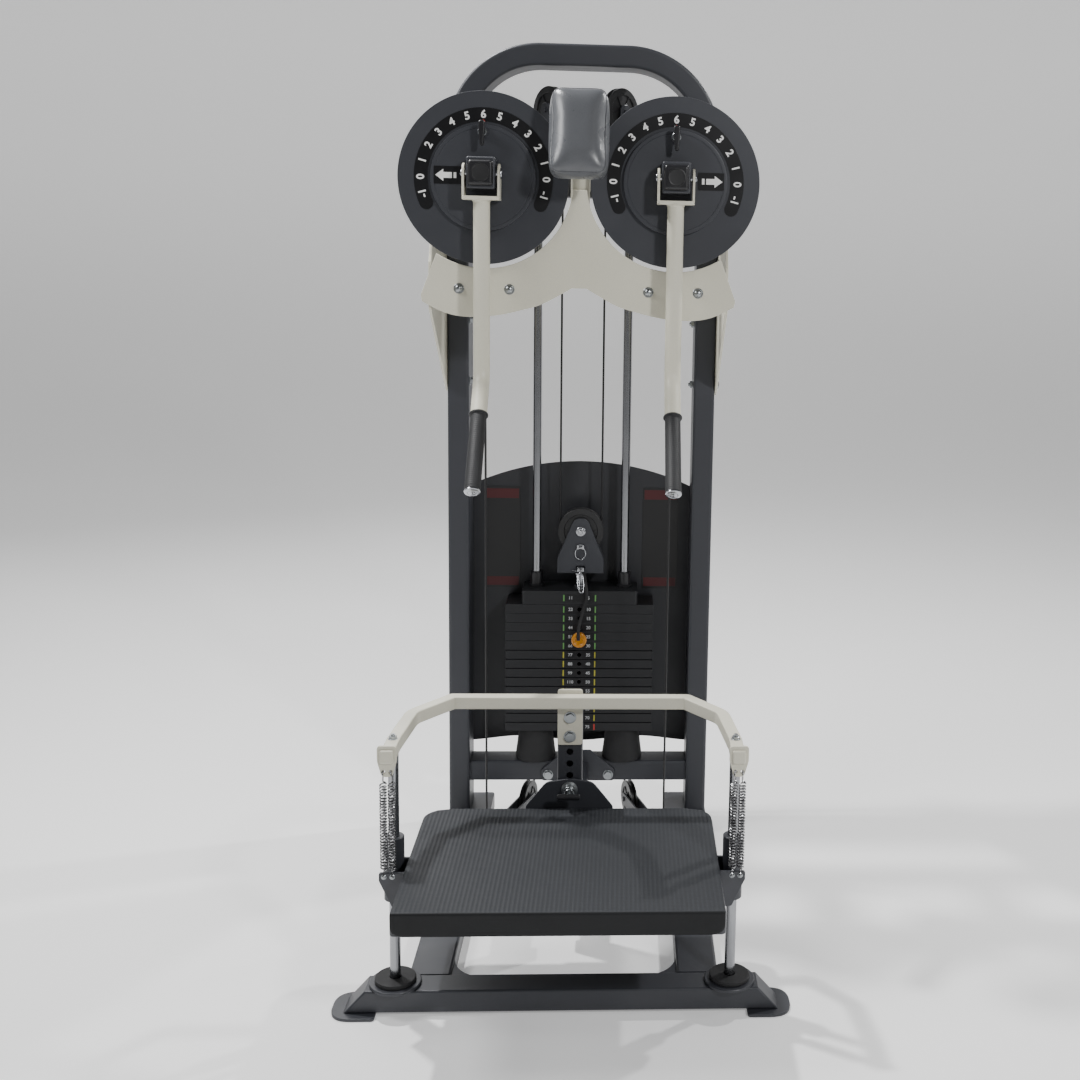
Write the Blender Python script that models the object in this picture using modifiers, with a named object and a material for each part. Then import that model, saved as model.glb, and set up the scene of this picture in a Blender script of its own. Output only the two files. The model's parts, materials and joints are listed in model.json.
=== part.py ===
"""Standing lateral-raise station with a weight stack, two swinging levers and a spring-held platform.

Metres, +Z up. The front of the machine faces -Y. The origin is on the floor, under the middle of the
machine's bounding box. Every piece is one object in the collection lateral_raise_station.
"""

import math

import bmesh
import bpy
from mathutils import Matrix, Vector

# ---------------------------------------------------------------- clearances
FIT = 0.0003            # gap between pieces that bear on one another
RUN = 0.0003            # radial clearance of turning and sliding fits
WELD = 0.0010           # how far welded pieces run into one another

# ------------------------------------------------------- widths that the base and the platform share
DECK_HALF = 0.289       # half width of the platform's deck
ROD_OUT = 0.028         # from the deck's side to the rods' centre lines
ROD_X = DECK_HALF + ROD_OUT
BEAM_PAST_ROD = 0.053
BEAM_SLOPE = 0.040      # how much longer the front beam is along its bottom edge, at each end
FOOT_PAST_BEAM = 0.025

# ---------------------------------------------------------------- base
FOOT_T = 0.006          # foot plates under the base tubes
BEAM_H = 0.044          # height of the front beam
BASE_WALL = 0.003
FRONT_Y = -0.335        # centre line of the front beam and of the platform rods
FRONT_D = 0.060         # depth of the front beam
FRONT_TOP_HALF = ROD_X + BEAM_PAST_ROD      # half length along its top edge
FRONT_LOW_HALF = FRONT_TOP_HALF + BEAM_SLOPE
FRONT_FOOT_HALF = FRONT_LOW_HALF + FOOT_PAST_BEAM
FRONT_FOOT_L = 0.085
FRONT_FOOT_D = 0.096
RAIL_X = 0.257
RAIL_W = 0.080
RAIL_H = BEAM_H
REAR_END = 0.565
REAR_FOOT_L = 0.070
FLANGE_T = 0.008        # plate on each rail that an upright stands on
FLANGE_Y = (0.415, 0.540)
FLANGE_IN = 0.215
FLANGE_OUT = 0.316
TIE_Y = 0.395
TIE = 0.040

# ---------------------------------------------------------------- main arch
ARCH_X = 0.2895         # centre line of each upright
ARCH_W = 0.050
ARCH_D = 0.100
ARCH_Y = 0.477
ARCH_TOP = 1.897
ARCH_BEND = 0.190       # centre-line radius of the two bends
ARCH_WALL = 0.003
ARCH_CORNER = 0.006

# ---------------------------------------------------------------- weight stack
STACK_Y = 0.470
CROSS_H = 0.050
CROSS_D = 0.070
CROSS_WALL = 0.003
LOW_CROSS_Z = 0.135     # underside of the lower crossbeam
TOP_CROSS_DROP = 0.277  # from the arch's top down to the upper crossbeam's underside
TOP_CROSS_Z = ARCH_TOP - TOP_CROSS_DROP
GUIDE_X = 0.1065
GUIDE_R = 0.010
BUMPER_H = 0.0825
BUMPER_LOW_R = 0.049
BUMPER_TOP_R = 0.036
PLATE_W = 0.355
PLATE_D = 0.100
PLATE_PITCH = 0.0227
PLATES_LIFTED = 4
PLATES_RESTING = 10
GROOVE = 0.0022         # shadow gap between stacked plates
GROOVE_IN = 0.004
STEM_R = 0.011
STEM_HOLE_R = 0.0130
PIN_R = 0.0045
PIN_HOLE_R = 0.0055
KNOB_R = 0.0185
KNOB_T = 0.014
HEAD_W = 0.278
HEAD_H = 0.033
COLLAR_R = 0.0135
COLLAR_H = 0.038

# ---------------------------------------------------------------- cable and pulleys
CABLE_R = 0.0025
AXLE_R = 0.006
RIM = 0.005             # height of a pulley's rim over its running radius
CHEEK_T = 0.004
CHEEK_GAP = 0.0025
LINE_GAP = 0.0008        # gap between a cable and the floor of its groove
FLOAT_R = 0.050         # running radius of the pulley on the stack
FLOAT_W = 0.022
FLOAT_Z = 0.758
BRACKET_HALF = 0.056    # half width of the bracket's foot
BRACKET_LOW = 0.036     # from the head plate up to the bracket
BRACKET_WAIST = 0.035   # height of the bracket's straight lower part
BRACKET_TOP_R = 0.023
TOP_W = 0.018
TOP_PULLEY_UP = 0.135   # from the upper crossbeam's underside up to the pulleys
TOP_PULLEY_Z = TOP_CROSS_Z + TOP_PULLEY_UP
REAR_RUN_X = 0.115      # the cable's run behind the stack
REAR_RUN_Y = 0.545
FRONT_RUN_X = 0.206     # where the cable comes down in front of the stack
FRONT_RUN_Y = 0.260
WHEEL_R = 0.0405        # running radius of the base wheels
WHEEL_W = 0.016
WHEEL_Z = 0.058
CABLE_HOLE_R = 0.007    # hole in the base tie for the cable

# ---------------------------------------------------------------- head: discs, cams and levers
DISC_X = 0.202
DISC_Z = 1.577
DISC_R = 0.182
DISC_T = 0.010
DISC_Y = 0.160          # front face of the large disc
HOLE_RING_R = 0.094
HOLE_STEP = 15          # degrees between two stops
STOPS = 15
DISC_PIN_R = 0.0055
DISC_HOLE_R = 0.0065
CAM_R = 0.120           # running radius of the cam's cable
CAM_Y = 0.186           # plane of the cam's cable
CAM_HALF = 0.008
SHAFT_R = 0.015
HOUSING_R = 0.031
HEAD_BEAM_Y = 0.300     # front face of the beam that carries both shafts
HOUSING_L = 0.095
HEAD_BEAM = 0.060
HEAD_WALL = 0.004
PLATE_Y = 0.1703        # front face of the cream front plate
PLATE_T = 0.006
PLATE_R = 0.188         # radius of the plate's arcs round the discs
BOLT_DX = 0.0535
BOLT_Z = DISC_Z - 0.232
SIDE_T = 0.006
SIDE_BOLTS = (DISC_Z - 0.313, DISC_Z - 0.457)
SIDE_LOW = 0.177
SIDE_CHIN = 0.277
SIDE_FOOT = 0.482
LEVER_DISC_R = 0.107
LEVER_DISC_T = 0.0095
HUB_W = 0.060
HUB_H = 0.066
HUB_FACE = 0.052
HUB_REACH = 0.030       # from the lever's pivot forward to the hub's cap
CAP_REACH = 0.010
PIVOT_FWD = 0.030       # from the lever disc forward to the pivot
PIVOT_UP = 0.008
PIVOT_R = 0.008
YOKE_W = 0.078
YOKE_T = 0.005
YOKE_D = 0.044
YOKE_DROP = 0.047       # from the pivot down to the yoke's base
YOKE_BASE = 0.008
NECK_R = 0.020
NECK_LOW_Z = 1.445
LEVER_R = 0.018
LEVER_WALL = 0.003
LEVER_BEND_Z = 1.160
LEVER_LEAN = 40.5       # degrees from vertical of the handle
NECK = 0.093            # from the bend to the grip
GRIP_L = 0.192
GRIP_R = 0.0165
STUB_R = 0.0130

# ---------------------------------------------------------------- pad
PAD_W = 0.120
PAD_L = 0.167
PAD_T = 0.065
PAD_Y = 0.050           # middle of the pad's face
PAD_Z = 1.678
PAD_LEAN = 21           # degrees that the face leans back
PAD_TUBE = 0.040
PAD_TUBE_WALL = 0.003
PAD_POST_Y = 0.200      # centre line of the bracket's post
PAD_POST_LOW = 1.400
PAD_ARM_Z = 1.690
PAD_PLATE_W = 0.090
PAD_PLATE_L = 0.110
PAD_PLATE_T = 0.006

# ---------------------------------------------------------------- platform, rods and hand rail
ROD_R = 0.010
BUFFER_H = 0.012
BUFFER_R = 0.036
RING_H = 0.008
RING_R = 0.047
RAIL_TOP = 0.549        # top of the hand rail
RAIL_TUBE = 0.025
RAIL_TUBE_WALL = 0.002
RAIL_REAR_IN = 0.084    # from a rod inward to the rail's rear corner
RAIL_REAR_X = ROD_X - RAIL_REAR_IN
RAIL_MID_IN = 0.022     # from a rod inward to the rail's middle corner
RAIL_MID_X = ROD_X - RAIL_MID_IN
RAIL_MID_Y = -0.260
RAIL_END_Y = -0.372
POST_Y = -0.119         # front face of the perforated post
POST_W = 0.050
POST_WALL = 0.003
POST_TOP = 0.530
POST_LOW = 0.120
POST_HOLE_R = 0.0070
POST_PITCH = 0.025
POST_PIN_Z = 0.349      # hole that the platform stands in
HOLES_UP = 3
HOLES_DOWN = 4
TAB_W = 0.050
TAB_LOW = 0.441
TAB_TOP = 0.557
TAB_T = 0.006
TAB_BOLTS = (0.499, 0.459)
DECK_FRONT = -0.565
DECK_REAR = -0.1303
DECK_TOP = 0.303
DECK_SKIRT = 0.040
DECK_T = 0.003
DECK_CORNER = 0.045
MAT_T = 0.006
SLEEVE_R = 0.019
SLEEVE_LOW = 0.221
SLEEVE_TOP = 0.366
UPSTAND_LOW_W = 0.177
UPSTAND_TOP_W = 0.081
UPSTAND_TOP = 0.385
UPSTAND_T = 0.005
SPRING_OUT = 0.003      # from a rod outward to the middle of its springs
SPRING_X = ROD_X + SPRING_OUT
SPRING_DX = 0.011
SPRING_Y = -0.382
SPRING_R = 0.0073
SPRING_WIRE = 0.0011
SPRING_TOP = 0.464
SPRING_LOW = 0.295
SPRING_TURNS = 12
END_PLATE_W = 0.034
END_PLATE_LOW = 0.474
END_PLATE_TOP = 0.533
HANGER_T = 0.006
FLANGE_HALF = 0.090     # flange plate that bolts the post's arm to the stack's crossbeam
FLANGE_NECK = 0.030
FLANGE_LOW = 0.002      # from the crossbeam's underside up to the flange plate
FLANGE_EDGE = 0.028     # height of its straight sides
FLANGE_TOP = 0.080
FLANGE_BOLT_X = 0.0735
FLANGE_BOLT_UP = 0.017
FLANGE_PLATE_T = 0.006

# ---------------------------------------------------------------- shroud
SHROUD_T = 0.003
SHROUD_HALF = 0.290
SHROUD_SIDE_Z = 0.848
SHROUD_TOP_Z = 0.919
SHROUD_LOW_Z = 0.204


# ================================================================ small tools
def start():
    """Empties the scene and makes the collection for the parts."""
    for obj in list(bpy.data.objects):
        bpy.data.objects.remove(obj, do_unlink=True)
    parts = bpy.data.collections.new("lateral_raise_station")
    bpy.context.scene.collection.children.link(parts)
    return parts


PARTS = start()


def material(name, colour, rough, metal):
    """A Principled material with the finish of one part."""
    mat = bpy.data.materials.new(name)
    mat.use_nodes = True
    shader = mat.node_tree.nodes["Principled BSDF"]
    shader.inputs["Base Color"].default_value = (*colour, 1.0)
    shader.inputs["Roughness"].default_value = rough
    shader.inputs["Metallic"].default_value = metal
    return mat


FINISH = {
    "frame": ((0.060, 0.063, 0.072), 0.38, 0.35),
    "cream": ((0.72, 0.70, 0.62), 0.42, 0.0),
    "black": ((0.012, 0.012, 0.013), 0.45, 0.0),
    "rubber": ((0.018, 0.018, 0.018), 0.75, 0.0),
    "chrome": ((0.78, 0.78, 0.80), 0.12, 1.0),
    "steel": ((0.50, 0.51, 0.53), 0.35, 1.0),
    "vinyl": ((0.10, 0.10, 0.105), 0.35, 0.0),
    "orange": ((0.65, 0.28, 0.03), 0.35, 0.3),
    "shroud": ((0.075, 0.078, 0.085), 0.55, 0.1),
}


def link(mesh, name, place=None):
    """Puts a mesh in the scene as an object."""
    obj = bpy.data.objects.new(name, mesh)
    obj.matrix_world = place or Matrix.Identity(4)
    PARTS.objects.link(obj)
    return obj


def bake(obj, name=None):
    """Replaces an object by its evaluated mesh, welded and with its faces pointing out."""
    bpy.context.view_layer.update()
    graph = bpy.context.evaluated_depsgraph_get()
    mesh = bpy.data.meshes.new_from_object(obj.evaluated_get(graph))
    place = obj.matrix_world.copy()
    name = name or obj.name
    bpy.data.objects.remove(obj, do_unlink=True)
    mesh.transform(place)
    shape = bmesh.new()
    shape.from_mesh(mesh)
    bmesh.ops.remove_doubles(shape, verts=shape.verts, dist=2e-6)
    bmesh.ops.dissolve_degenerate(shape, edges=shape.edges, dist=1e-6)
    bmesh.ops.recalc_face_normals(shape, faces=shape.faces)
    shape.to_mesh(mesh)
    shape.free()
    return link(mesh, name)


def combine(body, others, operation):
    """Joins or cuts one solid with others, which it uses up."""
    for other in others:
        modifier = body.modifiers.new(operation, "BOOLEAN")
        modifier.operation = operation
        modifier.solver = "EXACT"
        modifier.object = other
    name = body.name
    done = bake(body, name)
    for other in others:
        bpy.data.objects.remove(other, do_unlink=True)
    return done


def weld(body, *others):
    return combine(body, others, "UNION")


def cut(body, *others):
    return combine(body, others, "DIFFERENCE")


def finish(obj, name, look, origin=(0, 0, 0), smooth=35):
    """Names a piece, gives it its material and moves its origin to a point."""
    obj.name = name
    obj.data.name = name
    mat = bpy.data.materials.get(name) or material(name, *FINISH[look])
    obj.data.materials.clear()
    obj.data.materials.append(mat)
    obj.data.shade_smooth()
    obj.data.set_sharp_from_angle(angle=math.radians(smooth))
    point = Vector(origin)
    obj.data.transform(Matrix.Translation(-point))
    obj.matrix_world = Matrix.Translation(point)
    return obj


def pivot(name, point, *children):
    """An empty on a joint's axis, with the pieces that move about it."""
    empty = bpy.data.objects.new(name, None)
    empty.location = point
    empty.empty_display_size = 0.03
    PARTS.objects.link(empty)
    bpy.context.view_layer.update()
    for child in children:
        child.parent = empty
        child.matrix_parent_inverse = empty.matrix_world.inverted()
    return empty


def axes(origin, x_axis, y_axis):
    """The placement that takes local X and Y to two world directions."""
    x = Vector(x_axis).normalized()
    y = Vector(y_axis).normalized()
    z = x.cross(y)
    place = Matrix((x, y, z)).transposed().to_4x4()
    place.translation = Vector(origin)
    return place


def facing_front(y):
    """A plate's placement in a plane of constant Y: local X is X, local Y is Z."""
    return axes((0, y, 0), (1, 0, 0), (0, 0, 1))


def facing_side(x):
    """A plate's placement in a plane of constant X: local X is Y, local Y is Z."""
    return axes((x, 0, 0), (0, 1, 0), (0, 0, 1))


def facing_up(z):
    return Matrix.Translation((0, 0, z))


def arc(cx, cy, r, a0, a1, count):
    """Points along an arc, in degrees, both ends included."""
    step = (a1 - a0) / count
    turns = [math.radians(a0 + step * i) for i in range(count + 1)]
    return [(cx + r * math.cos(t), cy + r * math.sin(t)) for t in turns]


def ring(cx, cy, r, count=24):
    return arc(cx, cy, r, 0, 360, count)[:-1]


def rounded(points, radii, count=4):
    """A polygon with each corner rounded by its own radius."""
    out = []
    size = len(points)
    for i, point in enumerate(points):
        radius = radii[i] if isinstance(radii, (list, tuple)) else radii
        here = Vector(point)
        before = (Vector(points[i - 1]) - here).normalized()
        after = (Vector(points[(i + 1) % size]) - here).normalized()
        if radius <= 0:
            out.append(tuple(here))
            continue
        half = before.angle(after) / 2
        reach = radius / math.tan(half)
        centre = here + (before + after).normalized() * (radius / math.sin(half))
        first = here + before * reach - centre
        last = here + after * reach - centre
        sweep = math.atan2(first.x * last.y - first.y * last.x, first.dot(last))
        base = math.atan2(first.y, first.x)
        for k in range(count + 1):
            turn = base + sweep * k / count
            out.append((centre.x + radius * math.cos(turn), centre.y + radius * math.sin(turn)))
    return out


def box_loop(x0, y0, x1, y1, radius=0.0, count=2):
    corners = [(x0, y0), (x1, y0), (x1, y1), (x0, y1)]
    return rounded(corners, radius, count) if radius else corners


def flat(name, loops, low, high, place):
    """A flat outline, with holes, between two heights along the placement's local Z."""
    curve = bpy.data.curves.new(name, "CURVE")
    curve.dimensions = "2D"
    curve.fill_mode = "BOTH"
    curve.extrude = abs(high - low) / 2
    for loop in loops:
        spline = curve.splines.new("POLY")
        spline.points.add(len(loop) - 1)
        for point, (x, y) in zip(spline.points, loop):
            point.co = (x, y, 0, 1)
        spline.use_cyclic_u = True
    obj = link(curve, name, place @ Matrix.Translation((0, 0, (low + high) / 2)))
    return bake(obj, name)


def block(name, x0, x1, y0, y1, z0, z1):
    """A plain box between limits."""
    mesh = bpy.data.meshes.new(name)
    shape = bmesh.new()
    bmesh.ops.create_cube(shape, size=1.0)
    size = Matrix.Diagonal((x1 - x0, y1 - y0, z1 - z0, 1))
    middle = Matrix.Translation(((x0 + x1) / 2, (y0 + y1) / 2, (z0 + z1) / 2))
    bmesh.ops.transform(shape, matrix=middle @ size, verts=shape.verts)
    shape.to_mesh(mesh)
    shape.free()
    return link(mesh, name)


def cylinder(name, start_at, end_at, radius, count=20, top_radius=None):
    """A solid cylinder or cone between two points."""
    a, b = Vector(start_at), Vector(end_at)
    mesh = bpy.data.meshes.new(name)
    shape = bmesh.new()
    top = radius if top_radius is None else top_radius
    bmesh.ops.create_cone(shape, cap_ends=True, segments=count, radius1=radius, radius2=top,
                          depth=(b - a).length)
    turn = Vector((0, 0, 1)).rotation_difference(b - a).to_matrix().to_4x4()
    bmesh.ops.transform(shape, matrix=Matrix.Translation((a + b) / 2) @ turn, verts=shape.verts)
    shape.to_mesh(mesh)
    shape.free()
    return link(mesh, name)


def turned(name, profile, count, origin, axis, closed=False):
    """A profile of (radius, distance along the axis) turned about an axis through a point."""
    mesh = bpy.data.meshes.new(name)
    size = len(profile)
    edges = [(i, i + 1) for i in range(size - 1)]
    if closed:
        edges.append((size - 1, 0))
    mesh.from_pydata([(r, 0, z) for r, z in profile], edges, [])
    turn = Vector((0, 0, 1)).rotation_difference(Vector(axis)).to_matrix().to_4x4()
    obj = link(mesh, name, Matrix.Translation(Vector(origin)) @ turn)
    screw = obj.modifiers.new("turn", "SCREW")
    screw.steps = count
    screw.render_steps = count
    screw.use_merge_vertices = True
    screw.merge_threshold = 0.00001
    return bake(obj, name)


def path_curve(name, points, place=None, flat_path=False):
    curve = bpy.data.curves.new(name, "CURVE")
    curve.dimensions = "2D" if flat_path else "3D"
    spline = curve.splines.new("POLY")
    spline.points.add(len(points) - 1)
    for point, at in zip(spline.points, points):
        point.co = (at[0], at[1], at[2] if len(at) > 2 else 0, 1)
    return link(curve, name, place)


def wire(name, points, radius, detail=1, caps=True):
    """A round bar or wire along a path."""
    obj = path_curve(name, points)
    obj.data.bevel_depth = radius
    obj.data.bevel_resolution = detail
    obj.data.use_fill_caps = caps
    obj.data.resolution_u = 1
    return bake(obj, name)


def bent_tube(name, path, across, tall, wall, corner, place):
    """A hollow rectangular tube, open at both ends, bent along a path in its placement's plane."""
    loop = box_loop(-across / 2, -tall / 2, across / 2, tall / 2, corner, 1 if corner < 0.005 else 2)
    outline = path_curve("outline", loop, flat_path=True)
    outline.data.splines[0].use_cyclic_u = True
    obj = path_curve(name, path, place, flat_path=True)
    obj.data.bevel_mode = "OBJECT"
    obj.data.bevel_object = outline
    skin = bake(obj, name)
    bpy.data.objects.remove(outline, do_unlink=True)
    shell = skin.modifiers.new("wall", "SOLIDIFY")
    shell.thickness = wall
    shell.offset = -1
    shell.use_even_offset = True
    return bake(skin, name)


def straight_tube(name, across, tall, wall, corner, length, place):
    """A hollow rectangular tube along local Z of its placement, from 0 to its length."""
    outer = box_loop(-across / 2, -tall / 2, across / 2, tall / 2, corner)
    inner = box_loop(-across / 2 + wall, -tall / 2 + wall, across / 2 - wall, tall / 2 - wall,
                     max(corner - wall, wall / 4))
    return flat(name, [outer, inner], 0, length, place)


def along_x(x, y, z):
    """Local Z runs along +X, local X along Y and local Y along Z."""
    return axes((x, y, z), (0, 1, 0), (0, 0, 1))


def along_y(x, y, z):
    """Local Z runs along +Y, local X along -X and local Y along Z."""
    return axes((x, y, z), (-1, 0, 0), (0, 0, 1))


# ================================================================ base
def front_beam():
    """Beam with slanted ends, hollow, with a drain hole, on two foot plates."""
    low, high = FOOT_T, FOOT_T + BEAM_H
    top, bottom = FRONT_TOP_HALF, FRONT_LOW_HALF
    wall = BASE_WALL
    back, front = FRONT_Y + FRONT_D / 2, FRONT_Y - FRONT_D / 2
    place = facing_front(0)
    outer = [(-bottom, low), (bottom, low), (bottom, low + wall * 2), (top, high), (-top, high),
             (-bottom, low + wall * 2)]
    beam = flat("front_beam", [outer], -back, -front, place)
    inner = [(-bottom + 3 * wall, low + wall), (bottom - 3 * wall, low + wall),
             (top - wall, high - wall), (-top + wall, high - wall)]
    hollow = flat("hollow", [inner], -back + wall, -front - wall, place)
    drain = cylinder("drain", (0.05, FRONT_Y, low - 0.01), (0.05, FRONT_Y, low + 0.01), 0.006, 12)
    beam = cut(beam, hollow, drain)
    feet = []
    for side in (-1, 1):
        inside, outside = FRONT_FOOT_HALF - FRONT_FOOT_L, FRONT_FOOT_HALF
        half = FRONT_FOOT_D / 2
        loop = rounded([(side * inside, FRONT_Y - half), (side * outside, FRONT_Y - half),
                        (side * outside, FRONT_Y + half), (side * inside, FRONT_Y + half)],
                       [0.004, 0.022, 0.022, 0.004], 5)
        feet.append(flat("foot", [loop], 0, FOOT_T + WELD / 2, facing_up(0)))
    return finish(weld(beam, *feet), "front_beam", "frame")


def base_rails():
    """Two rails from the front beam to the rear foot, each with the flange an upright stands on."""
    start_y = FRONT_Y + FRONT_D / 2 + FIT
    middle = FOOT_T + RAIL_H / 2
    top = FOOT_T + RAIL_H
    for side, word in ((-1, "left"), (1, "right")):
        rail = straight_tube("rail", RAIL_W, RAIL_H, BASE_WALL, 0.005, REAR_END - start_y,
                             along_y(side * RAIL_X, start_y, middle))
        x0 = side * (RAIL_X + RAIL_W / 2 + 0.018)
        x1 = side * (RAIL_X - RAIL_W / 2)
        loop = rounded([(x0, REAR_END - REAR_FOOT_L), (x1, REAR_END - REAR_FOOT_L),
                        (x1, REAR_END), (x0, REAR_END)], 0.006, 4)
        foot = flat("foot", [loop], 0, FOOT_T + WELD / 2, facing_up(0))
        a, b = sorted((side * FLANGE_IN, side * FLANGE_OUT))
        flange = flat("flange", [box_loop(a, FLANGE_Y[0], b, FLANGE_Y[1], 0.006, 3)],
                      top - WELD / 2, top + FLANGE_T, facing_up(0))
        finish(weld(rail, foot, flange), "rail_" + word, "frame")


def base_tie():
    """Square tube between the rails that carries both pairs of base wheels."""
    reach = RAIL_X - RAIL_W / 2 - FIT
    tie = straight_tube("tie", TIE, TIE, BASE_WALL, 0.004, 2 * reach,
                        along_x(-reach, TIE_Y, FOOT_T + TIE / 2))
    passages = []
    for side in (-1, 1):
        front, rear, _ = base_wheel_centres(side)
        z = WHEEL_Z - WHEEL_R
        passages.append(cylinder("passage", (front.x, front.y, z), (rear.x, rear.y, z),
                                 CABLE_HOLE_R, 10))
    tie = cut(tie, *passages)
    added = []
    for side in (-1, 1):
        front, rear, way = base_wheel_centres(side)
        run = (front - rear).length
        loop = (arc(0, 0, 0.016, 120, 270, 3) + arc(run, 0, 0.016, -90, 60, 3))
        added += cheeks(loop, [rear, front], way, WHEEL_Z, AXLE_R, WHEEL_W)
    return finish(weld(tie, *added), "base_tie", "frame")


def frame_arch():
    """One rectangular tube bent into an upside-down U, standing on the rails' flanges."""
    foot = FOOT_T + RAIL_H + FLANGE_T + FIT
    top = ARCH_TOP - ARCH_W / 2
    flat_half = ARCH_X - ARCH_BEND
    spring_line = top - ARCH_BEND
    left = [(-ARCH_X, foot)] + arc(-flat_half, spring_line, ARCH_BEND, 180, 90, 7)
    right = arc(flat_half, spring_line, ARCH_BEND, 90, 0, 7) + [(ARCH_X, foot)]
    arch = bent_tube("frame_arch", left + right, ARCH_W, ARCH_D, ARCH_WALL, ARCH_CORNER,
                     facing_front(ARCH_Y))
    return finish(arch, "frame_arch", "frame")


# ================================================================ weight stack frame
def pulley_plane(inner, outer):
    """Unit direction in plan from one cable run to the other, and their distance."""
    span = Vector((outer[0] - inner[0], outer[1] - inner[1]))
    return span.normalized(), span.length


def base_wheel_centres(side):
    """Plan centres of the front and the rear base wheel, and the direction from rear to front."""
    rear = (side * REAR_RUN_X, REAR_RUN_Y)
    front = (side * FRONT_RUN_X, FRONT_RUN_Y)
    way, _ = pulley_plane(rear, front)
    return Vector(front) - way * WHEEL_R, Vector(rear) + way * WHEEL_R, way


def top_pulley_centre(side):
    """Plan centre, direction and running radius of a top pulley."""
    rear = (side * REAR_RUN_X, REAR_RUN_Y)
    front = (side * FLOAT_R, STACK_Y)
    way, span = pulley_plane(rear, front)
    return Vector(rear) + way * span / 2, way, span / 2


def cheeks(loop, centres, way, low_z, axle_r, width):
    """Two parallel cheek plates with the axles between them, in the vertical plane along way."""
    middle = centres[0]
    normal = Vector((-way.y, way.x))
    offset = width / 2 + CHEEK_GAP
    out = []
    place = axes((middle.x, middle.y, low_z), (way.x, way.y, 0), (0, 0, 1))
    for low in (offset, -offset - CHEEK_T):
        out.append(flat("cheek", [loop], low, low + CHEEK_T, place))
    reach = offset + CHEEK_T + 0.003
    for centre in centres:
        a = (centre.x + normal.x * reach, centre.y + normal.y * reach, low_z)
        b = (centre.x - normal.x * reach, centre.y - normal.y * reach, low_z)
        out.append(cylinder("axle", a, b, axle_r, 8))
    return out


def crossbeam(low):
    """A hollow beam between the uprights."""
    half = ARCH_X - ARCH_W / 2 - FIT
    return straight_tube("beam", CROSS_D, CROSS_H, CROSS_WALL, 0.004, 2 * half,
                         along_x(-half, STACK_Y, low + CROSS_H / 2))


def stack_crossbeam():
    """Lower crossbeam that the guide rods, the bumpers and the platform's post arm stand against."""
    return finish(crossbeam(LOW_CROSS_Z), "stack_crossbeam", "frame")


def top_crossbeam():
    """Upper crossbeam, drilled for the cables, with the top pulleys' cheeks standing on it."""
    beam = crossbeam(TOP_CROSS_Z)
    holes = [cylinder("hole", (side * FLOAT_R, STACK_Y, TOP_CROSS_Z - 0.01),
                      (side * FLOAT_R, STACK_Y, TOP_CROSS_Z + CROSS_H + 0.01), 0.008, 16)
             for side in (-1, 1)]
    beam = cut(beam, *holes)
    added = []
    for side in (-1, 1):
        centre, way, radius = top_pulley_centre(side)
        r = 0.018
        down = TOP_CROSS_Z + CROSS_H - WELD - TOP_PULLEY_Z
        loop = arc(0, 0, r, -20, 200, 6) + [(0.004, down), (0.034, down)]
        added += cheeks(loop, [centre], way, TOP_PULLEY_Z, AXLE_R, TOP_W)
    return finish(weld(beam, *added), "top_crossbeam", "frame")


def guide_rods():
    """Polished rods between the two crossbeams, and a cone-shaped bumper on each."""
    low = LOW_CROSS_Z + CROSS_H + FIT
    high = TOP_CROSS_Z - FIT
    for side, word in ((-1, "left"), (1, "right")):
        x = side * GUIDE_X
        rod = cylinder("rod", (x, STACK_Y, low), (x, STACK_Y, high), GUIDE_R, 20)
        finish(rod, "guide_rod_" + word, "chrome")
        bore = GUIDE_R + RUN
        profile = [(bore, 0), (BUMPER_LOW_R, 0), (BUMPER_LOW_R, 0.008),
                   (BUMPER_TOP_R, BUMPER_H - 0.004), (BUMPER_TOP_R - 0.004, BUMPER_H),
                   (bore, BUMPER_H)]
        cone = turned("cone", profile, 20, (x, STACK_Y, low), (0, 0, 1), closed=True)
        finish(cone, "stack_bumper_" + word, "rubber")


def stack_base():
    return LOW_CROSS_Z + CROSS_H + FIT + BUMPER_H + FIT


def plate_top(index):
    """Height of the top of plate number index, counted from 1 at the top of the stack."""
    return stack_base() + (PLATES_LIFTED + PLATES_RESTING + 1 - index) * PLATE_PITCH - FIT


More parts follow.
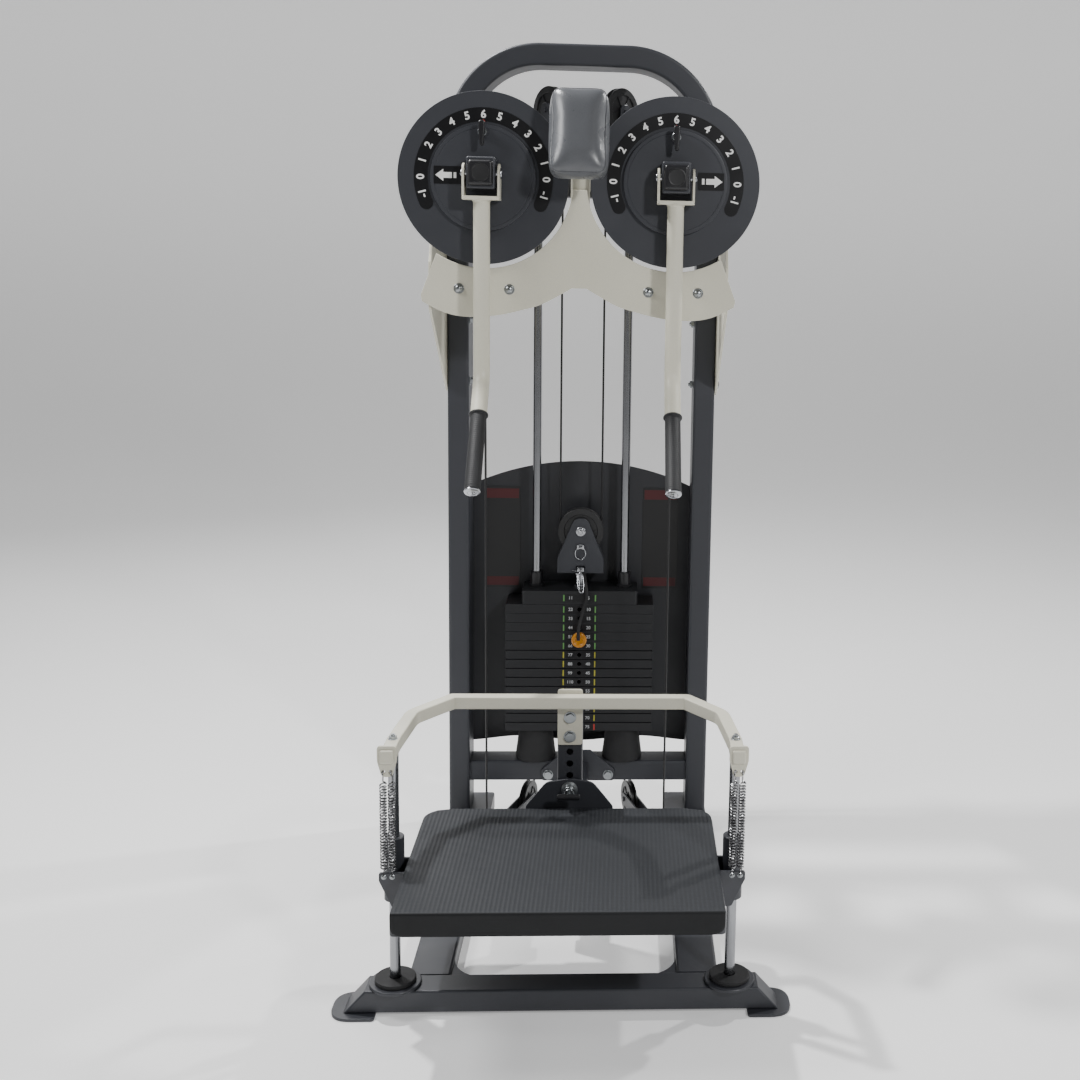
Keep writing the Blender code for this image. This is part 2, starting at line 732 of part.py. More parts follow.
def plate_pile(name, low, count):
    """A pile of plates in one solid, with a shadow gap between each two."""
    mesh = bpy.data.meshes.new(name)
    shape = bmesh.new()
    w, d = PLATE_W / 2, PLATE_D / 2
    levels = []
    for i in range(count):
        z = low + i * PLATE_PITCH
        top = z + PLATE_PITCH - (GROOVE if i < count - 1 else FIT)
        levels += [(w, d, z), (w, d, top)]
        if i < count - 1:
            levels += [(w - GROOVE_IN, d - GROOVE_IN, top),
                       (w - GROOVE_IN, d - GROOVE_IN, z + PLATE_PITCH)]
    rings = []
    for half_w, half_d, z in levels:
        corners = ((-half_w, -half_d), (half_w, -half_d), (half_w, half_d), (-half_w, half_d))
        rings.append([shape.verts.new((x, STACK_Y + y, z)) for x, y in corners])
    for a, b in zip(rings, rings[1:]):
        for k in range(4):
            shape.faces.new((a[k], a[(k + 1) % 4], b[(k + 1) % 4], b[k]))
    shape.faces.new(rings[0][::-1])
    shape.faces.new(rings[-1])
    shape.to_mesh(mesh)
    shape.free()
    pile = link(mesh, name)
    high = low + count * PLATE_PITCH
    drills = [cylinder("drill", (s * GUIDE_X, STACK_Y, low - 0.01), (s * GUIDE_X, STACK_Y, high + 0.01),
                       GUIDE_R + 3 * RUN, 16) for s in (-1, 1)]
    drills.append(cylinder("drill", (0, STACK_Y, low - 0.01), (0, STACK_Y, high + 0.01),
                           STEM_HOLE_R, 12))
    for i in range(count):
        z = low + (i + 0.5) * PLATE_PITCH - GROOVE / 2
        drills.append(cylinder("drill", (0, STACK_Y - d - 0.01, z), (0, STACK_Y + d - 0.012, z),
                               PIN_HOLE_R, 6))
    return cut(pile, *drills)


def pin_z():
    """Height of the selector pin, in the lowest of the lifted plates."""
    return stack_base() + (PLATES_RESTING + 0.5) * PLATE_PITCH - GROOVE / 2


def stack_head():
    """Head plate with its two collars and the drilled stem that hangs through the plates."""
    low = plate_top(1) + FIT
    high = low + HEAD_H
    w, d = HEAD_W / 2, PLATE_D / 2
    plate = flat("plate", [box_loop(-w, -d, w, d, 0.006, 3)], low, high,
                 Matrix.Translation((0, STACK_Y, 0)))
    added = [cylinder("stem", (0, STACK_Y, stack_base() + 0.004), (0, STACK_Y, low + WELD), STEM_R, 12)]
    added += [cylinder("collar", (s * GUIDE_X, STACK_Y, high - WELD),
                       (s * GUIDE_X, STACK_Y, high + COLLAR_H), COLLAR_R, 20) for s in (-1, 1)]
    head = weld(plate, *added)
    drills = [cylinder("drill", (s * GUIDE_X, STACK_Y, low - 0.01),
                       (s * GUIDE_X, STACK_Y, high + COLLAR_H + 0.01), GUIDE_R + RUN, 20)
              for s in (-1, 1)]
    for i in range(PLATES_LIFTED + PLATES_RESTING):
        z = stack_base() + (i + 0.5) * PLATE_PITCH - GROOVE / 2
        drills.append(cylinder("drill", (0, STACK_Y - 0.03, z), (0, STACK_Y + 0.03, z), PIN_HOLE_R, 6))
    return finish(cut(head, *drills), "stack_head", "black", (0, STACK_Y, high))


def pulley_profile(running, width, rim, bore):
    """Half section of a pulley: hub, rim and round groove for the cable."""
    w = width / 2
    floor = running - CABLE_R - LINE_GAP
    g = CABLE_R + 0.0008
    return [(bore, -w), (running + rim, -w), (running + rim, -g - 0.001), (floor, -g * 0.6),
            (floor, g * 0.6), (running + rim, g + 0.001), (running + rim, w), (bore, w)]


def pulley(name, centre, axis, running, width, count=24):
    bore = AXLE_R + RUN
    wheel = turned(name, pulley_profile(running, width, RIM, bore), count, centre, axis, closed=True)
    return finish(wheel, name, "black", centre)


def stack_pulley_group():
    """Bracket bolted to the head plate, and the pulley that turns in it."""
    base = plate_top(1) + FIT + HEAD_H + FIT
    web_z = base + BRACKET_LOW
    offset = FLOAT_W / 2 + CHEEK_GAP
    half = BRACKET_HALF
    crown = FLOAT_Z + 0.010
    waist = web_z + BRACKET_WAIST
    away = math.hypot(half, crown - waist)
    tangent = (math.degrees(math.acos(BRACKET_TOP_R / away) - math.atan2(crown - waist, half)))
    loop = ([(-half, web_z), (half, web_z), (half, waist)]
            + arc(0, crown, BRACKET_TOP_R, tangent, 180 - tangent, 8) + [(-half, waist)])
    added = []
    for low in (offset, -offset - CHEEK_T):
        added.append(flat("cheek", [loop], low - STACK_Y, low + CHEEK_T - STACK_Y, facing_front(0)))
    reach = offset + CHEEK_T
    web = block("web", -half + 0.001, half - 0.001, STACK_Y - reach + 0.001, STACK_Y + reach - 0.001,
                web_z + 0.0005, web_z + 0.006)
    added.append(cylinder("bolt", (0, STACK_Y, base), (0, STACK_Y, web_z + WELD), 0.010, 16))
    added.append(cylinder("axle", (0, STACK_Y - reach - 0.005, FLOAT_Z),
                          (0, STACK_Y + reach + 0.005, FLOAT_Z), AXLE_R, 12))
    hook = lanyard_points()[0]
    added.append(cylinder("hook", (hook[0], STACK_Y - reach + WELD, hook[2] + 0.005),
                          (hook[0], STACK_Y - reach - 0.007, hook[2] + 0.005), 0.0030, 8))
    bracket = finish(weld(web, *added), "pulley_bracket", "frame", (0, STACK_Y, base))
    wheel = pulley("stack_pulley", (0, STACK_Y, FLOAT_Z), (0, 1, 0), FLOAT_R, FLOAT_W)
    return bracket, wheel


def selector_pin():
    """Pin with a disc knob, pushed through the lowest lifted plate into the stem."""
    z = pin_z()
    front = STACK_Y - PLATE_D / 2
    tip = STACK_Y + STEM_R + 0.004
    face = front - 0.018
    r = KNOB_R
    profile = [(0, tip), (PIN_R * 0.6, tip), (PIN_R, tip - 0.003), (PIN_R, front - 0.010),
               (0.0080, front - 0.010), (0.0080, face), (r - 0.002, face), (r, face - 0.003),
               (r, face - KNOB_T + 0.003), (r - 0.002, face - KNOB_T), (0, face - KNOB_T)]
    pin = turned("pin", profile, 16, (0, 0, z), (0, 1, 0))
    return finish(pin, "selector_pin", "orange", (0, front, z))


def lanyard_points():
    """Route of the pin's lanyard, from the bracket's hook past the head plate to the knob."""
    head_top = plate_top(1) + FIT + HEAD_H
    front = STACK_Y - PLATE_D / 2
    middle = front - 0.018 - KNOB_T / 2
    knob_top = pin_z() + KNOB_R + 0.0022
    keys = [(0.006, STACK_Y - 0.0210, head_top + 0.047), (0.010, STACK_Y - 0.030, head_top + 0.030),
            (0.018, front - 0.004, head_top + 0.006), (0.022, front - 0.012, head_top - 0.020),
            (0.014, front - 0.022, head_top - 0.056), (0.0, middle, knob_top)]
    return catmull(keys, 3)


def catmull(keys, count):
    """A smooth line through the key points, with count spans between each two."""
    keys = [Vector(k) for k in keys]
    out = []
    for i in range(len(keys) - 1):
        p0, p1, p2 = keys[max(i - 1, 0)], keys[i], keys[i + 1]
        p3 = keys[min(i + 2, len(keys) - 1)]
        for k in range(count):
            t = k / count
            out.append(0.5 * ((2 * p1) + (p2 - p0) * t + (2 * p0 - 5 * p1 + 4 * p2 - p3) * t * t
                              + (3 * p1 - p0 - 3 * p2 + p3) * t ** 3))
    out.append(keys[-1])
    return [tuple(p) for p in out]


def weight_stack():
    """Everything that rises with the stack, and the plates that stay down."""
    resting = plate_pile("pile", stack_base(), PLATES_RESTING)
    finish(resting, "weight_plates_resting", "black")
    rising = []
    for k in range(PLATES_LIFTED):
        low = stack_base() + (PLATES_RESTING + PLATES_LIFTED - 1 - k) * PLATE_PITCH
        rising.append(finish(plate_pile("pile", low, 1), "weight_plate_%d" % (k + 1), "black",
                             (0, STACK_Y, low)))
    head = stack_head()
    bracket, wheel = stack_pulley_group()
    pin = selector_pin()
    lanyard = finish(wire("lanyard", lanyard_points(), 0.0018), "pin_lanyard", "rubber")
    lift = pivot("stack_lift", (0, STACK_Y, low), *rising, head, bracket, lanyard)
    for name, child in (("stack_pulley_axis", wheel), ("selector_pin_slide", pin)):
        joint = pivot(name, child.matrix_world.translation, child)
        joint.parent = lift
        joint.matrix_parent_inverse = lift.matrix_world.inverted()


# ================================================================ cables
def bow(centre, way, radius, a0, a1, count):
    """Points of an arc in the vertical plane along way, with angles from way towards +Z."""
    out = []
    for x, z in arc(0, 0, radius, a0, a1, count):
        out.append((centre[0] + way.x * x, centre[1] + way.y * x, centre[2] + z))
    return out


def side_cable(side):
    """From the cam down under both base wheels, up behind the stack and over the top pulley."""
    front, rear, way = base_wheel_centres(side)
    top, top_way, top_r = top_pulley_centre(side)
    points = [(side * DISC_X, CAM_Y, DISC_Z - CAM_R - CABLE_R - FIT)]
    points += bow((front.x, front.y, WHEEL_Z), way, WHEEL_R, 0, -90, 6)
    points += bow((rear.x, rear.y, WHEEL_Z), way, WHEEL_R, -90, -180, 6)
    points += bow((top.x, top.y, TOP_PULLEY_Z), top_way, top_r, 180, 0, 12)
    points.append((side * FLOAT_R, STACK_Y, cable_join()))
    return points


def cable_join():
    """Height where the strands to the stack's pulley begin."""
    return TOP_CROSS_Z + CROSS_H + 0.030


def cables():
    for side, word in ((-1, "left"), (1, "right")):
        finish(wire("cable", side_cable(side), CABLE_R), "cable_" + word, "black")
    top = cable_join() - FIT
    points = [(-FLOAT_R, STACK_Y, top)]
    points += [(x, STACK_Y, z) for x, z in arc(0, FLOAT_Z, FLOAT_R, 180, 360, 12)]
    points.append((FLOAT_R, STACK_Y, top))
    finish(wire("loop", points, CABLE_R), "cable_loop", "black", (0, STACK_Y, top))


def fixed_pulleys():
    """The wheels and pulleys that turn on the frame."""
    for side, word in ((-1, "left"), (1, "right")):
        front, rear, way = base_wheel_centres(side)
        spin = (-way.y, way.x, 0)
        top, top_way, top_r = top_pulley_centre(side)
        wheels = [pulley("base_pulley_front_" + word, (front.x, front.y, WHEEL_Z), spin,
                         WHEEL_R, WHEEL_W, 16),
                  pulley("base_pulley_rear_" + word, (rear.x, rear.y, WHEEL_Z), spin,
                         WHEEL_R, WHEEL_W, 16),
                  pulley("top_pulley_" + word, (top.x, top.y, TOP_PULLEY_Z),
                         (-top_way.y, top_way.x, 0), top_r, TOP_W, 18)]
        for wheel in wheels:
            pivot(wheel.name + "_axis", wheel.matrix_world.translation, wheel)


# ================================================================ head
def front_plate_outline():
    """Half of the cream plate's outline for positive X, from the apex down to the notch."""
    r = PLATE_R
    apex = 0.0150
    apex_z = DISC_Z - math.sqrt(r * r - (DISC_X - apex) ** 2)
    a0 = math.degrees(math.atan2(apex_z - DISC_Z, apex - DISC_X)) % 360
    wing_x = 0.303
    wing_z = DISC_Z - math.sqrt(r * r - (wing_x - DISC_X) ** 2)
    a1 = math.degrees(math.atan2(wing_z - DISC_Z, wing_x - DISC_X)) % 360
    top = arc(DISC_X, DISC_Z, r, a0, a1, 14)
    drops = [(0.3365, 0.247), (0.334, 0.261), (0.286, 0.284), (0.238, 0.292), (0.177, 0.288),
             (0.124, 0.276), (0.081, 0.263), (0.036, 0.239), (0.016, 0.227)]
    return top, [(x, DISC_Z - drop) for x, drop in drops]


def front_plate():
    """Cream plate that follows both discs, with its four bolts."""
    top, lower = front_plate_outline()
    half = top + lower
    loop = half + [(-x, z) for x, z in reversed(half)]
    plate = flat("plate", [loop], -PLATE_Y - PLATE_T, -PLATE_Y, facing_front(0))
    bolts = []
    for side in (-1, 1):
        for x in (DISC_X - BOLT_DX, DISC_X + BOLT_DX):
            bolts.append(cylinder("bolt", (side * x, PLATE_Y - 0.005, BOLT_Z),
                                  (side * x, PLATE_Y + WELD, BOLT_Z), 0.009, 6))
            bolts.append(cylinder("stud", (side * x, PLATE_Y + PLATE_T - WELD, BOLT_Z),
                                  (side * x, PLATE_Y + PLATE_T + 0.016, BOLT_Z), 0.007, 10))
    return finish(weld(plate, *bolts), "front_plate", "cream")


def side_plates():
    """Gusset plates on the uprights' outer sides that carry the head."""
    front = PLATE_Y + PLATE_T + FIT
    inner = ARCH_X + ARCH_W / 2 + FIT
    rear = 0.500
    high = DISC_Z + HEAD_BEAM / 2 + 0.013
    low, foot, chin = DISC_Z - SIDE_LOW, DISC_Z - SIDE_FOOT, DISC_Z - SIDE_CHIN
    loop = rounded([(front, chin), (ARCH_Y - ARCH_D / 2 + 0.02, foot), (rear, foot), (rear, high),
                    (HEAD_BEAM_Y, high), (front, low)],
                   [0.004, 0.030, 0.012, 0.020, 0.040, 0.004], 4)
    for side, word in ((-1, "left"), (1, "right")):
        x0, x1 = sorted((side * inner, side * (inner + SIDE_T)))
        plate = flat("plate", [loop], x0, x1, facing_side(0))
        bolts = []
        for z in SIDE_BOLTS:
            bolts.append(cylinder("bolt", (side * (inner + SIDE_T - WELD), 0.450, z),
                                  (side * (inner + SIDE_T + 0.006), 0.450, z), 0.009, 6))
        finish(weld(plate, *bolts), "side_plate_" + word, "cream")


def head_beam():
    """Beam between the side plates with a bearing housing for each shaft."""
    half = ARCH_X + ARCH_W / 2
    y = HEAD_BEAM_Y + HEAD_BEAM / 2
    beam = straight_tube("beam", HEAD_BEAM, HEAD_BEAM, HEAD_WALL, 0.005, 2 * half,
                         along_x(-half, y, DISC_Z))
    added = [cylinder("housing", (s * DISC_X, HEAD_BEAM_Y - HOUSING_L, DISC_Z),
                      (s * DISC_X, HEAD_BEAM_Y + WELD, DISC_Z), HOUSING_R, 24) for s in (-1, 1)]
    beam = weld(beam, *added)
    bores = [cylinder("bore", (s * DISC_X, HEAD_BEAM_Y - HOUSING_L - 0.01, DISC_Z),
                      (s * DISC_X, HEAD_BEAM_Y + HEAD_WALL + 0.01, DISC_Z), SHAFT_R + RUN, 24)
             for s in (-1, 1)]
    return finish(cut(beam, *bores), "head_beam", "frame")


def cam_disc(side, word):
    """Large disc with its ring of stops, the cam behind it and the shaft."""
    back = DISC_Y + DISC_T
    floor = CAM_R - CABLE_R - LINE_GAP
    rim = CAM_R + 0.002
    g = CABLE_R + 0.0015
    shaft_end = HEAD_BEAM_Y + HEAD_WALL + 0.006
    face = HEAD_BEAM_Y - HOUSING_L - FIT
    profile = [(0, DISC_Y), (DISC_R, DISC_Y), (DISC_R, back), (0.088, back), (0.088, back + 0.004),
               (0.104, back + 0.004), (0.104, CAM_Y - CAM_HALF), (rim, CAM_Y - CAM_HALF),
               (rim, CAM_Y - g), (floor, CAM_Y - g * 0.6), (floor, CAM_Y + g * 0.6),
               (rim, CAM_Y + g), (rim, CAM_Y + CAM_HALF), (0.104, CAM_Y + CAM_HALF),
               (0.104, CAM_Y), (0.028, CAM_Y), (0.028, face), (SHAFT_R, face),
               (SHAFT_R, shaft_end), (0, shaft_end)]
    x = side * DISC_X
    disc = turned("disc", profile, 32, (0, 0, 0), (0, 1, 0))
    disc.data.transform(Matrix.Rotation(math.radians(HOLE_STEP / 8), 4, "Y"))
    stops = []
    for k in range(STOPS):
        turn = math.radians(-HOLE_STEP + k * HOLE_STEP)
        at = (HOLE_RING_R * math.cos(turn), HOLE_RING_R * math.sin(turn))
        stops.append(cylinder("stop", (at[0], DISC_Y - 0.01, at[1]), (at[0], back + 0.003, at[1]),
                              DISC_HOLE_R, 8))
    disc = cut(disc, *stops)
    disc.data.transform(Matrix.Translation((x, 0, DISC_Z)))
    return finish(disc, "cam_disc_" + word, "frame", (x, DISC_Y, DISC_Z))


def lever_plate(side, word):
    """Small disc in front of the large one, with the hub block and the pin's barrel."""
    x = side * DISC_X
    rear = DISC_Y - FIT
    face = rear - LEVER_DISC_T
    py, pz = pivot_y(), pivot_z()
    disc = turned("disc", [(0, rear), (LEVER_DISC_R, rear), (LEVER_DISC_R, face + 0.001),
                           (LEVER_DISC_R - 0.001, face), (0, face)][::-1], 36,
                  (x, 0, DISC_Z), (0, 1, 0))
    h, f = HUB_H / 2, HUB_FACE / 2
    hub = block("hub", x - HUB_W / 2, x + HUB_W / 2, py - HUB_REACH + CAP_REACH, face + WELD,
                pz - h, pz + h)
    cap = block("cap", x - f, x + f, py - HUB_REACH, py - HUB_REACH + CAP_REACH + WELD, pz - f, pz + f)
    barrel = cylinder("barrel", (x, face + WELD, DISC_Z + HOLE_RING_R),
                      (x, face - 0.012, DISC_Z + HOLE_RING_R), 0.011, 14)
    body = weld(disc, hub, cap, barrel)
    pin_bore = cylinder("bore", (x, face - 0.03, DISC_Z + HOLE_RING_R),
                        (x, rear + 0.01, DISC_Z + HOLE_RING_R), DISC_PIN_R + RUN, 12)
    cross_bore = cylinder("bore", (x - 0.05, py, pz), (x + 0.05, py, pz), PIVOT_R + RUN, 16)
    return finish(cut(body, pin_bore, cross_bore), "lever_plate_" + word, "frame",
                  (x, DISC_Y, DISC_Z))


def pivot_y():
    return DISC_Y - FIT - LEVER_DISC_T - PIVOT_FWD


def pivot_z():
    return DISC_Z + PIVOT_UP


def lever_path(side):
    """The lever's centre line: straight down, a bend, then the leaning handle."""
    x, y = side * DISC_X, pivot_y()
    lean = math.radians(LEVER_LEAN)
    radius = 0.060
    reach = radius * math.tan(lean / 2)
    top = pivot_z() - YOKE_DROP - YOKE_BASE + WELD
    points = [(x, y, top)]
    for k in range(7):
        turn = lean * k / 6
        points.append((x, y - radius + radius * math.cos(turn),
                       LEVER_BEND_Z + reach - radius * math.sin(turn)))
    start_at = Vector((x, y, LEVER_BEND_Z))
    way = Vector((0, -math.sin(lean), -math.cos(lean)))
    end = start_at + way * NECK
    points.append(tuple(end))
    return points, end, way


def lever_arm(side, word):
    """Yoke that hangs on the hub by its pin, with the bent lever tube welded under it."""
    x, y, z = side * DISC_X, pivot_y(), pivot_z()
    points, end, way = lever_path(side)
    tube = wire("tube", points, LEVER_R, detail=2, caps=False)
    wall = tube.modifiers.new("wall", "SOLIDIFY")
    wall.thickness = LEVER_WALL
    wall.offset = -1
    tube = bake(tube, "tube")
    base_top = z - YOKE_DROP
    base_low = base_top - YOKE_BASE
    w = YOKE_W / 2
    half = YOKE_D / 2
    base = flat("base", [box_loop(x - w, y - half, x + w, y + half, 0.004, 2),
                         ring(x, y, LEVER_R * 0.5, 12)], base_low, base_top, facing_up(0))
    ear = (arc(y, z, half - 0.002, 0, 180, 6)
           + [(y - half + 0.002, base_top - WELD), (y + half - 0.002, base_top - WELD)])
    added = [tube]
    collar = turned("collar", [(LEVER_R - 0.001, NECK_LOW_Z), (NECK_R, NECK_LOW_Z),
                               (NECK_R, base_low + WELD), (LEVER_R - 0.001, base_low + WELD)], 16,
                    (x, y, 0), (0, 0, 1), closed=True)
    added.append(collar)
    for s in (-1, 1):
        a, b = sorted((x + s * (w - 0.0004), x + s * (w - YOKE_T)))
        added.append(flat("ear", [ear], a, b, facing_side(0)))
        added.append(cylinder("head", (x + s * (w - WELD), y, z), (x + s * (w + 0.006), y, z),
                              0.0115, 6))
    added.append(cylinder("pin", (x - w + 0.001, y, z), (x + w - 0.001, y, z), PIVOT_R, 16))
    shoulder = end - way * 0.004
    added.append(cylinder("shoulder", shoulder, end, LEVER_R - 0.0002, 16))
    added.append(cylinder("stub", end - way * 0.002, end + way * (GRIP_L - 0.012), STUB_R, 14))
    return finish(weld(base, *added), "lever_arm_" + word, "cream", (x, y, z))


def grip(side, word):
    """Rubber grip over the lever's stub, with a flange at the top and a closed end."""
    _, end, way = lever_path(side)
    low = end + way * FIT
    bore = STUB_R + RUN
    length = GRIP_L
    profile = [(bore, 0), (GRIP_R + 0.0035, 0), (GRIP_R + 0.0035, 0.004), (GRIP_R, 0.007),
               (GRIP_R, length - 0.004), (GRIP_R - 0.003, length), (0, length),
               (0, length - 0.0115), (bore, length - 0.0115)]
    body = turned("grip", profile, 16, low, way, closed=True)
    return finish(body, "grip_" + word, "rubber", tuple(low))


def disc_pin(side, word):
    """Spring pin with an upright T handle that locks the lever disc to the large disc."""
    x, z = side * DISC_X, DISC_Z + HOLE_RING_R
    face = DISC_Y - FIT - LEVER_DISC_T
    tip = DISC_Y + 0.008
    front = face - 0.012 - FIT
    pin = turned("pin", [(0, tip), (DISC_PIN_R - 0.001, tip), (DISC_PIN_R, tip - 0.0015),
                         (DISC_PIN_R, front), (0.0085, front), (0.0085, front - 0.005),
                         (0.004, front - 0.005), (0.004, front - 0.013), (0, front - 0.013)], 12,
                 (x, 0, z), (0, 1, 0))
    bar = block("bar", x - 0.006, x + 0.006, front - 0.020, front - 0.010, z - 0.028, z + 0.028)
    return finish(weld(bar, pin), "disc_pin_" + word, "black", (x, DISC_Y, z))


def head_unit():
    """Both discs with their levers, each piece carried by the one behind it."""
    for side, word in ((-1, "left"), (1, "right")):
        cam, plate = cam_disc(side, word), lever_plate(side, word)
        arm, handle, pin = lever_arm(side, word), grip(side, word), disc_pin(side, word)
        x = side * DISC_X
        chain = [pivot("cam_axis_" + word, (x, DISC_Y, DISC_Z), cam),
                 pivot("adjust_axis_" + word, (x, DISC_Y, DISC_Z), plate),
                 pivot("swing_axis_" + word, (x, pivot_y(), pivot_z()), arm, handle),
                 pivot("disc_pin_slide_" + word, (x, DISC_Y, DISC_Z + HOLE_RING_R), pin)]
        for child, parent in ((chain[1], chain[0]), (chain[2], chain[1]), (chain[3], chain[1])):
            child.parent = parent
            child.matrix_parent_inverse = parent.matrix_world.inverted()


# ================================================================ pad
def pad_frame():
    """Placement on the middle of the pad's face: local X across, Y up the face, Z out of it."""
    lean = math.radians(PAD_LEAN)
    return axes((0, PAD_Y, PAD_Z), (1, 0, 0), (0, math.sin(lean), math.cos(lean)))


def head_pad():
    place = pad_frame()
    w, l = PAD_W / 2, PAD_L / 2
    pad = flat("pad", [box_loop(-w, -l, w, l, 0.010, 4)], -PAD_T, 0, place)
    return finish(pad, "head_pad", "vinyl")


def pad_bracket():
    """Post on a stub from the head beam, with an arm forward to the plate behind the pad."""
    place = pad_frame()
    half = PAD_TUBE / 2
    radius = 0.030
    path = ([(PAD_POST_Y, PAD_POST_LOW)]
            + arc(PAD_POST_Y - radius, PAD_ARM_Z - radius, radius, 0, 90, 4)
            + [(PAD_Y + 0.02, PAD_ARM_Z)])
    tube = bent_tube("tube", path, PAD_TUBE, PAD_TUBE, PAD_TUBE_WALL, 0.004, facing_side(0))
    stub_start = PAD_POST_Y + half - WELD
    stub = straight_tube("stub", PAD_TUBE - 0.002, PAD_TUBE - 0.002, PAD_TUBE_WALL, 0.004,
                         HEAD_BEAM_Y - FIT - stub_start, along_y(0, stub_start, DISC_Z))
    back = -PAD_T - FIT
    w, l = PAD_PLATE_W / 2, PAD_PLATE_L / 2
    plate = flat("plate", [box_loop(-w, -l, w, l, 0.008, 3)], back - PAD_PLATE_T, back, place)
    trim = flat("trim", [box_loop(-0.1, -0.2, 0.1, 0.2)], back - PAD_PLATE_T / 2, 0.2, place)
    return finish(weld(cut(tube, trim), plate, stub), "pad_bracket", "cream")


# ================================================================ platform side
def rods():
    """Rods that the platform rides on, with a flanged rubber buffer at the foot of each."""
    low = FOOT_T + BEAM_H + FIT
    high = RAIL_TOP - RAIL_TUBE - FIT
    for side, word in ((-1, "left"), (1, "right")):
        x = side * ROD_X
        finish(cylinder("rod", (x, FRONT_Y, low), (x, FRONT_Y, high), ROD_R, 20),
               "platform_rod_" + word, "chrome")
        bore = ROD_R + RUN
        profile = [(bore, 0), (RING_R, 0), (RING_R, RING_H - 0.001), (RING_R - 0.001, RING_H),
                   (BUFFER_R, RING_H), (BUFFER_R, RING_H + BUFFER_H - 0.002),
                   (BUFFER_R - 0.002, RING_H + BUFFER_H), (bore, RING_H + BUFFER_H)]
        finish(turned("ring", profile, 20, (x, FRONT_Y, low), (0, 0, 1), closed=True),
               "rod_buffer_" + word, "rubber")


def rail_rear_y():
    return POST_Y - FIT - TAB_T - RAIL_TUBE / 2


def hand_rail():
    """Square tube bent round the platform, with the tab on the post and the springs' end plates."""
    y = rail_rear_y()
    z = RAIL_TOP - RAIL_TUBE / 2
    corners = [(-ROD_X, RAIL_END_Y), (-ROD_X, FRONT_Y + 0.005), (-RAIL_MID_X, RAIL_MID_Y),
               (-RAIL_REAR_X, y)]
    corners += [(-px, py) for px, py in reversed(corners)]
    path = rounded(corners, [0, 0.04, 0.05, 0.05, 0.05, 0.05, 0.04, 0], 3)
    tube = bent_tube("tube", path, RAIL_TUBE, RAIL_TUBE, RAIL_TUBE_WALL, 0.003, facing_up(z))
    tab_y = -POST_Y + FIT
    tab = flat("tab", [box_loop(-TAB_W / 2, TAB_LOW, TAB_W / 2, TAB_TOP, 0.006, 3)],
               tab_y, tab_y + TAB_T + WELD / 2, facing_front(0))
    added = [tab]
    for bolt_z in TAB_BOLTS:
        added.append(cylinder("bolt", (0, -tab_y - TAB_T + WELD, bolt_z),
                              (0, -tab_y - TAB_T - 0.006, bolt_z), 0.009, 6))
    w = END_PLATE_W / 2
    for side in (-1, 1):
        x = side * SPRING_X
        a, b = sorted((x - w, x + w))
        loop = rounded([(a, END_PLATE_LOW), (b, END_PLATE_LOW), (b, END_PLATE_TOP + 0.016),
                        (a, END_PLATE_TOP + 0.016)], 0.006, 3)
        vent = ring(side * ROD_X, z, 0.006, 10)
        added.append(flat("end", [loop, vent], -SPRING_Y - HANGER_T / 2, -SPRING_Y + HANGER_T / 2,
                          facing_front(0)))
        inside = sorted((side * (ROD_X - 0.010), side * (ROD_X + 0.010)))
        added.append(block("link", inside[0], inside[1], SPRING_Y + HANGER_T / 2 - WELD,
                           RAIL_END_Y + WELD, z - 0.0125 + 0.0005, z - 0.0125 + 0.0025))
    return finish(weld(tube, *added), "hand_rail", "cream")


def height_post():
    """Perforated post for the platform's pin, on an arm that is bolted to the stack's crossbeam."""
    middle = POST_Y + POST_W / 2
    post = straight_tube("post", POST_W, POST_W, POST_WALL, 0.004, POST_TOP - POST_LOW,
                         Matrix.Translation((0, middle, POST_LOW)))
    holes = []
    for k in range(-HOLES_DOWN, HOLES_UP + 1):
        z = POST_PIN_Z + k * POST_PITCH
        holes.append(cylinder("hole", (0, POST_Y - 0.01, z), (0, POST_Y + 0.02, z), POST_HOLE_R, 8))
    post = cut(post, *holes)
    start_y = POST_Y + POST_W - WELD
    plate_front = STACK_Y - CROSS_D / 2 - FIT - FLANGE_PLATE_T
    arm_z = LOW_CROSS_Z + CROSS_H / 2
    arm = straight_tube("arm", POST_W - 0.002, CROSS_H - 0.002, POST_WALL, 0.004,
                        plate_front + WELD - start_y, along_y(0, start_y, arm_z))
    drain_y = start_y + (plate_front - start_y) / 3
    drain = cylinder("drain", (0, drain_y, LOW_CROSS_Z - 0.01), (0, drain_y, LOW_CROSS_Z + 0.01), 0.006, 12)
    arm = cut(arm, drain)
    low, high = LOW_CROSS_Z + FLANGE_LOW, LOW_CROSS_Z + FLANGE_TOP
    edge = low + FLANGE_EDGE
    loop = rounded([(-FLANGE_HALF, low), (FLANGE_HALF, low), (FLANGE_HALF, edge), (FLANGE_NECK, high),
                    (-FLANGE_NECK, high), (-FLANGE_HALF, edge)], 0.008, 3)
    plate = flat("plate", [loop], -plate_front - FLANGE_PLATE_T, -plate_front, facing_front(0))
    bolt_z = LOW_CROSS_Z + FLANGE_BOLT_UP
    bolts = [cylinder("bolt", (s * FLANGE_BOLT_X, plate_front + WELD, bolt_z),
                      (s * FLANGE_BOLT_X, plate_front - 0.006, bolt_z), 0.009, 6) for s in (-1, 1)]
    return finish(weld(post, arm, plate, *bolts), "height_post", "frame")


def deck_loop(inset):
    """The platform's outline, square in front and rounded at the rear, drawn in by inset."""
    w = DECK_HALF - inset
    return rounded([(-w, DECK_FRONT + inset), (w, DECK_FRONT + inset), (w, DECK_REAR - inset),
                    (-w, DECK_REAR - inset)],
                   [0.008, 0.008, DECK_CORNER - inset, DECK_CORNER - inset], 4)


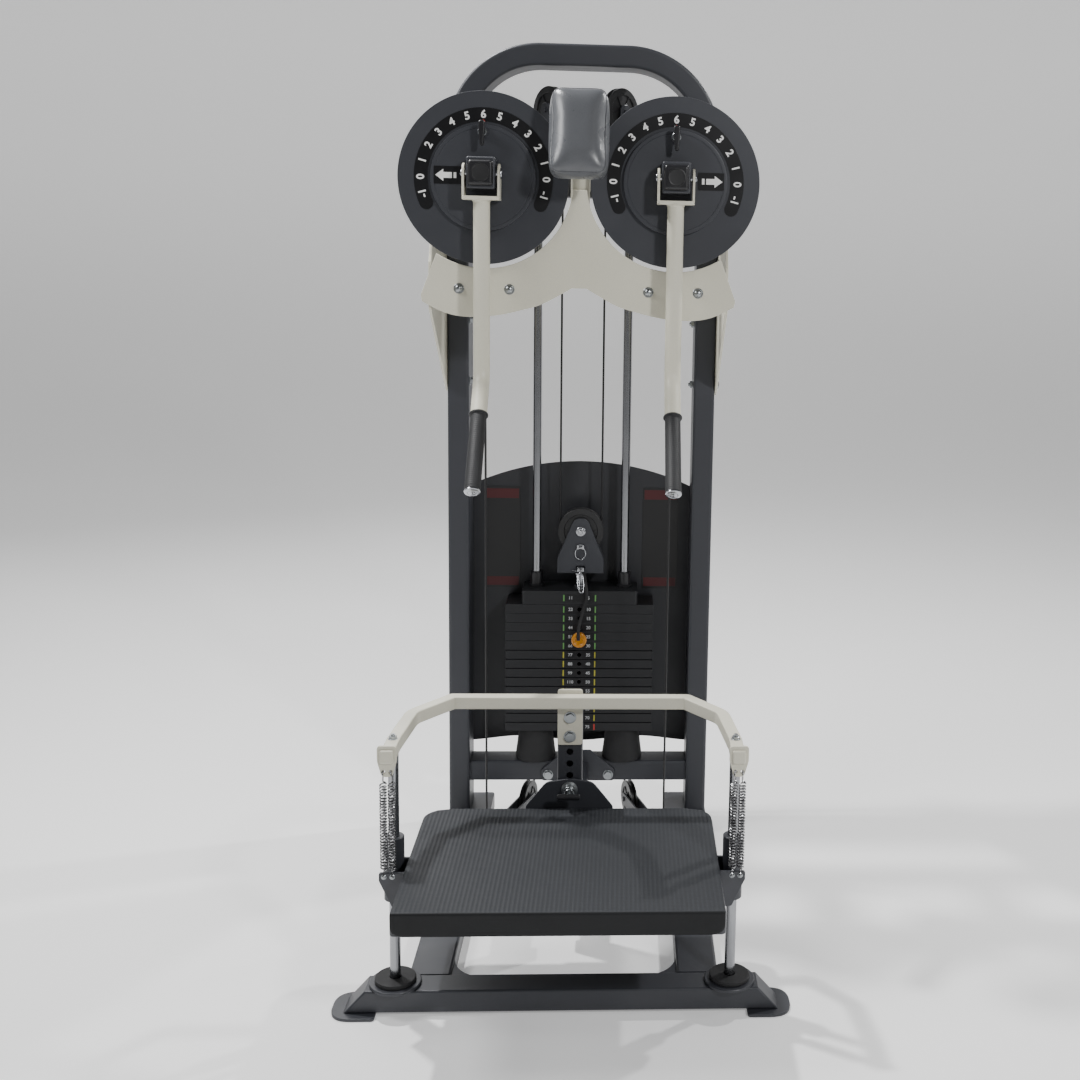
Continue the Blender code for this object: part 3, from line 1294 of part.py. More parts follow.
def platform_deck():
    """Pressed deck with its skirt, the sleeves on the rods, the spring anchors and the pin plate."""
    low = DECK_TOP - DECK_SKIRT
    deck = flat("deck", [deck_loop(0)], low, DECK_TOP, facing_up(0))
    deck = cut(deck, flat("hollow", [deck_loop(DECK_T)], low - 0.01, DECK_TOP - DECK_T, facing_up(0)))
    added = []
    edge = DECK_HALF - DECK_T / 2
    for side in (-1, 1):
        x = side * ROD_X
        added.append(cylinder("sleeve", (x, FRONT_Y, SLEEVE_LOW), (x, FRONT_Y, SLEEVE_TOP), SLEEVE_R, 20))
        tip = SPRING_LOW - FIT
        out = side * (SPRING_X + END_PLATE_W / 2)
        foot = SLEEVE_LOW + 0.004
        loop = [(side * edge, tip), (out, tip), (out, tip - 0.013), (side * (ROD_X - 0.008), foot),
                (side * (ROD_X - 0.016), foot), (side * edge, low + 0.001)]
        added.append(flat("anchor", [loop], -SPRING_Y - HANGER_T / 2, -SPRING_Y + HANGER_T / 2,
                          facing_front(0)))
        x0, x1 = sorted((side * edge, side * (ROD_X + 0.004)))
        added.append(block("shelf", x0, x1, SPRING_Y, FRONT_Y, low + 0.006, low + 0.012))
        added.append(block("web", x0, x1, FRONT_Y - 0.003, FRONT_Y + 0.003, low + 0.001, DECK_TOP - 0.001))
    upstand = rounded([(-UPSTAND_LOW_W / 2, low + 0.001), (UPSTAND_LOW_W / 2, low + 0.001),
                       (UPSTAND_LOW_W / 2, DECK_TOP + 0.012), (UPSTAND_TOP_W / 2, UPSTAND_TOP),
                       (-UPSTAND_TOP_W / 2, UPSTAND_TOP), (-UPSTAND_LOW_W / 2, DECK_TOP + 0.012)],
                      [0, 0, 0.012, 0.018, 0.018, 0.012], 4)
    rear = DECK_REAR + UPSTAND_T
    added.append(flat("upstand", [upstand], -rear, -DECK_REAR + 0.001, facing_front(0)))
    added.append(cylinder("barrel", (0, DECK_REAR + WELD, POST_PIN_Z),
                          (0, DECK_REAR - 0.018, POST_PIN_Z), 0.0105, 16))
    body = weld(deck, *added)
    bores = [cylinder("bore", (s * ROD_X, FRONT_Y, SLEEVE_LOW - 0.01),
                      (s * ROD_X, FRONT_Y, SLEEVE_TOP + 0.01), ROD_R + RUN, 20) for s in (-1, 1)]
    bores.append(cylinder("bore", (0, DECK_REAR - 0.06, POST_PIN_Z), (0, rear + 0.01, POST_PIN_Z),
                          DISC_PIN_R + RUN, 12))
    return finish(cut(body, *bores), "platform_deck", "frame", (0, rear, DECK_TOP))


def platform_mat():
    """Rubber mat on the deck, notched round the pin plate."""
    inset = 0.003
    notch = UPSTAND_LOW_W / 2 + 0.001
    low = DECK_TOP + FIT
    mat = flat("mat", [deck_loop(inset)], low, low + MAT_T, facing_up(0))
    gap = block("gap", -notch, notch, DECK_REAR - 0.002, DECK_REAR + 0.02, low - 0.01, low + 0.02)
    return finish(cut(mat, gap), "platform_mat", "rubber", (0, DECK_REAR, DECK_TOP))


def platform_pin():
    """Spring pin with a level T handle that holds the platform on the post."""
    z = POST_PIN_Z
    tip = POST_Y + POST_WALL + 0.006
    front = DECK_REAR - 0.018 - FIT
    pin = turned("pin", [(0, tip), (DISC_PIN_R - 0.001, tip), (DISC_PIN_R, tip - 0.0015),
                         (DISC_PIN_R, front), (0.0095, front), (0.0095, front - 0.006),
                         (0.004, front - 0.006), (0.004, front - 0.020), (0, front - 0.020)], 12,
                 (0, 0, z), (0, 1, 0))
    bar = block("bar", -0.026, 0.026, front - 0.027, front - 0.017, z - 0.005, z + 0.005)
    return finish(weld(bar, pin), "platform_pin", "black", (0, DECK_REAR, z))


def springs():
    """Four coil springs between the hand rail's end plates and the platform's anchors."""
    per_turn = 6
    count = SPRING_TURNS * per_turn
    low, high = SPRING_LOW + SPRING_WIRE, SPRING_TOP + 0.0094
    for side, word in ((-1, "left"), (1, "right")):
        for place, dx in (("inner", -SPRING_DX), ("outer", SPRING_DX)):
            x = side * (SPRING_X + dx)
            points = []
            for k in range(count + 1):
                turn = 2 * math.pi * k / per_turn
                points.append((x + SPRING_R * math.cos(turn), SPRING_Y + SPRING_R * math.sin(turn),
                               low + (SPRING_TOP - low) * k / count))
            points += [(x, SPRING_Y, SPRING_TOP + 0.002), (x, SPRING_Y, high)]
            coil = wire("coil", points, SPRING_WIRE, detail=0)
            finish(coil, "spring_%s_%s" % (place, word), "steel", (x, SPRING_Y, high), 60)


def platform():
    moving = [platform_deck(), platform_mat()]
    lift = pivot("platform_lift", (0, DECK_REAR, DECK_TOP), *moving)
    pull = pivot("platform_pin_slide", (0, DECK_REAR, POST_PIN_Z), platform_pin())
    pull.parent = lift
    pull.matrix_parent_inverse = lift.matrix_world.inverted()
    springs()


# ================================================================ shroud
def rear_shroud():
    """Sheet behind the stack, arched along its top and waved along its lower edge."""
    y = ARCH_Y + ARCH_D / 2 + FIT
    rise = SHROUD_TOP_Z - SHROUD_SIDE_Z
    half = SHROUD_HALF
    radius = (half * half + rise * rise) / (2 * rise)
    span = math.degrees(math.asin(half / radius))
    top = arc(0, SHROUD_TOP_Z - radius, radius, 90 - span, 90 + span, 12)
    lower = []
    count = 16
    for k in range(count + 1):
        x = -half + 2 * half * k / count
        wave = 0.012 * (1 - math.cos(2 * math.pi * (x / half))) / 2
        lower.append((x, SHROUD_LOW_Z + wave))
    sheet = flat("sheet", [top + lower], -y - SHROUD_T, -y, facing_front(0))
    return finish(sheet, "rear_shroud", "shroud")


def build():
    front_beam()
    base_rails()
    base_tie()
    frame_arch()
    stack_crossbeam()
    top_crossbeam()
    guide_rods()
    weight_stack()
    cables()
    fixed_pulleys()
    front_plate()
    side_plates()
    head_beam()
    head_unit()
    head_pad()
    pad_bracket()
    rods()
    hand_rail()
    height_post()
    platform()
    rear_shroud()


build()
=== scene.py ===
"""Looks of a standing lateral-raise station: discs, levers, weight stack, cables, pad and platform."""

from __future__ import annotations

import json
import logging
import math
from collections.abc import Iterable, Sequence
from dataclasses import dataclass, field
from enum import Enum

import bmesh
import bpy
import numpy as np
from mathutils import Matrix, Vector

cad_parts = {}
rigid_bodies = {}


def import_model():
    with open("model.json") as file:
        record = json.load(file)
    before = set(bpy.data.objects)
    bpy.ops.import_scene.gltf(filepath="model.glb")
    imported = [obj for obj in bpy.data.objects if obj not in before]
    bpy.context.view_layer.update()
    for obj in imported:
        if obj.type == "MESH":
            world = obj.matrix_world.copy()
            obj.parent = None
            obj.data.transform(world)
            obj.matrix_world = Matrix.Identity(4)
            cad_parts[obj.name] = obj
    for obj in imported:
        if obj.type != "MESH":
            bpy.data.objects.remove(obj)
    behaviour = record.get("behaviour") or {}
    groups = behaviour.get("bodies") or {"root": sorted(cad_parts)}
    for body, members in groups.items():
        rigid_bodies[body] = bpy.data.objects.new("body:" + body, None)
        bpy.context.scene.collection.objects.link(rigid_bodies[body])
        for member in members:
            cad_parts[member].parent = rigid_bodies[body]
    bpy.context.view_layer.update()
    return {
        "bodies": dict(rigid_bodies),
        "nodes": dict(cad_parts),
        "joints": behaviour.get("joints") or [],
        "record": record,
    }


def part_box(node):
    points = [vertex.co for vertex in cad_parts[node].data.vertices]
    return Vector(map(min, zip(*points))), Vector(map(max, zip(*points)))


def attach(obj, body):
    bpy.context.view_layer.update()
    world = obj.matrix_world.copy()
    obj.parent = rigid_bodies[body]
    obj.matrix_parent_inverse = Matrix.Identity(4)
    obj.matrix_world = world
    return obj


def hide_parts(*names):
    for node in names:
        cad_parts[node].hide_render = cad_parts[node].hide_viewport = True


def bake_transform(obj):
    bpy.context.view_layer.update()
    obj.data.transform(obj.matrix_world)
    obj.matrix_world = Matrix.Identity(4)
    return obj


log = logging.getLogger("station")

Point = Sequence[float]
Loop = list[tuple[float, float]]
Colour = tuple[float, float, float]


class Side(Enum):
    """The two halves of the machine."""

    LEFT = -1
    RIGHT = 1

    @property
    def word(self) -> str:
        """The side's name in node and body names."""
        return self.name.lower()


# ---------------------------------------------------------------- shader expressions
class Wire:
    """A shader socket that adds Math nodes when it is used in an expression."""

    def __init__(self, shade: Shade, socket: bpy.types.NodeSocket) -> None:
        """Wraps one output socket.

        Args:
            shade: the material that the socket belongs to.
            socket: the output socket.
        """
        self.shade = shade
        self.socket = socket

    def _math(self, operation: str, first: Wire | float, second: Wire | float) -> Wire:
        """One Math node.

        Args:
            operation: the node's operation.
            first: the first value.
            second: the second value.

        Returns:
            The node's result.
        """
        return self.shade.node("ShaderNodeMath", {"operation": operation}, {0: first, 1: second})

    def __add__(self, other: Wire | float) -> Wire:
        """Sum."""
        return self._math("ADD", self, other)

    __radd__ = __add__

    def __sub__(self, other: Wire | float) -> Wire:
        """Difference."""
        return self._math("SUBTRACT", self, other)

    def __rsub__(self, other: Wire | float) -> Wire:
        """Reflected difference."""
        return self._math("SUBTRACT", other, self)

    def __mul__(self, other: Wire | float) -> Wire:
        """Product."""
        return self._math("MULTIPLY", self, other)

    __rmul__ = __mul__

    def __gt__(self, other: Wire | float) -> Wire:
        """1 where this is the greater."""
        return self._math("GREATER_THAN", self, other)

    def wave(self) -> Wire:
        """Sine."""
        return self._math("SINE", self, 0.0)


class Shade:
    """One material's node tree with a Principled shader."""

    def __init__(self, name: str) -> None:
        """Makes the material.

        Args:
            name: the material's name.
        """
        self.material = bpy.data.materials.new(name)
        self.material.use_nodes = True
        self.tree = self.material.node_tree
        self.shader = self.tree.nodes["Principled BSDF"]

    def node(self, kind: str, settings: dict | None = None, inputs: dict | None = None,
             out: int | str = 0) -> Wire:
        """Adds one node.

        Args:
            kind: the node's type.
            settings: its attributes; "ramp" holds a colour ramp's stops.
            inputs: values or wires by socket name or number.
            out: the output that is returned.

        Returns:
            The chosen output.
        """
        made = self.tree.nodes.new(kind)
        for key, value in (settings or {}).items():
            if key == "ramp":
                self._stops(made.color_ramp, value)
            else:
                setattr(made, key, value)
        for key, value in (inputs or {}).items():
            self.feed(made.inputs[key], value)
        return Wire(self, made.outputs[out])

    @staticmethod
    def _stops(ramp: bpy.types.ColorRamp, stops: Sequence[tuple[float, Colour]]) -> None:
        """Sets a ramp's stops.

        Args:
            ramp: the colour ramp.
            stops: (position, colour) pairs.
        """
        while len(ramp.elements) < len(stops):
            ramp.elements.new(1.0)
        for element, (place, colour) in zip(ramp.elements, stops):
            element.position = place
            element.color = (*colour, 1.0)

    def feed(self, socket: bpy.types.NodeSocket, value: Wire | float | Sequence[float]) -> None:
        """Links a wire to a socket, or sets the socket's value.

        Args:
            socket: the input socket.
            value: a wire, a number or a vector.
        """
        if isinstance(value, Wire):
            self.tree.links.new(value.socket, socket)
        elif isinstance(value, (int, float)):
            socket.default_value = value
        else:
            size = len(socket.default_value)
            socket.default_value = (*value, 1.0)[:size] if len(value) < size else tuple(value)

    def surface(self, **values: Wire | float | Sequence[float]) -> bpy.types.Material:
        """Sets the shader's inputs, named with _ for a space.

        Args:
            **values: a value or a wire for each input.

        Returns:
            The material.
        """
        for key, value in values.items():
            self.feed(self.shader.inputs[key.replace("_", " ")], value)
        return self.material

    def place(self, scale: Sequence[float] = (1, 1, 1), uv: bool = False,
              turn: Sequence[float] = (0, 0, 0)) -> Wire:
        """Object coordinates, or the piece's UV map, through a Mapping node.

        Args:
            scale: the mapping's scale.
            uv: reads the UV map.
            turn: the mapping's rotation.

        Returns:
            The mapped vector.
        """
        source = self.node("ShaderNodeTexCoord", out="UV" if uv else "Object")
        return self.node("ShaderNodeMapping", {}, {"Vector": source, "Scale": scale, "Rotation": turn})

    def noise(self, scale: float, detail: float = 4.0, where: Wire | None = None, rough: float = 0.55) -> Wire:
        """Noise from 0 to 1.

        Args:
            scale: its scale per metre.
            detail: its octaves.
            where: the coordinates, by default the object's.
            rough: the octaves' roughness.

        Returns:
            The noise value.
        """
        return self.node("ShaderNodeTexNoise", {}, {"Vector": where or self.place(), "Scale": scale,
                                                    "Detail": detail, "Roughness": rough})

    def blend(self, mask: Wire | float, first: Wire | Sequence[float],
              second: Wire | Sequence[float]) -> Wire:
        """Mixes two colours by a mask.

        Args:
            mask: 0 for the first, 1 for the second.
            first: a colour.
            second: a colour.

        Returns:
            The mixed colour.
        """
        mixed = self.tree.nodes.new("ShaderNodeMix")
        mixed.data_type = "RGBA"
        for key, value in ((0, mask), (6, first), (7, second)):
            self.feed(mixed.inputs[key], value)
        return Wire(self, mixed.outputs[2])

    def bump(self, height: Wire, distance: float, strength: float = 1.0,
             under: Wire | None = None) -> Wire:
        """A bumped normal.

        Args:
            height: the height from 0 to 1.
            distance: the height of 1, in metres.
            strength: how much of it shows.
            under: a normal that this one is laid over.

        Returns:
            The normal.
        """
        inputs = {"Height": height, "Distance": distance, "Strength": strength}
        if under is not None:
            inputs["Normal"] = under
        return self.node("ShaderNodeBump", {}, inputs)

    def ramp(self, value: Wire, low: float, high: float) -> Wire:
        """A value stretched from low..high to 0..1 and clamped.

        Args:
            value: the value.
            low: the value that gives 0.
            high: the value that gives 1.

        Returns:
            The stretched value.
        """
        return self.node("ShaderNodeMapRange", {"interpolation_type": "SMOOTHSTEP"},
                         {"Value": value, "From Min": low, "From Max": high})


def shade(colour: Colour, amount: float) -> Colour:
    """A colour made lighter or darker.

    Args:
        colour: the colour.
        amount: the factor.

    Returns:
        The new colour.
    """
    return tuple(min(1.0, c * amount) for c in colour)


# ---------------------------------------------------------------- finishes
@dataclass(frozen=True)
class PowderCoat:
    """Sprayed and baked paint with a fine orange peel and faint dust."""

    name: str
    colour: Colour
    rough: float = 0.36
    metallic: float = 0.0
    peel: float = 0.00006
    dust: float = 0.10

    def make(self) -> bpy.types.Material:
        """Builds the material.

        Returns:
            The finished material.
        """
        s = Shade(self.name)
        cloud = s.noise(3.2, 5.0)
        grain = s.noise(900.0, 2.0)
        peel = s.noise(260.0, 2.0)
        soft = s.blend(cloud, shade(self.colour, 0.90), shade(self.colour, 1.08))
        tone = s.blend(s.ramp(grain, 0.35, 0.75) * 0.5, soft, shade(self.colour, 1.22))
        lint = s.ramp(s.noise(22.0, 8.0, rough=0.7), 0.55, 0.80) * self.dust
        colour = s.blend(lint, tone, shade(self.colour, 1.8 if self.colour[0] < 0.3 else 0.72))
        rough = s.noise(14.0, 6.0) * 0.14 + (self.rough - 0.07) + lint
        normal = s.bump(peel, self.peel, 0.6, s.bump(grain, self.peel * 0.4, 0.5))
        return s.surface(Base_Color=colour, Roughness=rough, Metallic=self.metallic, Normal=normal,
                         Specular_IOR_Level=0.5)


@dataclass(frozen=True)
class Plated:
    """Chrome or zinc plate with fine draw lines along one axis."""

    name: str
    colour: Colour
    rough: float
    lines: tuple[float, float, float] = (40.0, 40.0, 900.0)
    depth: float = 0.00002

    def make(self) -> bpy.types.Material:
        """Builds the material.

        Returns:
            The finished material.
        """
        s = Shade(self.name)
        streak = s.noise(1.0, 4.0, s.place(self.lines))
        smear = s.noise(9.0, 6.0)
        colour = s.blend(s.ramp(smear, 0.3, 0.8), shade(self.colour, 0.88), self.colour)
        rough = streak * 0.10 + smear * 0.10 + self.rough
        return s.surface(Base_Color=colour, Roughness=rough, Metallic=1.0,
                         Normal=s.bump(streak, self.depth, 0.35))


@dataclass(frozen=True)
class Rubber:
    """Matt black rubber or foam with a fine pebble."""

    name: str
    colour: Colour = (0.013, 0.013, 0.014)
    rough: float = 0.62
    pebble: float = 700.0
    depth: float = 0.00010

    def make(self) -> bpy.types.Material:
        """Builds the material.

        Returns:
            The finished material.
        """
        s = Shade(self.name)
        cells = s.node("ShaderNodeTexVoronoi", {"feature": "F1"},
                       {"Vector": s.place(), "Scale": self.pebble})
        bloom = s.ramp(s.noise(18.0, 7.0), 0.45, 0.85)
        colour = s.blend(bloom * 0.5, self.colour, shade(self.colour, 1.9))
        rough = s.noise(60.0, 4.0) * 0.15 + self.rough + bloom * 0.08
        return s.surface(Base_Color=colour, Roughness=rough, Normal=s.bump(cells, self.depth, 0.5))


@dataclass(frozen=True)
class Plastic:
    """Moulded plastic with a light grain."""

    name: str
    colour: Colour
    rough: float = 0.42
    grain: float = 500.0
    depth: float = 0.00005
    coat: float = 0.0

    def make(self) -> bpy.types.Material:
        """Builds the material.

        Returns:
            The finished material.
        """
        s = Shade(self.name)
        grain = s.noise(self.grain, 3.0)
        cloud = s.noise(12.0, 5.0)
        colour = s.blend(cloud, shade(self.colour, 0.85), shade(self.colour, 1.12))
        return s.surface(Base_Color=colour, Roughness=cloud * 0.12 + (self.rough - 0.06),
                         Normal=s.bump(grain, self.depth, 0.5), Coat_Weight=self.coat)


@dataclass(frozen=True)
class CastPlate:
    """Painted iron plate of the weight stack, with a coarse textured coat."""

    name: str
    colour: Colour = (0.0114, 0.0119, 0.0138)

    def make(self) -> bpy.types.Material:
        """Builds the material.

        Returns:
            The finished material.
        """
        s = Shade(self.name)
        coarse = s.noise(420.0, 5.0, rough=0.7)
        rub = s.ramp(s.noise(1.0, 4.0, s.place((30.0, 30.0, 260.0))), 0.55, 0.80)
        colour = s.blend(rub * 0.35, self.colour, shade(self.colour, 1.8))
        return s.surface(Base_Color=colour, Roughness=coarse * 0.2 + 0.42, Metallic=0.15,
                         Normal=s.bump(coarse, 0.00018, 0.6))


@dataclass(frozen=True)
class Vinyl:
    """Glossy upholstery vinyl with a leather grain and soft creases."""

    name: str
    colour: Colour = (0.092, 0.096, 0.104)

    def make(self) -> bpy.types.Material:
        """Builds the material.

        Returns:
            The finished material.
        """
        s = Shade(self.name)
        cells = s.node("ShaderNodeTexVoronoi", {"feature": "DISTANCE_TO_EDGE"},
                       {"Vector": s.place(), "Scale": 620.0})
        pores = s.ramp(cells, 0.0, 0.18)
        wear = s.noise(16.0, 6.0)
        colour = s.blend(pores * 0.6 + wear * 0.4, shade(self.colour, 0.72), shade(self.colour, 1.15))
        crease = s.noise(1.0, 3.0, s.place((30.0, 90.0, 30.0)))
        normal = s.bump(pores, 0.00008, 0.5, s.bump(crease, 0.0012, 0.10))
        return s.surface(Base_Color=colour, Roughness=wear * 0.08 + 0.24, Normal=normal, Specular_IOR_Level=0.6)


@dataclass(frozen=True)
class RibbedMat:
    """Ribbed rubber matting: narrow ribs along Y, broken by small cross bars."""

    name: str
    colour: Colour = (0.024, 0.026, 0.030)
    pitch: float = 0.0080
    edge_y: float = -0.5622

    def make(self) -> bpy.types.Material:
        """Builds the material.

        Returns:
            The finished material.
        """
        s = Shade(self.name)
        axes = s.node("ShaderNodeSeparateXYZ", {}, {"Vector": s.place()}, "X")
        along = Wire(s, axes.socket.node.outputs["Y"])
        rib = (axes * (2 * math.pi / self.pitch) + math.pi / 2).wave() * 0.5 + 0.5
        bars = (along * (2 * math.pi / (self.pitch * 0.62))).wave() * 0.5 + 0.5
        flat = along > self.edge_y
        height = (s.ramp(rib, 0.25, 0.85) * 0.55 + s.ramp(bars, 0.3, 0.7) * 0.25) * flat
        scuff = s.ramp(s.noise(7.0, 8.0, rough=0.65), 0.48, 0.75)
        # Mask of painted highlights: scattered glints on the rib crests.
        crest_glint_painted = s.ramp(s.noise(140.0, 3.0), 0.50, 0.72)
        # Painted shade and light: the colour follows the ribs' height, darker down in the grooves and lighter
        # on the tops.
        colour = s.blend(s.ramp(height, 0.1, 0.8), shade(self.colour, 0.90), shade(self.colour, 1.13))
        # Painted highlight: the rib crests are lightened in the glint spots.
        colour = s.blend(s.ramp(rib, 0.90, 1.0) * crest_glint_painted * flat * 0.45, colour, shade(self.colour, 1.9))
        colour = s.blend(scuff * 0.15, colour, shade(self.colour, 1.4))
        drag = s.ramp(s.noise(1.0, 5.0, s.place((14.0, 30.0, 420.0)), 0.7), 0.60, 0.78)
        # Painted shade: the rolled front lip is the same rubber, darkened for its front-facing side; the drag
        # streaks lighten it as wear.
        lip = s.blend(drag * 0.5, shade(self.colour, 0.28), shade(self.colour, 1.00))
        colour = s.blend(flat, lip, colour)
        grit = s.noise(800.0, 3.0)
        coarse = s.noise(160.0, 5.0, rough=0.7)
        under = s.bump(coarse, 0.0007, 0.5, s.bump(grit, 0.0001, 0.4))
        return s.surface(Base_Color=colour, Roughness=scuff * 0.12 + 0.58,
                         Normal=s.bump(height, 0.0004, 0.6, under), Specular_IOR_Level=0.28)


@dataclass(frozen=True)
class Amber:
    """Clear amber plastic of the selector knob."""

    name: str
    colour: Colour = (0.50, 0.20, 0.012)

    def make(self) -> bpy.types.Material:
        """Builds the material.

        Returns:
            The finished material.
        """
        s = Shade(self.name)
        swirl = s.noise(120.0, 4.0)
        colour = s.blend(swirl, shade(self.colour, 0.75), shade(self.colour, 1.15))
        return s.surface(Base_Color=colour, Roughness=swirl * 0.08 + 0.12, Coat_Weight=0.6,
                         Normal=s.bump(swirl, 0.0001, 0.2))


FRAME_GREY = (0.0350, 0.0370, 0.0440)
CREAM_WHITE = (0.595, 0.575, 0.475)


@dataclass
class Palette:
    """Every finish of the machine, made once."""

    made: dict[str, bpy.types.Material] = field(default_factory=dict)

    def build(self) -> None:
        """Makes all the materials."""
        kinds = [
            PowderCoat("frame_coat", FRAME_GREY, 0.42, 0.10),
            PowderCoat("cream_coat", CREAM_WHITE, 0.40, 0.0, 0.00004, 0.06),
            PowderCoat("shroud_coat", (0.022, 0.023, 0.027), 0.46, 0.0),
            Plated("chrome", (0.50, 0.51, 0.535), 0.12),
            # Painted shade: a darker copy of the chrome for the guide and platform rods, so that they reflect
            # less of the pale floor.
            Plated("rod_chrome", (0.31, 0.315, 0.33), 0.10),
            Plated("zinc", (0.36, 0.38, 0.39), 0.20, (300.0, 300.0, 300.0)),
            Plated("spring_wire", (0.36, 0.36, 0.37), 0.15, (500.0, 500.0, 500.0)),
            Rubber("buffer_rubber"),
            Rubber("grip_foam", (0.013, 0.0135, 0.015), 0.50, 1100.0, 0.00014),
            Plastic("pulley_nylon", (0.016, 0.016, 0.017), 0.40),
            Plastic("cable_jacket", (0.006, 0.006, 0.007), 0.50, 900.0, 0.00003),
            Plastic("black_cap", (0.012, 0.012, 0.014), 0.34),
            Plastic("band_black", (0.003, 0.003, 0.004), 0.34, 900.0, 0.00002),
            Plastic("ink_white", (0.78, 0.78, 0.77), 0.50),
            Plastic("ink_grey", (0.42, 0.43, 0.44), 0.50),
            Plastic("tab_green", (0.10, 0.27, 0.07), 0.50),
            Plastic("tab_yellow", (0.36, 0.33, 0.03), 0.50),
            Plastic("tab_red", (0.42, 0.03, 0.02), 0.50),
            Plastic("placard_red", (0.070, 0.008, 0.010), 0.45),
            Plastic("placard_grey", (0.009, 0.009, 0.010), 0.36),
            CastPlate("stack_iron"),
            Vinyl("pad_vinyl"),
            RibbedMat("deck_mat"),
            Amber("knob_amber"),
        ]
        for kind in kinds:
            self.made[kind.name] = kind.make()
            log.info("finish %s", kind.name)

    def __getitem__(self, name: str) -> bpy.types.Material:
        """The material of that name."""
        return self.made[name]


PALETTE = Palette()


# ---------------------------------------------------------------- mesh tools
def settle(obj: bpy.types.Object, angle: float = 32.0, weld: float = 1e-6) -> bpy.types.Object:
    """Merges doubles, turns the faces outward and sets smooth shading with sharp edges kept.

    Args:
        obj: a mesh object.
        angle: edges sharper than this many degrees stay sharp.
        weld: vertices closer than this merge.

    Returns:
        The same object.
    """
    shape = bmesh.new()
    shape.from_mesh(obj.data)
    bmesh.ops.remove_doubles(shape, verts=shape.verts, dist=weld)
    bmesh.ops.dissolve_degenerate(shape, edges=shape.edges, dist=1e-7)
    bmesh.ops.recalc_face_normals(shape, faces=shape.faces)
    shape.to_mesh(obj.data)
    shape.free()
    obj.data.shade_smooth()
    obj.data.set_sharp_from_angle(angle=math.radians(angle))
    return obj


def link(name: str, mesh: bpy.types.Mesh) -> bpy.types.Object:
    """Puts a mesh in the scene as an object.

    Args:
        name: the object's name.
        mesh: its mesh.

    Returns:
        The new object.
    """
    mesh.name = name
    obj = bpy.data.objects.new(name, mesh)
    bpy.context.scene.collection.objects.link(obj)
    return obj


def plain(obj: bpy.types.Object, name: str | None = None) -> bpy.types.Object:
    """Replaces an object by the mesh that it evaluates to, at the origin.

    Args:
        obj: any object with a surface.
        name: the new object's name.

    Returns:
        The mesh object.
    """
    name = name or obj.name
    bpy.context.view_layer.update()
    graph = bpy.context.evaluated_depsgraph_get()
    mesh = bpy.data.meshes.new_from_object(obj.evaluated_get(graph), depsgraph=graph)
    mesh.transform(obj.matrix_world)
    bpy.data.objects.remove(obj, do_unlink=True)
    return link(name, mesh)


def join(name: str, *parts: bpy.types.Object) -> bpy.types.Object:
    """Makes one object of several meshes that share a finish.

    Args:
        name: the object's name.
        *parts: the mesh objects, which are used up.

    Returns:
        The joined object.
    """
    shape = bmesh.new()
    for part in parts:
        shape.from_mesh(part.data)
        bpy.data.objects.remove(part, do_unlink=True)
    mesh = bpy.data.meshes.new(name)
    shape.to_mesh(mesh)
    shape.free()
    mesh.shade_smooth()
    mesh.set_sharp_from_angle(angle=math.radians(32))
    return link(name, mesh)


def carve(obj: bpy.types.Object, *cutters: bpy.types.Object) -> bpy.types.Object:
    """Cuts the cutters out of a mesh.

    Args:
        obj: the mesh object.
        *cutters: closed meshes; they are used up.

    Returns:
        The cut object.
    """
    name = obj.name
    tool = join("cutter", *cutters)
    made = obj.modifiers.new("cut", "BOOLEAN")
    made.operation, made.solver, made.object = "DIFFERENCE", "EXACT", tool
    result = plain(obj, name)
    bpy.data.objects.remove(tool, do_unlink=True)
    return settle(result, weld=2e-6)


def bows(cx: float, cy: float, r: float, a0: float, a1: float, count: int) -> Loop:
    """Points of an arc, from angle a0 to a1 in degrees."""
    turns = [math.radians(a0 + (a1 - a0) * k / count) for k in range(count + 1)]
    return [(cx + r * math.cos(t), cy + r * math.sin(t)) for t in turns]


def circle(cx: float, cy: float, r: float, count: int = 48) -> Loop:
    """Points of a full circle."""
    return bows(cx, cy, r, 0, 360, count)[:-1]


def fillet(points: Loop, radius: float | Sequence[float], steps: int = 5, closed: bool = True) -> Loop:
    """Rounds the corners of a polygon or an open line.

    Args:
        points: the corners.
        radius: one radius, or one for each corner.
        steps: spans in each rounded corner.
        closed: joins the last point to the first.

    Returns:
        The rounded line.
    """
    radii = [radius] * len(points) if isinstance(radius, (int, float)) else list(radius)
    out: Loop = []
    last = len(points) - 1
    for i, point in enumerate(points):
        here = Vector(point)
        if radii[i] <= 0 or (not closed and i in (0, last)):
            out.append(tuple(here))
            continue
        one = Vector(points[i - 1]) - here
        two = Vector(points[(i + 1) % len(points)]) - here
        span = one.angle(two, math.pi)
        if span > math.pi - 0.02:
            out.append(tuple(here))
            continue
        away = min(radii[i] / math.tan(span / 2), one.length * 0.49, two.length * 0.49)
        start, end = here + one.normalized() * away, here + two.normalized() * away
        for k in range(steps + 1):
            t = k / steps
            out.append(tuple(start * (1 - t) ** 2 + here * (2 * t * (1 - t)) + end * t * t))
    return out


def oblong(x0: float, y0: float, x1: float, y1: float, radius: float, steps: int = 6) -> Loop:
    """A rectangle with rounded corners."""
    return fillet([(x0, y0), (x1, y0), (x1, y1), (x0, y1)], radius, steps)


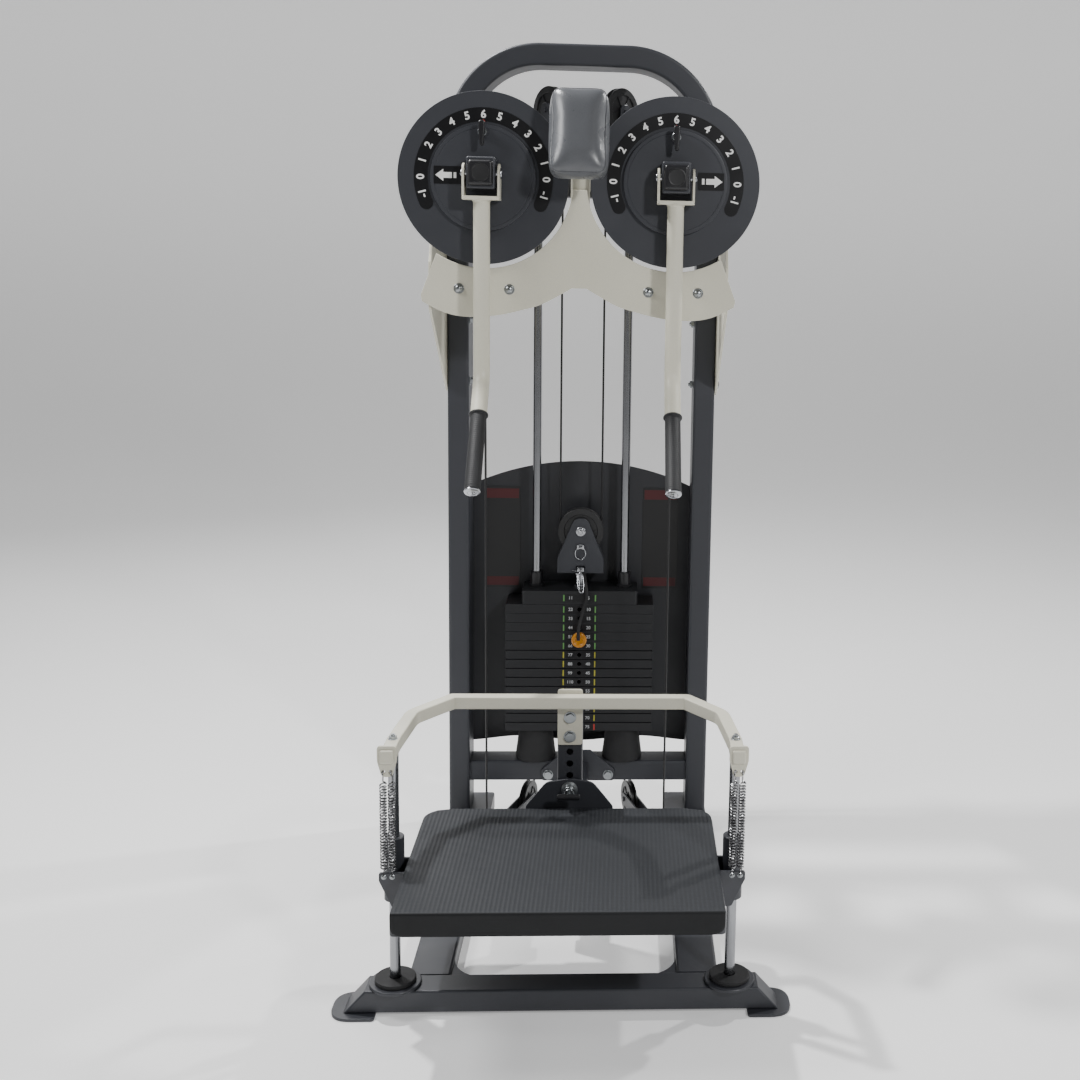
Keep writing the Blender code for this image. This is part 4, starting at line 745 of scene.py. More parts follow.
def revolve(name: str, profile: Loop, origin: Point, axis: Point, count: int = 64,
            closed: bool = False) -> bpy.types.Object:
    """Turns a half section round an axis.

    Args:
        name: the object's name.
        profile: (radius, distance along the axis) points.
        origin: the point that distances start from.
        axis: the axis.
        count: sides of the round.
        closed: joins the last point to the first, for a ring.

    Returns:
        The mesh object.
    """
    along = Vector(axis).normalized()
    one = along.orthogonal().normalized()
    two = along.cross(one)
    turns = [2 * math.pi * k / count for k in range(count)]
    spokes = [one * math.cos(t) + two * math.sin(t) for t in turns]
    shape = bmesh.new()
    rings = []
    for r, h in profile:
        at = Vector(origin) + along * h
        rings.append([shape.verts.new(at)] if r < 1e-6 else [shape.verts.new(at + s * r) for s in spokes])
    for low, high in list(zip(rings, rings[1:])) + ([(rings[-1], rings[0])] if closed else []):
        for k in range(count):
            n = (k + 1) % count
            corners = [low[k % len(low)], low[n % len(low)], high[n % len(high)], high[k % len(high)]]
            corners = list(dict.fromkeys(corners))
            if len(corners) > 2:
                shape.faces.new(corners)
    mesh = bpy.data.meshes.new(name)
    shape.to_mesh(mesh)
    shape.free()
    return settle(link(name, mesh))


def sweep(name: str, points: Sequence[Point], section: Loop, up: Point | None = None,
          caps: bool = True) -> bpy.types.Object:
    """Carries a section along a line.

    Args:
        name: the object's name.
        points: the line.
        section: the section's points, across and upward.
        up: a direction that the section's second axis keeps to; without it the section doesn't twist.
        caps: closes both ends.

    Returns:
        The mesh object, with a UV map that runs along the line in metres.
    """
    line = [Vector(p) for p in points]
    shape = bmesh.new()
    runs = [(b - a).normalized() for a, b in zip(line, line[1:])]
    ways = [(runs[max(i - 1, 0)] + runs[min(i, len(runs) - 1)]).normalized() for i in range(len(line))]
    side = ways[0].cross(Vector(up)) if up else ways[0].orthogonal()
    rings, travelled, lengths = [], 0.0, []
    wider = [1.0] + [1 / max(0.4, ways[i].dot((line[i + 1] - line[i]).normalized()))
                     for i in range(1, len(line) - 1)] + [1.0]
    for i, (at, way) in enumerate(zip(line, ways)):
        side = way.cross(Vector(up)) if up else side - way * side.dot(way)
        side.normalize()
        rise = side.cross(way)
        travelled += (at - line[i - 1]).length if i else 0.0
        lengths.append(travelled)
        grow = wider[i] if up else 1.0
        rings.append([shape.verts.new(at + side * (a * grow) + rise * b) for a, b in section])
    uv = shape.loops.layers.uv.new("run")
    count = len(section)
    for i, (low, high) in enumerate(zip(rings, rings[1:])):
        for k in range(count):
            n = (k + 1) % count
            face = shape.faces.new((low[k], low[n], high[n], high[k]))
            corners = ((k, i), (k + 1, i), (k + 1, i + 1), (k, i + 1))
            for loop, (a, b) in zip(face.loops, corners):
                loop[uv].uv = (a / count, lengths[b])
    if caps:
        shape.faces.new(rings[0][::-1])
        shape.faces.new(rings[-1])
    mesh = bpy.data.meshes.new(name)
    shape.to_mesh(mesh)
    shape.free()
    return settle(link(name, mesh))


def rod(name: str, start: Point, end: Point, radius: float, count: int = 48, edge: float = 0.001,
        ) -> bpy.types.Object:
    """A round bar with chamfered ends.

    Args:
        name: the object's name.
        start: the middle of its first end.
        end: the middle of its other end.
        radius: its radius.
        count: sides round the bar.
        edge: the chamfer's size.

    Returns:
        The mesh object.
    """
    start, end = Vector(start), Vector(end)
    length = (end - start).length
    edge = min(edge, radius * 0.5, length * 0.3)
    profile = [(0, 0), (radius - edge, 0), (radius, edge), (radius, length - edge),
               (radius - edge, length), (0, length)]
    return revolve(name, profile, start, end - start, count)


def plate(name: str, loops: Sequence[Loop], low: float, high: float, place: Matrix,
          edge: float = 0.0008, steps: int = 2) -> bpy.types.Object:
    """A flat plate with holes and softened edges.

    Args:
        name: the object's name.
        loops: the outline and the holes, in the plate's own plane.
        low: one face's height over the plane.
        high: the other face's height.
        place: carries the plane into the machine's frame.
        edge: how far the edges are rounded.
        steps: spans in the rounding.

    Returns:
        The mesh object.
    """
    curve = bpy.data.curves.new(name, "CURVE")
    curve.dimensions, curve.fill_mode = "2D", "BOTH"
    edge = min(edge, (high - low) * 0.45)
    curve.extrude, curve.bevel_depth = (high - low) / 2 - edge, edge
    curve.bevel_resolution, curve.offset = steps, -edge
    for loop in loops:
        spline = curve.splines.new("POLY")
        spline.points.add(len(loop) - 1)
        for point, (x, y) in zip(spline.points, loop):
            point.co = (x, y, 0, 1)
        spline.use_cyclic_u = True
    obj = bpy.data.objects.new(name, curve)
    bpy.context.scene.collection.objects.link(obj)
    obj = plain(obj)
    obj.data.transform(place @ Matrix.Translation((0, 0, (low + high) / 2)))
    return settle(obj, 28, 1e-6)


def block(name: str, low: Point, high: Point, edge: float = 0.002, steps: int = 3) -> bpy.types.Object:
    """A block with rounded edges.

    Args:
        name: the object's name.
        low: its lowest corner.
        high: its highest corner.
        edge: the rounding's radius.
        steps: spans in the rounding.

    Returns:
        The mesh object.
    """
    shape = bmesh.new()
    bmesh.ops.create_cube(shape, size=1.0)
    for vert in shape.verts:
        vert.co = [(a + b) / 2 + c * abs(b - a) for a, b, c in zip(low, high, vert.co)]
    if edge:
        bmesh.ops.bevel(shape, geom=shape.edges, offset=edge, segments=steps, profile=0.5, affect="EDGES")
    mesh = bpy.data.meshes.new(name)
    shape.to_mesh(mesh)
    shape.free()
    return settle(link(name, mesh))


def facing(origin: Point, across: Point, up: Point) -> Matrix:
    """Placement on a face, with Z out of it.

    Args:
        origin: the placement's origin.
        across: direction of its X.
        up: direction of its Y.

    Returns:
        The placement matrix.
    """
    x, y = Vector(across).normalized(), Vector(up).normalized()
    place = Matrix((x, y, x.cross(y))).transposed().to_4x4()
    place.translation = Vector(origin)
    return place


def front_face(y: float, x: float = 0.0, z: float = 0.0) -> Matrix:
    """Placement on a face that looks towards -Y."""
    return facing((x, y, z), (1, 0, 0), (0, 0, 1))


def side_face(x: float) -> Matrix:
    """Placement on a face that looks towards +X, with its X along the depth."""
    return facing((x, 0, 0), (0, 1, 0), (0, 0, 1))


def level_face(z: float) -> Matrix:
    """Placement on a face that looks up."""
    return Matrix.Translation((0, 0, z))


def lettering(name: str, words: str, size: float, place: Matrix, thick: float = 0.0003,
              weight: float = 0.02, turn: float = 0.0) -> bpy.types.Object:
    """Raised print.

    Args:
        name: the object's name.
        words: digits or plain words.
        size: the letters' height scale in metres.
        place: the middle of the words, on the face that they lie on.
        thick: the print's thickness.
        weight: how far the strokes are thickened, as a share of size.
        turn: turn in the face's plane, in degrees.

    Returns:
        The mesh object.
    """
    curve = bpy.data.curves.new(name, "FONT")
    curve.body, curve.size, curve.offset = words, size, size * weight
    curve.align_x, curve.align_y = "CENTER", "CENTER"
    curve.extrude, curve.resolution_u = thick / 2, 3
    obj = bpy.data.objects.new(name, curve)
    bpy.context.scene.collection.objects.link(obj)
    obj = plain(obj)
    obj.data.transform(place @ Matrix.Rotation(math.radians(turn), 4, "Z")
                       @ Matrix.Translation((0, 0, thick / 2)))
    return settle(obj, 30, 1e-7)


def smooth_line(keys: Sequence[Point], count: int) -> list[Vector]:
    """A smooth line through the key points.

    Args:
        keys: the points that it passes.
        count: spans between each two.

    Returns:
        The line's points.
    """
    keys = [Vector(k) for k in keys]
    out = []
    for i in range(len(keys) - 1):
        p0, p1, p2 = keys[max(i - 1, 0)], keys[i], keys[i + 1]
        p3 = keys[min(i + 2, len(keys) - 1)]
        for k in range(count):
            t = k / count
            out.append(0.5 * ((2 * p1) + (p2 - p0) * t + (2 * p0 - 5 * p1 + 4 * p2 - p3) * t * t
                              + (3 * p1 - p0 - 3 * p2 + p3) * t ** 3))
    return [*out, keys[-1]]


# ---------------------------------------------------------------- geometry nodes
class Recipe:
    """A Geometry Nodes tree with named inputs, made plain at the end."""

    def __init__(self, name: str, points: bool = False) -> None:
        """Starts the tree.

        Args:
            name: the tree's name.
            points: the tree takes the object's own mesh as an input.
        """
        self.tree = bpy.data.node_groups.new(name, "GeometryNodeTree")
        face = self.tree.interface
        if points:
            face.new_socket("Places", in_out="INPUT", socket_type="NodeSocketGeometry")
        face.new_socket("Geometry", in_out="OUTPUT", socket_type="NodeSocketGeometry")
        self.entry = self.tree.nodes.new("NodeGroupInput")
        self.exit = self.tree.nodes.new("NodeGroupOutput")
        self.values: dict[str, float | int | Sequence[float] | bpy.types.ID] = {}

    def given(self, label: str, value: float | int | Sequence[float] | bpy.types.Object,
              ) -> bpy.types.NodeSocket:
        """Adds a named input.

        Args:
            label: its name.
            value: its value; the type follows from it.

        Returns:
            The socket inside the tree.
        """
        kinds = {int: "Int", float: "Float", tuple: "Vector"}
        kind = "NodeSocket" + kinds.get(type(value), "Object")
        socket = self.tree.interface.new_socket(label, in_out="INPUT", socket_type=kind)
        self.values[socket.identifier] = value
        return self.entry.outputs[label]

    def node(self, kind: str, settings: dict | None = None, inputs: dict | None = None,
             out: int | str = 0) -> bpy.types.NodeSocket:
        """Adds one node.

        Args:
            kind: the node's type.
            settings: its attributes, set first.
            inputs: sockets or values by name or number.
            out: the output that is returned.

        Returns:
            The chosen output socket.
        """
        made = self.tree.nodes.new(kind)
        for key, value in (settings or {}).items():
            setattr(made, key, value)
        for key, value in (inputs or {}).items():
            if isinstance(value, bpy.types.NodeSocket):
                self.tree.links.new(value, made.inputs[key])
            else:
                made.inputs[key].default_value = value
        return made.outputs[out]

    def make(self, name: str, result: bpy.types.NodeSocket, material: bpy.types.Material,
             base: bpy.types.Mesh | None = None) -> bpy.types.Object:
        """Ends the tree, runs it and keeps its mesh.

        Args:
            name: the piece's name.
            result: the geometry to keep.
            material: its finish.
            base: the mesh whose vertices the tree works on.

        Returns:
            A plain mesh object without the modifier.
        """
        real = self.node("GeometryNodeRealizeInstances", {}, {0: result})
        dressed = self.node("GeometryNodeSetMaterial", {}, {0: real, "Material": material})
        self.tree.links.new(dressed, self.exit.inputs[0])
        obj = link(name, base or bpy.data.meshes.new(name))
        maker = obj.modifiers.new("recipe", "NODES")
        maker.node_group = self.tree
        for key, value in self.values.items():
            maker[key] = value
        obj = plain(obj, name)
        log.info("recipe %s made %d faces", name, len(obj.data.polygons))
        return settle(obj)


def dotted(name: str, places: Iterable[tuple[Point, Point]]) -> bpy.types.Mesh:
    """A mesh of loose points that each hold a direction.

    Args:
        name: the mesh's name.
        places: (point, direction) pairs.

    Returns:
        The mesh, with the directions in the attribute "way".
    """
    places = list(places)
    mesh = bpy.data.meshes.new(name)
    mesh.from_pydata([tuple(p) for p, _ in places], [], [])
    way = mesh.attributes.new("way", "FLOAT_VECTOR", "POINT")
    way.data.foreach_set("vector", [c for _, d in places for c in Vector(d).normalized()])
    return mesh


def scatter(name: str, model: bpy.types.Object, places: Iterable[tuple[Point, Point]],
            material: bpy.types.Material, twist: float = 0.0, seed: int = 3) -> bpy.types.Object:
    """Puts a copy of a small model at every place, its Z along the place's direction.

    Args:
        name: the piece's name.
        model: the small model, round the origin; it is used up.
        places: (point, direction) pairs.
        material: the finish.
        twist: the most that a copy is turned about its own axis, in radians.
        seed: the seed of those turns.

    Returns:
        One plain mesh object.
    """
    recipe = Recipe(name + "_recipe", points=True)
    source = recipe.given("Model", model)
    most = recipe.given("Twist", float(twist))
    fixed = recipe.given("Seed", seed)
    way = recipe.node("GeometryNodeInputNamedAttribute", {"data_type": "FLOAT_VECTOR"}, {"Name": "way"})
    turn = recipe.node("FunctionNodeAlignRotationToVector", {"axis": "Z"}, {"Vector": way})
    chance = recipe.node("FunctionNodeRandomValue", {"data_type": "FLOAT"}, {3: most, "Seed": fixed}, 1)
    spin = recipe.node("ShaderNodeCombineXYZ", {}, {"Z": chance})
    angle = recipe.node("FunctionNodeEulerToRotation", {}, {0: spin})
    both = recipe.node("FunctionNodeRotateRotation", {"rotation_space": "LOCAL"},
                       {"Rotation": turn, "Rotate By": angle})
    shape = recipe.node("GeometryNodeObjectInfo", {}, {"Object": source}, "Geometry")
    placed = recipe.node("GeometryNodeInstanceOnPoints", {},
                         {"Points": recipe.entry.outputs["Places"], "Instance": shape, "Rotation": both})
    made = recipe.make(name, placed, material, dotted(name, places))
    bpy.data.objects.remove(model, do_unlink=True)
    return made


class Head(Enum):
    """Kinds of fastener head."""

    HEX = "hex bolt over a washer"
    NUT = "nut on a threaded end"
    DOME = "low domed head"


@dataclass(frozen=True)
class Fastener:
    """The visible end of a bolt, standing on the plane Z = 0."""

    head: Head = Head.HEX
    across: float = 0.018
    tall: float = 0.0065
    washer: float = 0.0115
    thick: float = 0.0015

    def model(self) -> bpy.types.Object:
        """Builds the fastener's mesh round the origin.

        Returns:
            The mesh object, with its seat at height 0.
        """
        t = self.thick
        r = self.across / 2
        parts = [revolve("washer", [(0, 0), (self.washer - 0.0004, 0), (self.washer, 0.0004),
                                    (self.washer, t - 0.0005), (self.washer - 0.0006, t), (0, t)],
                         (0, 0, 0), (0, 0, 1), 28)]
        if self.head is Head.DOME:
            dome = [(0, t)] + [(r * math.sin(a), t + self.tall * math.cos(a))
                               for a in [math.pi / 2 - k * math.pi / 16 for k in range(9)]]
            parts.append(revolve("dome", dome, (0, 0, 0), (0, 0, 1), 28))
            return join("fastener", *parts)
        corner = r / math.cos(math.pi / 6)
        body = plate("hex", [circle(0, 0, corner, 6)], t, t + self.tall, Matrix.Identity(4), 0.0002, 1)
        cone = revolve("cone", [(r * 0.96, t - 0.001), (corner * 1.2, t - 0.001),
                                (corner * 1.2, t + self.tall * 2),
                                (r * 0.5, t + self.tall * 2), (r * 0.50, t + self.tall + 0.0022),
                                (corner, t + self.tall - 0.0007), (corner, t - 0.001)][1:],
                       (0, 0, 0), (0, 0, 1), 36, closed=True)
        parts.append(carve(body, cone))
        if self.head is Head.NUT:
            parts.append(rod("stud", (0, 0, t), (0, 0, t + self.tall + 0.004), r * 0.62, 20, 0.0008))
        return join("fastener", *parts)


# ---------------------------------------------------------------- pieces on the frame
def weigh(obj: bpy.types.Object) -> None:
    """Weights the shading normals by face size, so that broad faces stay flat beside rounded edges.

    Args:
        obj: the mesh object.
    """
    made = obj.modifiers.new("weigh", "WEIGHTED_NORMAL")
    made.keep_sharp, made.weight = True, 80
    graph = bpy.context.evaluated_depsgraph_get()
    mesh = bpy.data.meshes.new_from_object(obj.evaluated_get(graph), depsgraph=graph)
    obj.modifiers.clear()
    obj.data = mesh
    mesh.name = obj.name


def place_piece(obj: bpy.types.Object, look: str, body: str | None, slot: str, *nodes: str) -> bpy.types.Object:
    """Gives a piece its finish and its body, and hides the CAD nodes that it stands for.

    Args:
        obj: the finished mesh, in place.
        look: the finish's name in the palette.
        body: the body that it moves with, or None for a piece that bends between two.
        slot: the record's material slot; not used.
        *nodes: the CAD nodes that it stands for.

    Returns:
        The same object.
    """
    obj.data.materials.clear()
    obj.data.materials.append(PALETTE[look])
    for face in obj.data.polygons:
        face.material_index = 0
    weigh(obj)
    if body:
        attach(obj, body)
    if nodes:
        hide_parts(*nodes)
    log.info("piece %s on %s: %d faces", obj.name, body or "two bodies", len(obj.data.polygons))
    return obj


def dress_node(frame: dict, node: str, look: str, edge: float = 0.0010) -> None:
    """Gives a CAD node that stays in view its finish and softened edges.

    Args:
        node: the node's name.
        look: the finish's name in the palette.
        edge: width of the softened edges.
    """
    obj = frame["nodes"][node]
    for held in obj.material_slots:
        held.material = PALETTE[look]
    merge = obj.modifiers.new("merge", "WELD")
    merge.merge_threshold = 0.00001
    if edge:
        soft = obj.modifiers.new("edges", "BEVEL")
        soft.width, soft.segments, soft.limit_method = edge, 2, "ANGLE"
        soft.angle_limit = math.radians(38)
        soft.use_clamp_overlap = True
    log.info("node %s in %s", node, look)


# ---------------------------------------------------------------- base and arch
@dataclass
class Base:
    """Front beam on its foot plates, the two rails and the tie that carries the base wheels."""

    y: float = -0.335
    half_depth: float = 0.030
    low: float = 0.006
    top: float = 0.050
    top_half: float = 0.370
    low_half: float = 0.410
    foot_half: float = 0.435
    foot_long: float = 0.085
    foot_deep: float = 0.096
    rail_x: float = 0.257
    rail_half: float = 0.040

    def build(self, frame: dict) -> None:
        """Builds the beam and dresses the rails and the tie.

        Args:
            frame: the loaded frame.
        """
        beam = plate("beam", [[(-self.low_half, self.low), (self.low_half, self.low),
                               (self.top_half, self.top), (-self.top_half, self.top)]],
                     -self.half_depth, self.half_depth, front_face(self.y), 0.0045, 4)
        feet = []
        d = self.foot_deep / 2
        for s in (-1, 1):
            a, b = sorted((s * (self.foot_half - self.foot_long), s * self.foot_half))
            loop = fillet([(a, self.y - d), (b, self.y - d), (b, self.y + d), (a, self.y + d)],
                          [0.046, 0.008, 0.008, 0.046] if s < 0 else [0.008, 0.046, 0.046, 0.008], 12)
            feet.append(plate("foot", [loop], 0, self.low, level_face(0), 0.0012, 3))
        place_piece(join("front_beam_shell", beam, *feet), "frame_coat", "frame", "frame_paint", "front_beam")
        for word in ("left", "right"):
            dress_node(frame, "rail_" + word, "frame_coat", 0.0022)
        dress_node(frame, "base_tie", "frame_coat", 0.0010)
        self._gussets()
        self._end_caps()

    def _gussets(self) -> None:
        """Corner plates that tie each rail to the front beam."""
        parts = []
        inner = self.rail_x - self.rail_half
        back = self.y + self.half_depth
        for s in (-1, 1):
            curve = [(inner - 0.062 + 0.062 * math.sin(t), back + 0.001 + 0.070 * (1 - math.cos(t)))
                     for t in [math.pi / 2 * k / 10 for k in range(11)]]
            loop = [(s * x, y) for x, y in [(inner + 0.001, back - 0.001), *reversed(curve)]]
            parts.append(plate("gusset", [loop], self.top - 0.012, self.top - 0.006, level_face(0), 0.0008))
        place_piece(join("rail_gussets", *parts), "frame_coat", "frame", "frame_paint")

    def _end_caps(self) -> None:
        """Plastic plugs in the rear ends of the rails."""
        parts = []
        for s in (-1, 1):
            low, high = (Vector(c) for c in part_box("rail_" + ("left" if s < 0 else "right")))
            a, b = s * self.rail_x - self.rail_half + 0.004, s * self.rail_x + self.rail_half - 0.004
            parts.append(block("plug", (a, high.y - 0.012, self.low + 0.004),
                               (b, high.y - 0.0004, self.top - 0.004), 0.003))
        place_piece(join("rail_plugs", *parts), "black_cap", "frame", "black_plastic")


@dataclass
class Arch:
    """Flat oval-cornered tube bent into the machine's main arch, with the crossbeams."""

    x: float = 0.2895
    y: float = 0.477
    across: float = 0.050
    deep: float = 0.100
    low: float = 0.0583
    top: float = 1.897
    bend: float = 0.190
    corner: float = 0.0075

    def build(self, frame: dict) -> None:
        """Builds the arch and dresses the beams between its uprights.

        Args:
            frame: the loaded frame.
        """
        line = self.top - self.across / 2
        right = [(x, z) for x, z in bows(self.x - self.bend, line - self.bend, self.bend, 0, 90, 40)]
        half = [(self.x, self.low), (self.x, 0.6), (self.x, 1.2)] + right
        path = half + [(-x, z) for x, z in reversed(half)]
        section = oblong(-self.across / 2, -self.deep / 2, self.across / 2, self.deep / 2, self.corner, 5)
        tube = sweep("frame_arch_tube", [(x, self.y, z) for x, z in path], section, (0, 1, 0))
        place_piece(tube, "frame_coat", "frame", "frame_paint", "frame_arch")
        dress_node(frame, "stack_crossbeam", "frame_coat", 0.0030)
        dress_node(frame, "top_crossbeam", "frame_coat", 0.0010)
        dress_node(frame, "head_beam", "frame_coat", 0.0016)
        self._welds()

    def _welds(self) -> None:
        """Weld beads where the crossbeam meets the uprights and the uprights meet their flanges."""
        places = []
        inner = self.x - self.across / 2 - 0.0008
        low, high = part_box("stack_crossbeam")
        for s in (-1, 1):
            for k in range(9):
                z = low[2] + 0.006 + (high[2] - low[2] - 0.012) * k / 8
                places.append(((s * inner, low[1] - 0.0004, z), (0, 0, 1)))
            for k in range(15):
                x = s * self.x - 0.022 + 0.044 * k / 14
                places.append(((x, self.y - self.deep / 2 - 0.0006, self.low + 0.001), (1, 0, 0)))
        bead = revolve("bead", [(0, -0.0032), (0.0016, -0.0026), (0.0024, -0.001), (0.0026, 0),
                                (0.0024, 0.001), (0.0016, 0.0026), (0, 0.0032)], (0, 0, 0), (0, 0, 1), 10)
        place_piece(scatter("weld_beads", bead, places, PALETTE["frame_coat"], 6.28, 11),
                    "frame_coat", "frame", "frame_paint")


@dataclass
class HeadPlates:
    """Cream front plate that follows both discs, and the gusset plates on the uprights."""

    disc_x: float = 0.202
    disc_z: float = 1.577
    face: float = 0.1703
    thick: float = 0.006
    round: float = 0.188
    bolt_dx: float = 0.0535
    bolt_z: float = 1.345
    side_x: float = 0.3148
    side_thick: float = 0.006
    post_in: float = 0.2645

    def build(self) -> None:
        """Builds the plates and their bolts."""
        place_piece(plate("front_plate_sheet", [self._outline()], -self.thick, 0, front_face(self.face),
                          0.0012, 3), "cream_coat", "frame", "cream_paint", "front_plate")
        places = [((s * (self.disc_x + d * self.bolt_dx), self.face, self.bolt_z), (0, -1, 0))
                  for s in (-1, 1) for d in (-1, 1)]
        bolts = scatter("front_plate_bolts", Fastener(Head.DOME, 0.0180, 0.0070, 0.0112, 0.0012).model(),
                        places, PALETTE["zinc"], 6.28, 5)
        place_piece(bolts, "zinc", "frame", "steel")
        self._sides()

    def _outline(self) -> Loop:
        """The plate's outline.

        Returns:
            Points from the left wing round to the right.
        """
        r, dx, dz = self.round, self.disc_x, self.disc_z
        apex, wing = 0.0150, 0.303
        a0 = math.degrees(math.atan2(-math.sqrt(r * r - (dx - apex) ** 2), apex - dx))
        a1 = math.degrees(math.atan2(-math.sqrt(r * r - (wing - dx) ** 2), wing - dx))
        top = bows(dx, dz, r, a0 % 360, a1 % 360, 56)
        tail = [(0.3365, 1.330), (0.334, 1.316)]
        keys = [(0.334, 1.316), (0.286, 1.293), (0.238, 1.285), (0.177, 1.289), (0.124, 1.301),
                (0.081, 1.314), (0.036, 1.338), (0.016, 1.350)]
        wave = [(p.x, p.y) for p in smooth_line([(x, z, 0) for x, z in keys], 6)]
        half = fillet([top[-1], *tail], [0, 0.010, 0], 5, closed=False)
        half = top[:-1] + half[:-1] + wave
        return half + [(-x, z) for x, z in reversed(half)]

    def _sides(self) -> None:
        """The gusset plates with their bolts through the uprights."""
        front = self.face + self.thick + 0.0003
        high = self.disc_z + 0.043
        loop = fillet([(front, 1.300), (0.447, 1.095), (0.500, 1.095), (0.500, high), (0.300, high),
                       (front, 1.400)], [0.004, 0.030, 0.012, 0.020, 0.040, 0.004], 8)
        for side in Side:
            s = side.value
            x = s * self.side_x
            sheet = plate("side_plate_sheet_" + side.word, [loop], 0 if s > 0 else -self.side_thick,
                          self.side_thick if s > 0 else 0, side_face(x), 0.0012, 3)
            place_piece(sheet, "cream_coat", "frame", "cream_paint", "side_plate_" + side.word)
            places = [((s * (self.side_x + self.side_thick), 0.450, z), (s, 0, 0)) for z in (1.264, 1.120)]
            bolts = scatter("side_bolts_" + side.word,
                            Fastener(Head.HEX, 0.0165, 0.0035, 0.0115, 0.0012).model(),
                            places, PALETTE["chrome"], 6.28, 7)
            place_piece(bolts, "chrome", "frame", "steel")
            inner = [((s * (self.post_in - 0.0002), 0.450, z), (-s, 0, 0)) for z in (1.264, 1.120)]
            nuts = scatter("side_nuts_" + side.word, Fastener(Head.NUT, 0.0150, 0.0070, 0.0110, 0.0014).model(),
                           inner, PALETTE["zinc"], 6.28, 9)
            place_piece(nuts, "zinc", "frame", "steel")


# ---------------------------------------------------------------- discs and levers
@dataclass
class Disc:
    """One side's large indexed disc with its cable cam, number band and stops."""

    side: Side
    x: float = 0.202
    y: float = 0.160
    z: float = 1.577
    round: float = 0.1795
    thick: float = 0.010
    cam_round: float = 0.120
    cam_y: float = 0.186
    ring: float = 0.094
    band_in: float = 0.1165
    band_out: float = 0.1452
    band_end: float = 24.0
    digit: float = 0.0225

    def build(self) -> None:
        """Builds the disc, its band and its numbers, all on the cam's body."""
        x, body = self.side.value * self.x, self.side.word + "_cam"
        back, shaft_end, face = self.y + self.thick, 0.310, 0.2047
        g = 0.0040
        r = self.round
        rim = self.cam_round + 0.002
        profile = [(0, self.y), (r - 0.0012, self.y), (r - 0.0004, self.y + 0.0004), (r, self.y + 0.0012),
                   (r, back - 0.0012), (r - 0.0012, back), (0.088, back), (0.088, back + 0.004),
                   (0.104, back + 0.004), (0.104, self.cam_y - 0.008), (rim - 0.0006, self.cam_y - 0.008),
                   (rim, self.cam_y - 0.0074), (rim, self.cam_y - g)]
        profile += [(self.cam_round + 0.0007 - 0.0040 * math.cos(t), self.cam_y + 0.0034 * math.sin(t))
                    for t in [-math.pi / 2 + math.pi * k / 8 for k in range(9)]]
        profile += [(rim, self.cam_y + g), (rim, self.cam_y + 0.0074), (rim - 0.0006, self.cam_y + 0.008),
                    (0.104, self.cam_y + 0.008), (0.104, self.cam_y), (0.028, self.cam_y), (0.028, face),
                    (0.015, face), (0.015, shaft_end - 0.001), (0.014, shaft_end), (0, shaft_end)]
        wheel = revolve("disc_plate_" + self.side.word, profile, (x, 0, self.z), (0, 1, 0), 144)
        stops = []
        for k in range(15):
            t = math.radians(-15 + 15 * k)
            at = (x + self.ring * math.cos(t), self.z + self.ring * math.sin(t))
            stops.append(rod("stop", (at[0], self.y - 0.01, at[1]), (at[0], back + 0.003, at[1]), 0.0065, 20))
        place_piece(carve(wheel, *stops), "frame_coat", body, "frame_paint", "cam_disc_" + self.side.word)
        self._band(x, body)

    def _band(self, x: float, body: str) -> None:
        """The black band, its numbers and the tick under the highest of them.

        Args:
            x: the disc's middle.
            body: the body that they ride on.
        """
        lo, hi, end = self.band_in, self.band_out, self.band_end
        mid, cap = (lo + hi) / 2, (hi - lo) / 2
        loop = bows(0, 0, hi, -end, 180 + end, 90)
        t = math.radians(180 + end)
        loop += bows(mid * math.cos(t), mid * math.sin(t), cap, 180 + end, 360 + end, 14)[1:-1]
        loop += bows(0, 0, lo, 180 + end, -end, 90)
        t = math.radians(-end)
        loop += bows(mid * math.cos(t), mid * math.sin(t), cap, 180 - end, 360 - end, 14)[1:-1]
        face = front_face(self.y - 0.0001, x, self.z)
        place_piece(plate("number_band_" + self.side.word, [loop], 0, 0.0007, face, 0.0002, 1),
                    "band_black", body, "black_plastic")
        words = ["-1", *map(str, range(7)), "5", "4", "3", "2", "1", "0", "-1"]
        digits = []
        for k, word in enumerate(words):
            turn = 195 - 15 * k
            t = math.radians(turn)
            at = front_face(self.y - 0.0008, x + mid * math.cos(t), self.z + mid * math.sin(t))
            digits.append(lettering("digit", word, self.digit, at, 0.0003, 0.028, turn - 90))
        place_piece(join("band_numbers_" + self.side.word, *digits), "ink_white", body, "black_plastic")
        tick = plate("tick_" + self.side.word, [[(-0.0045, lo - 0.0001), (0.0045, lo - 0.0001),
                                                 (0, lo + 0.0042)]],
                     0.0007, 0.0010, face, 0.0001, 1)
        place_piece(tick, "tab_red", body, "black_plastic")


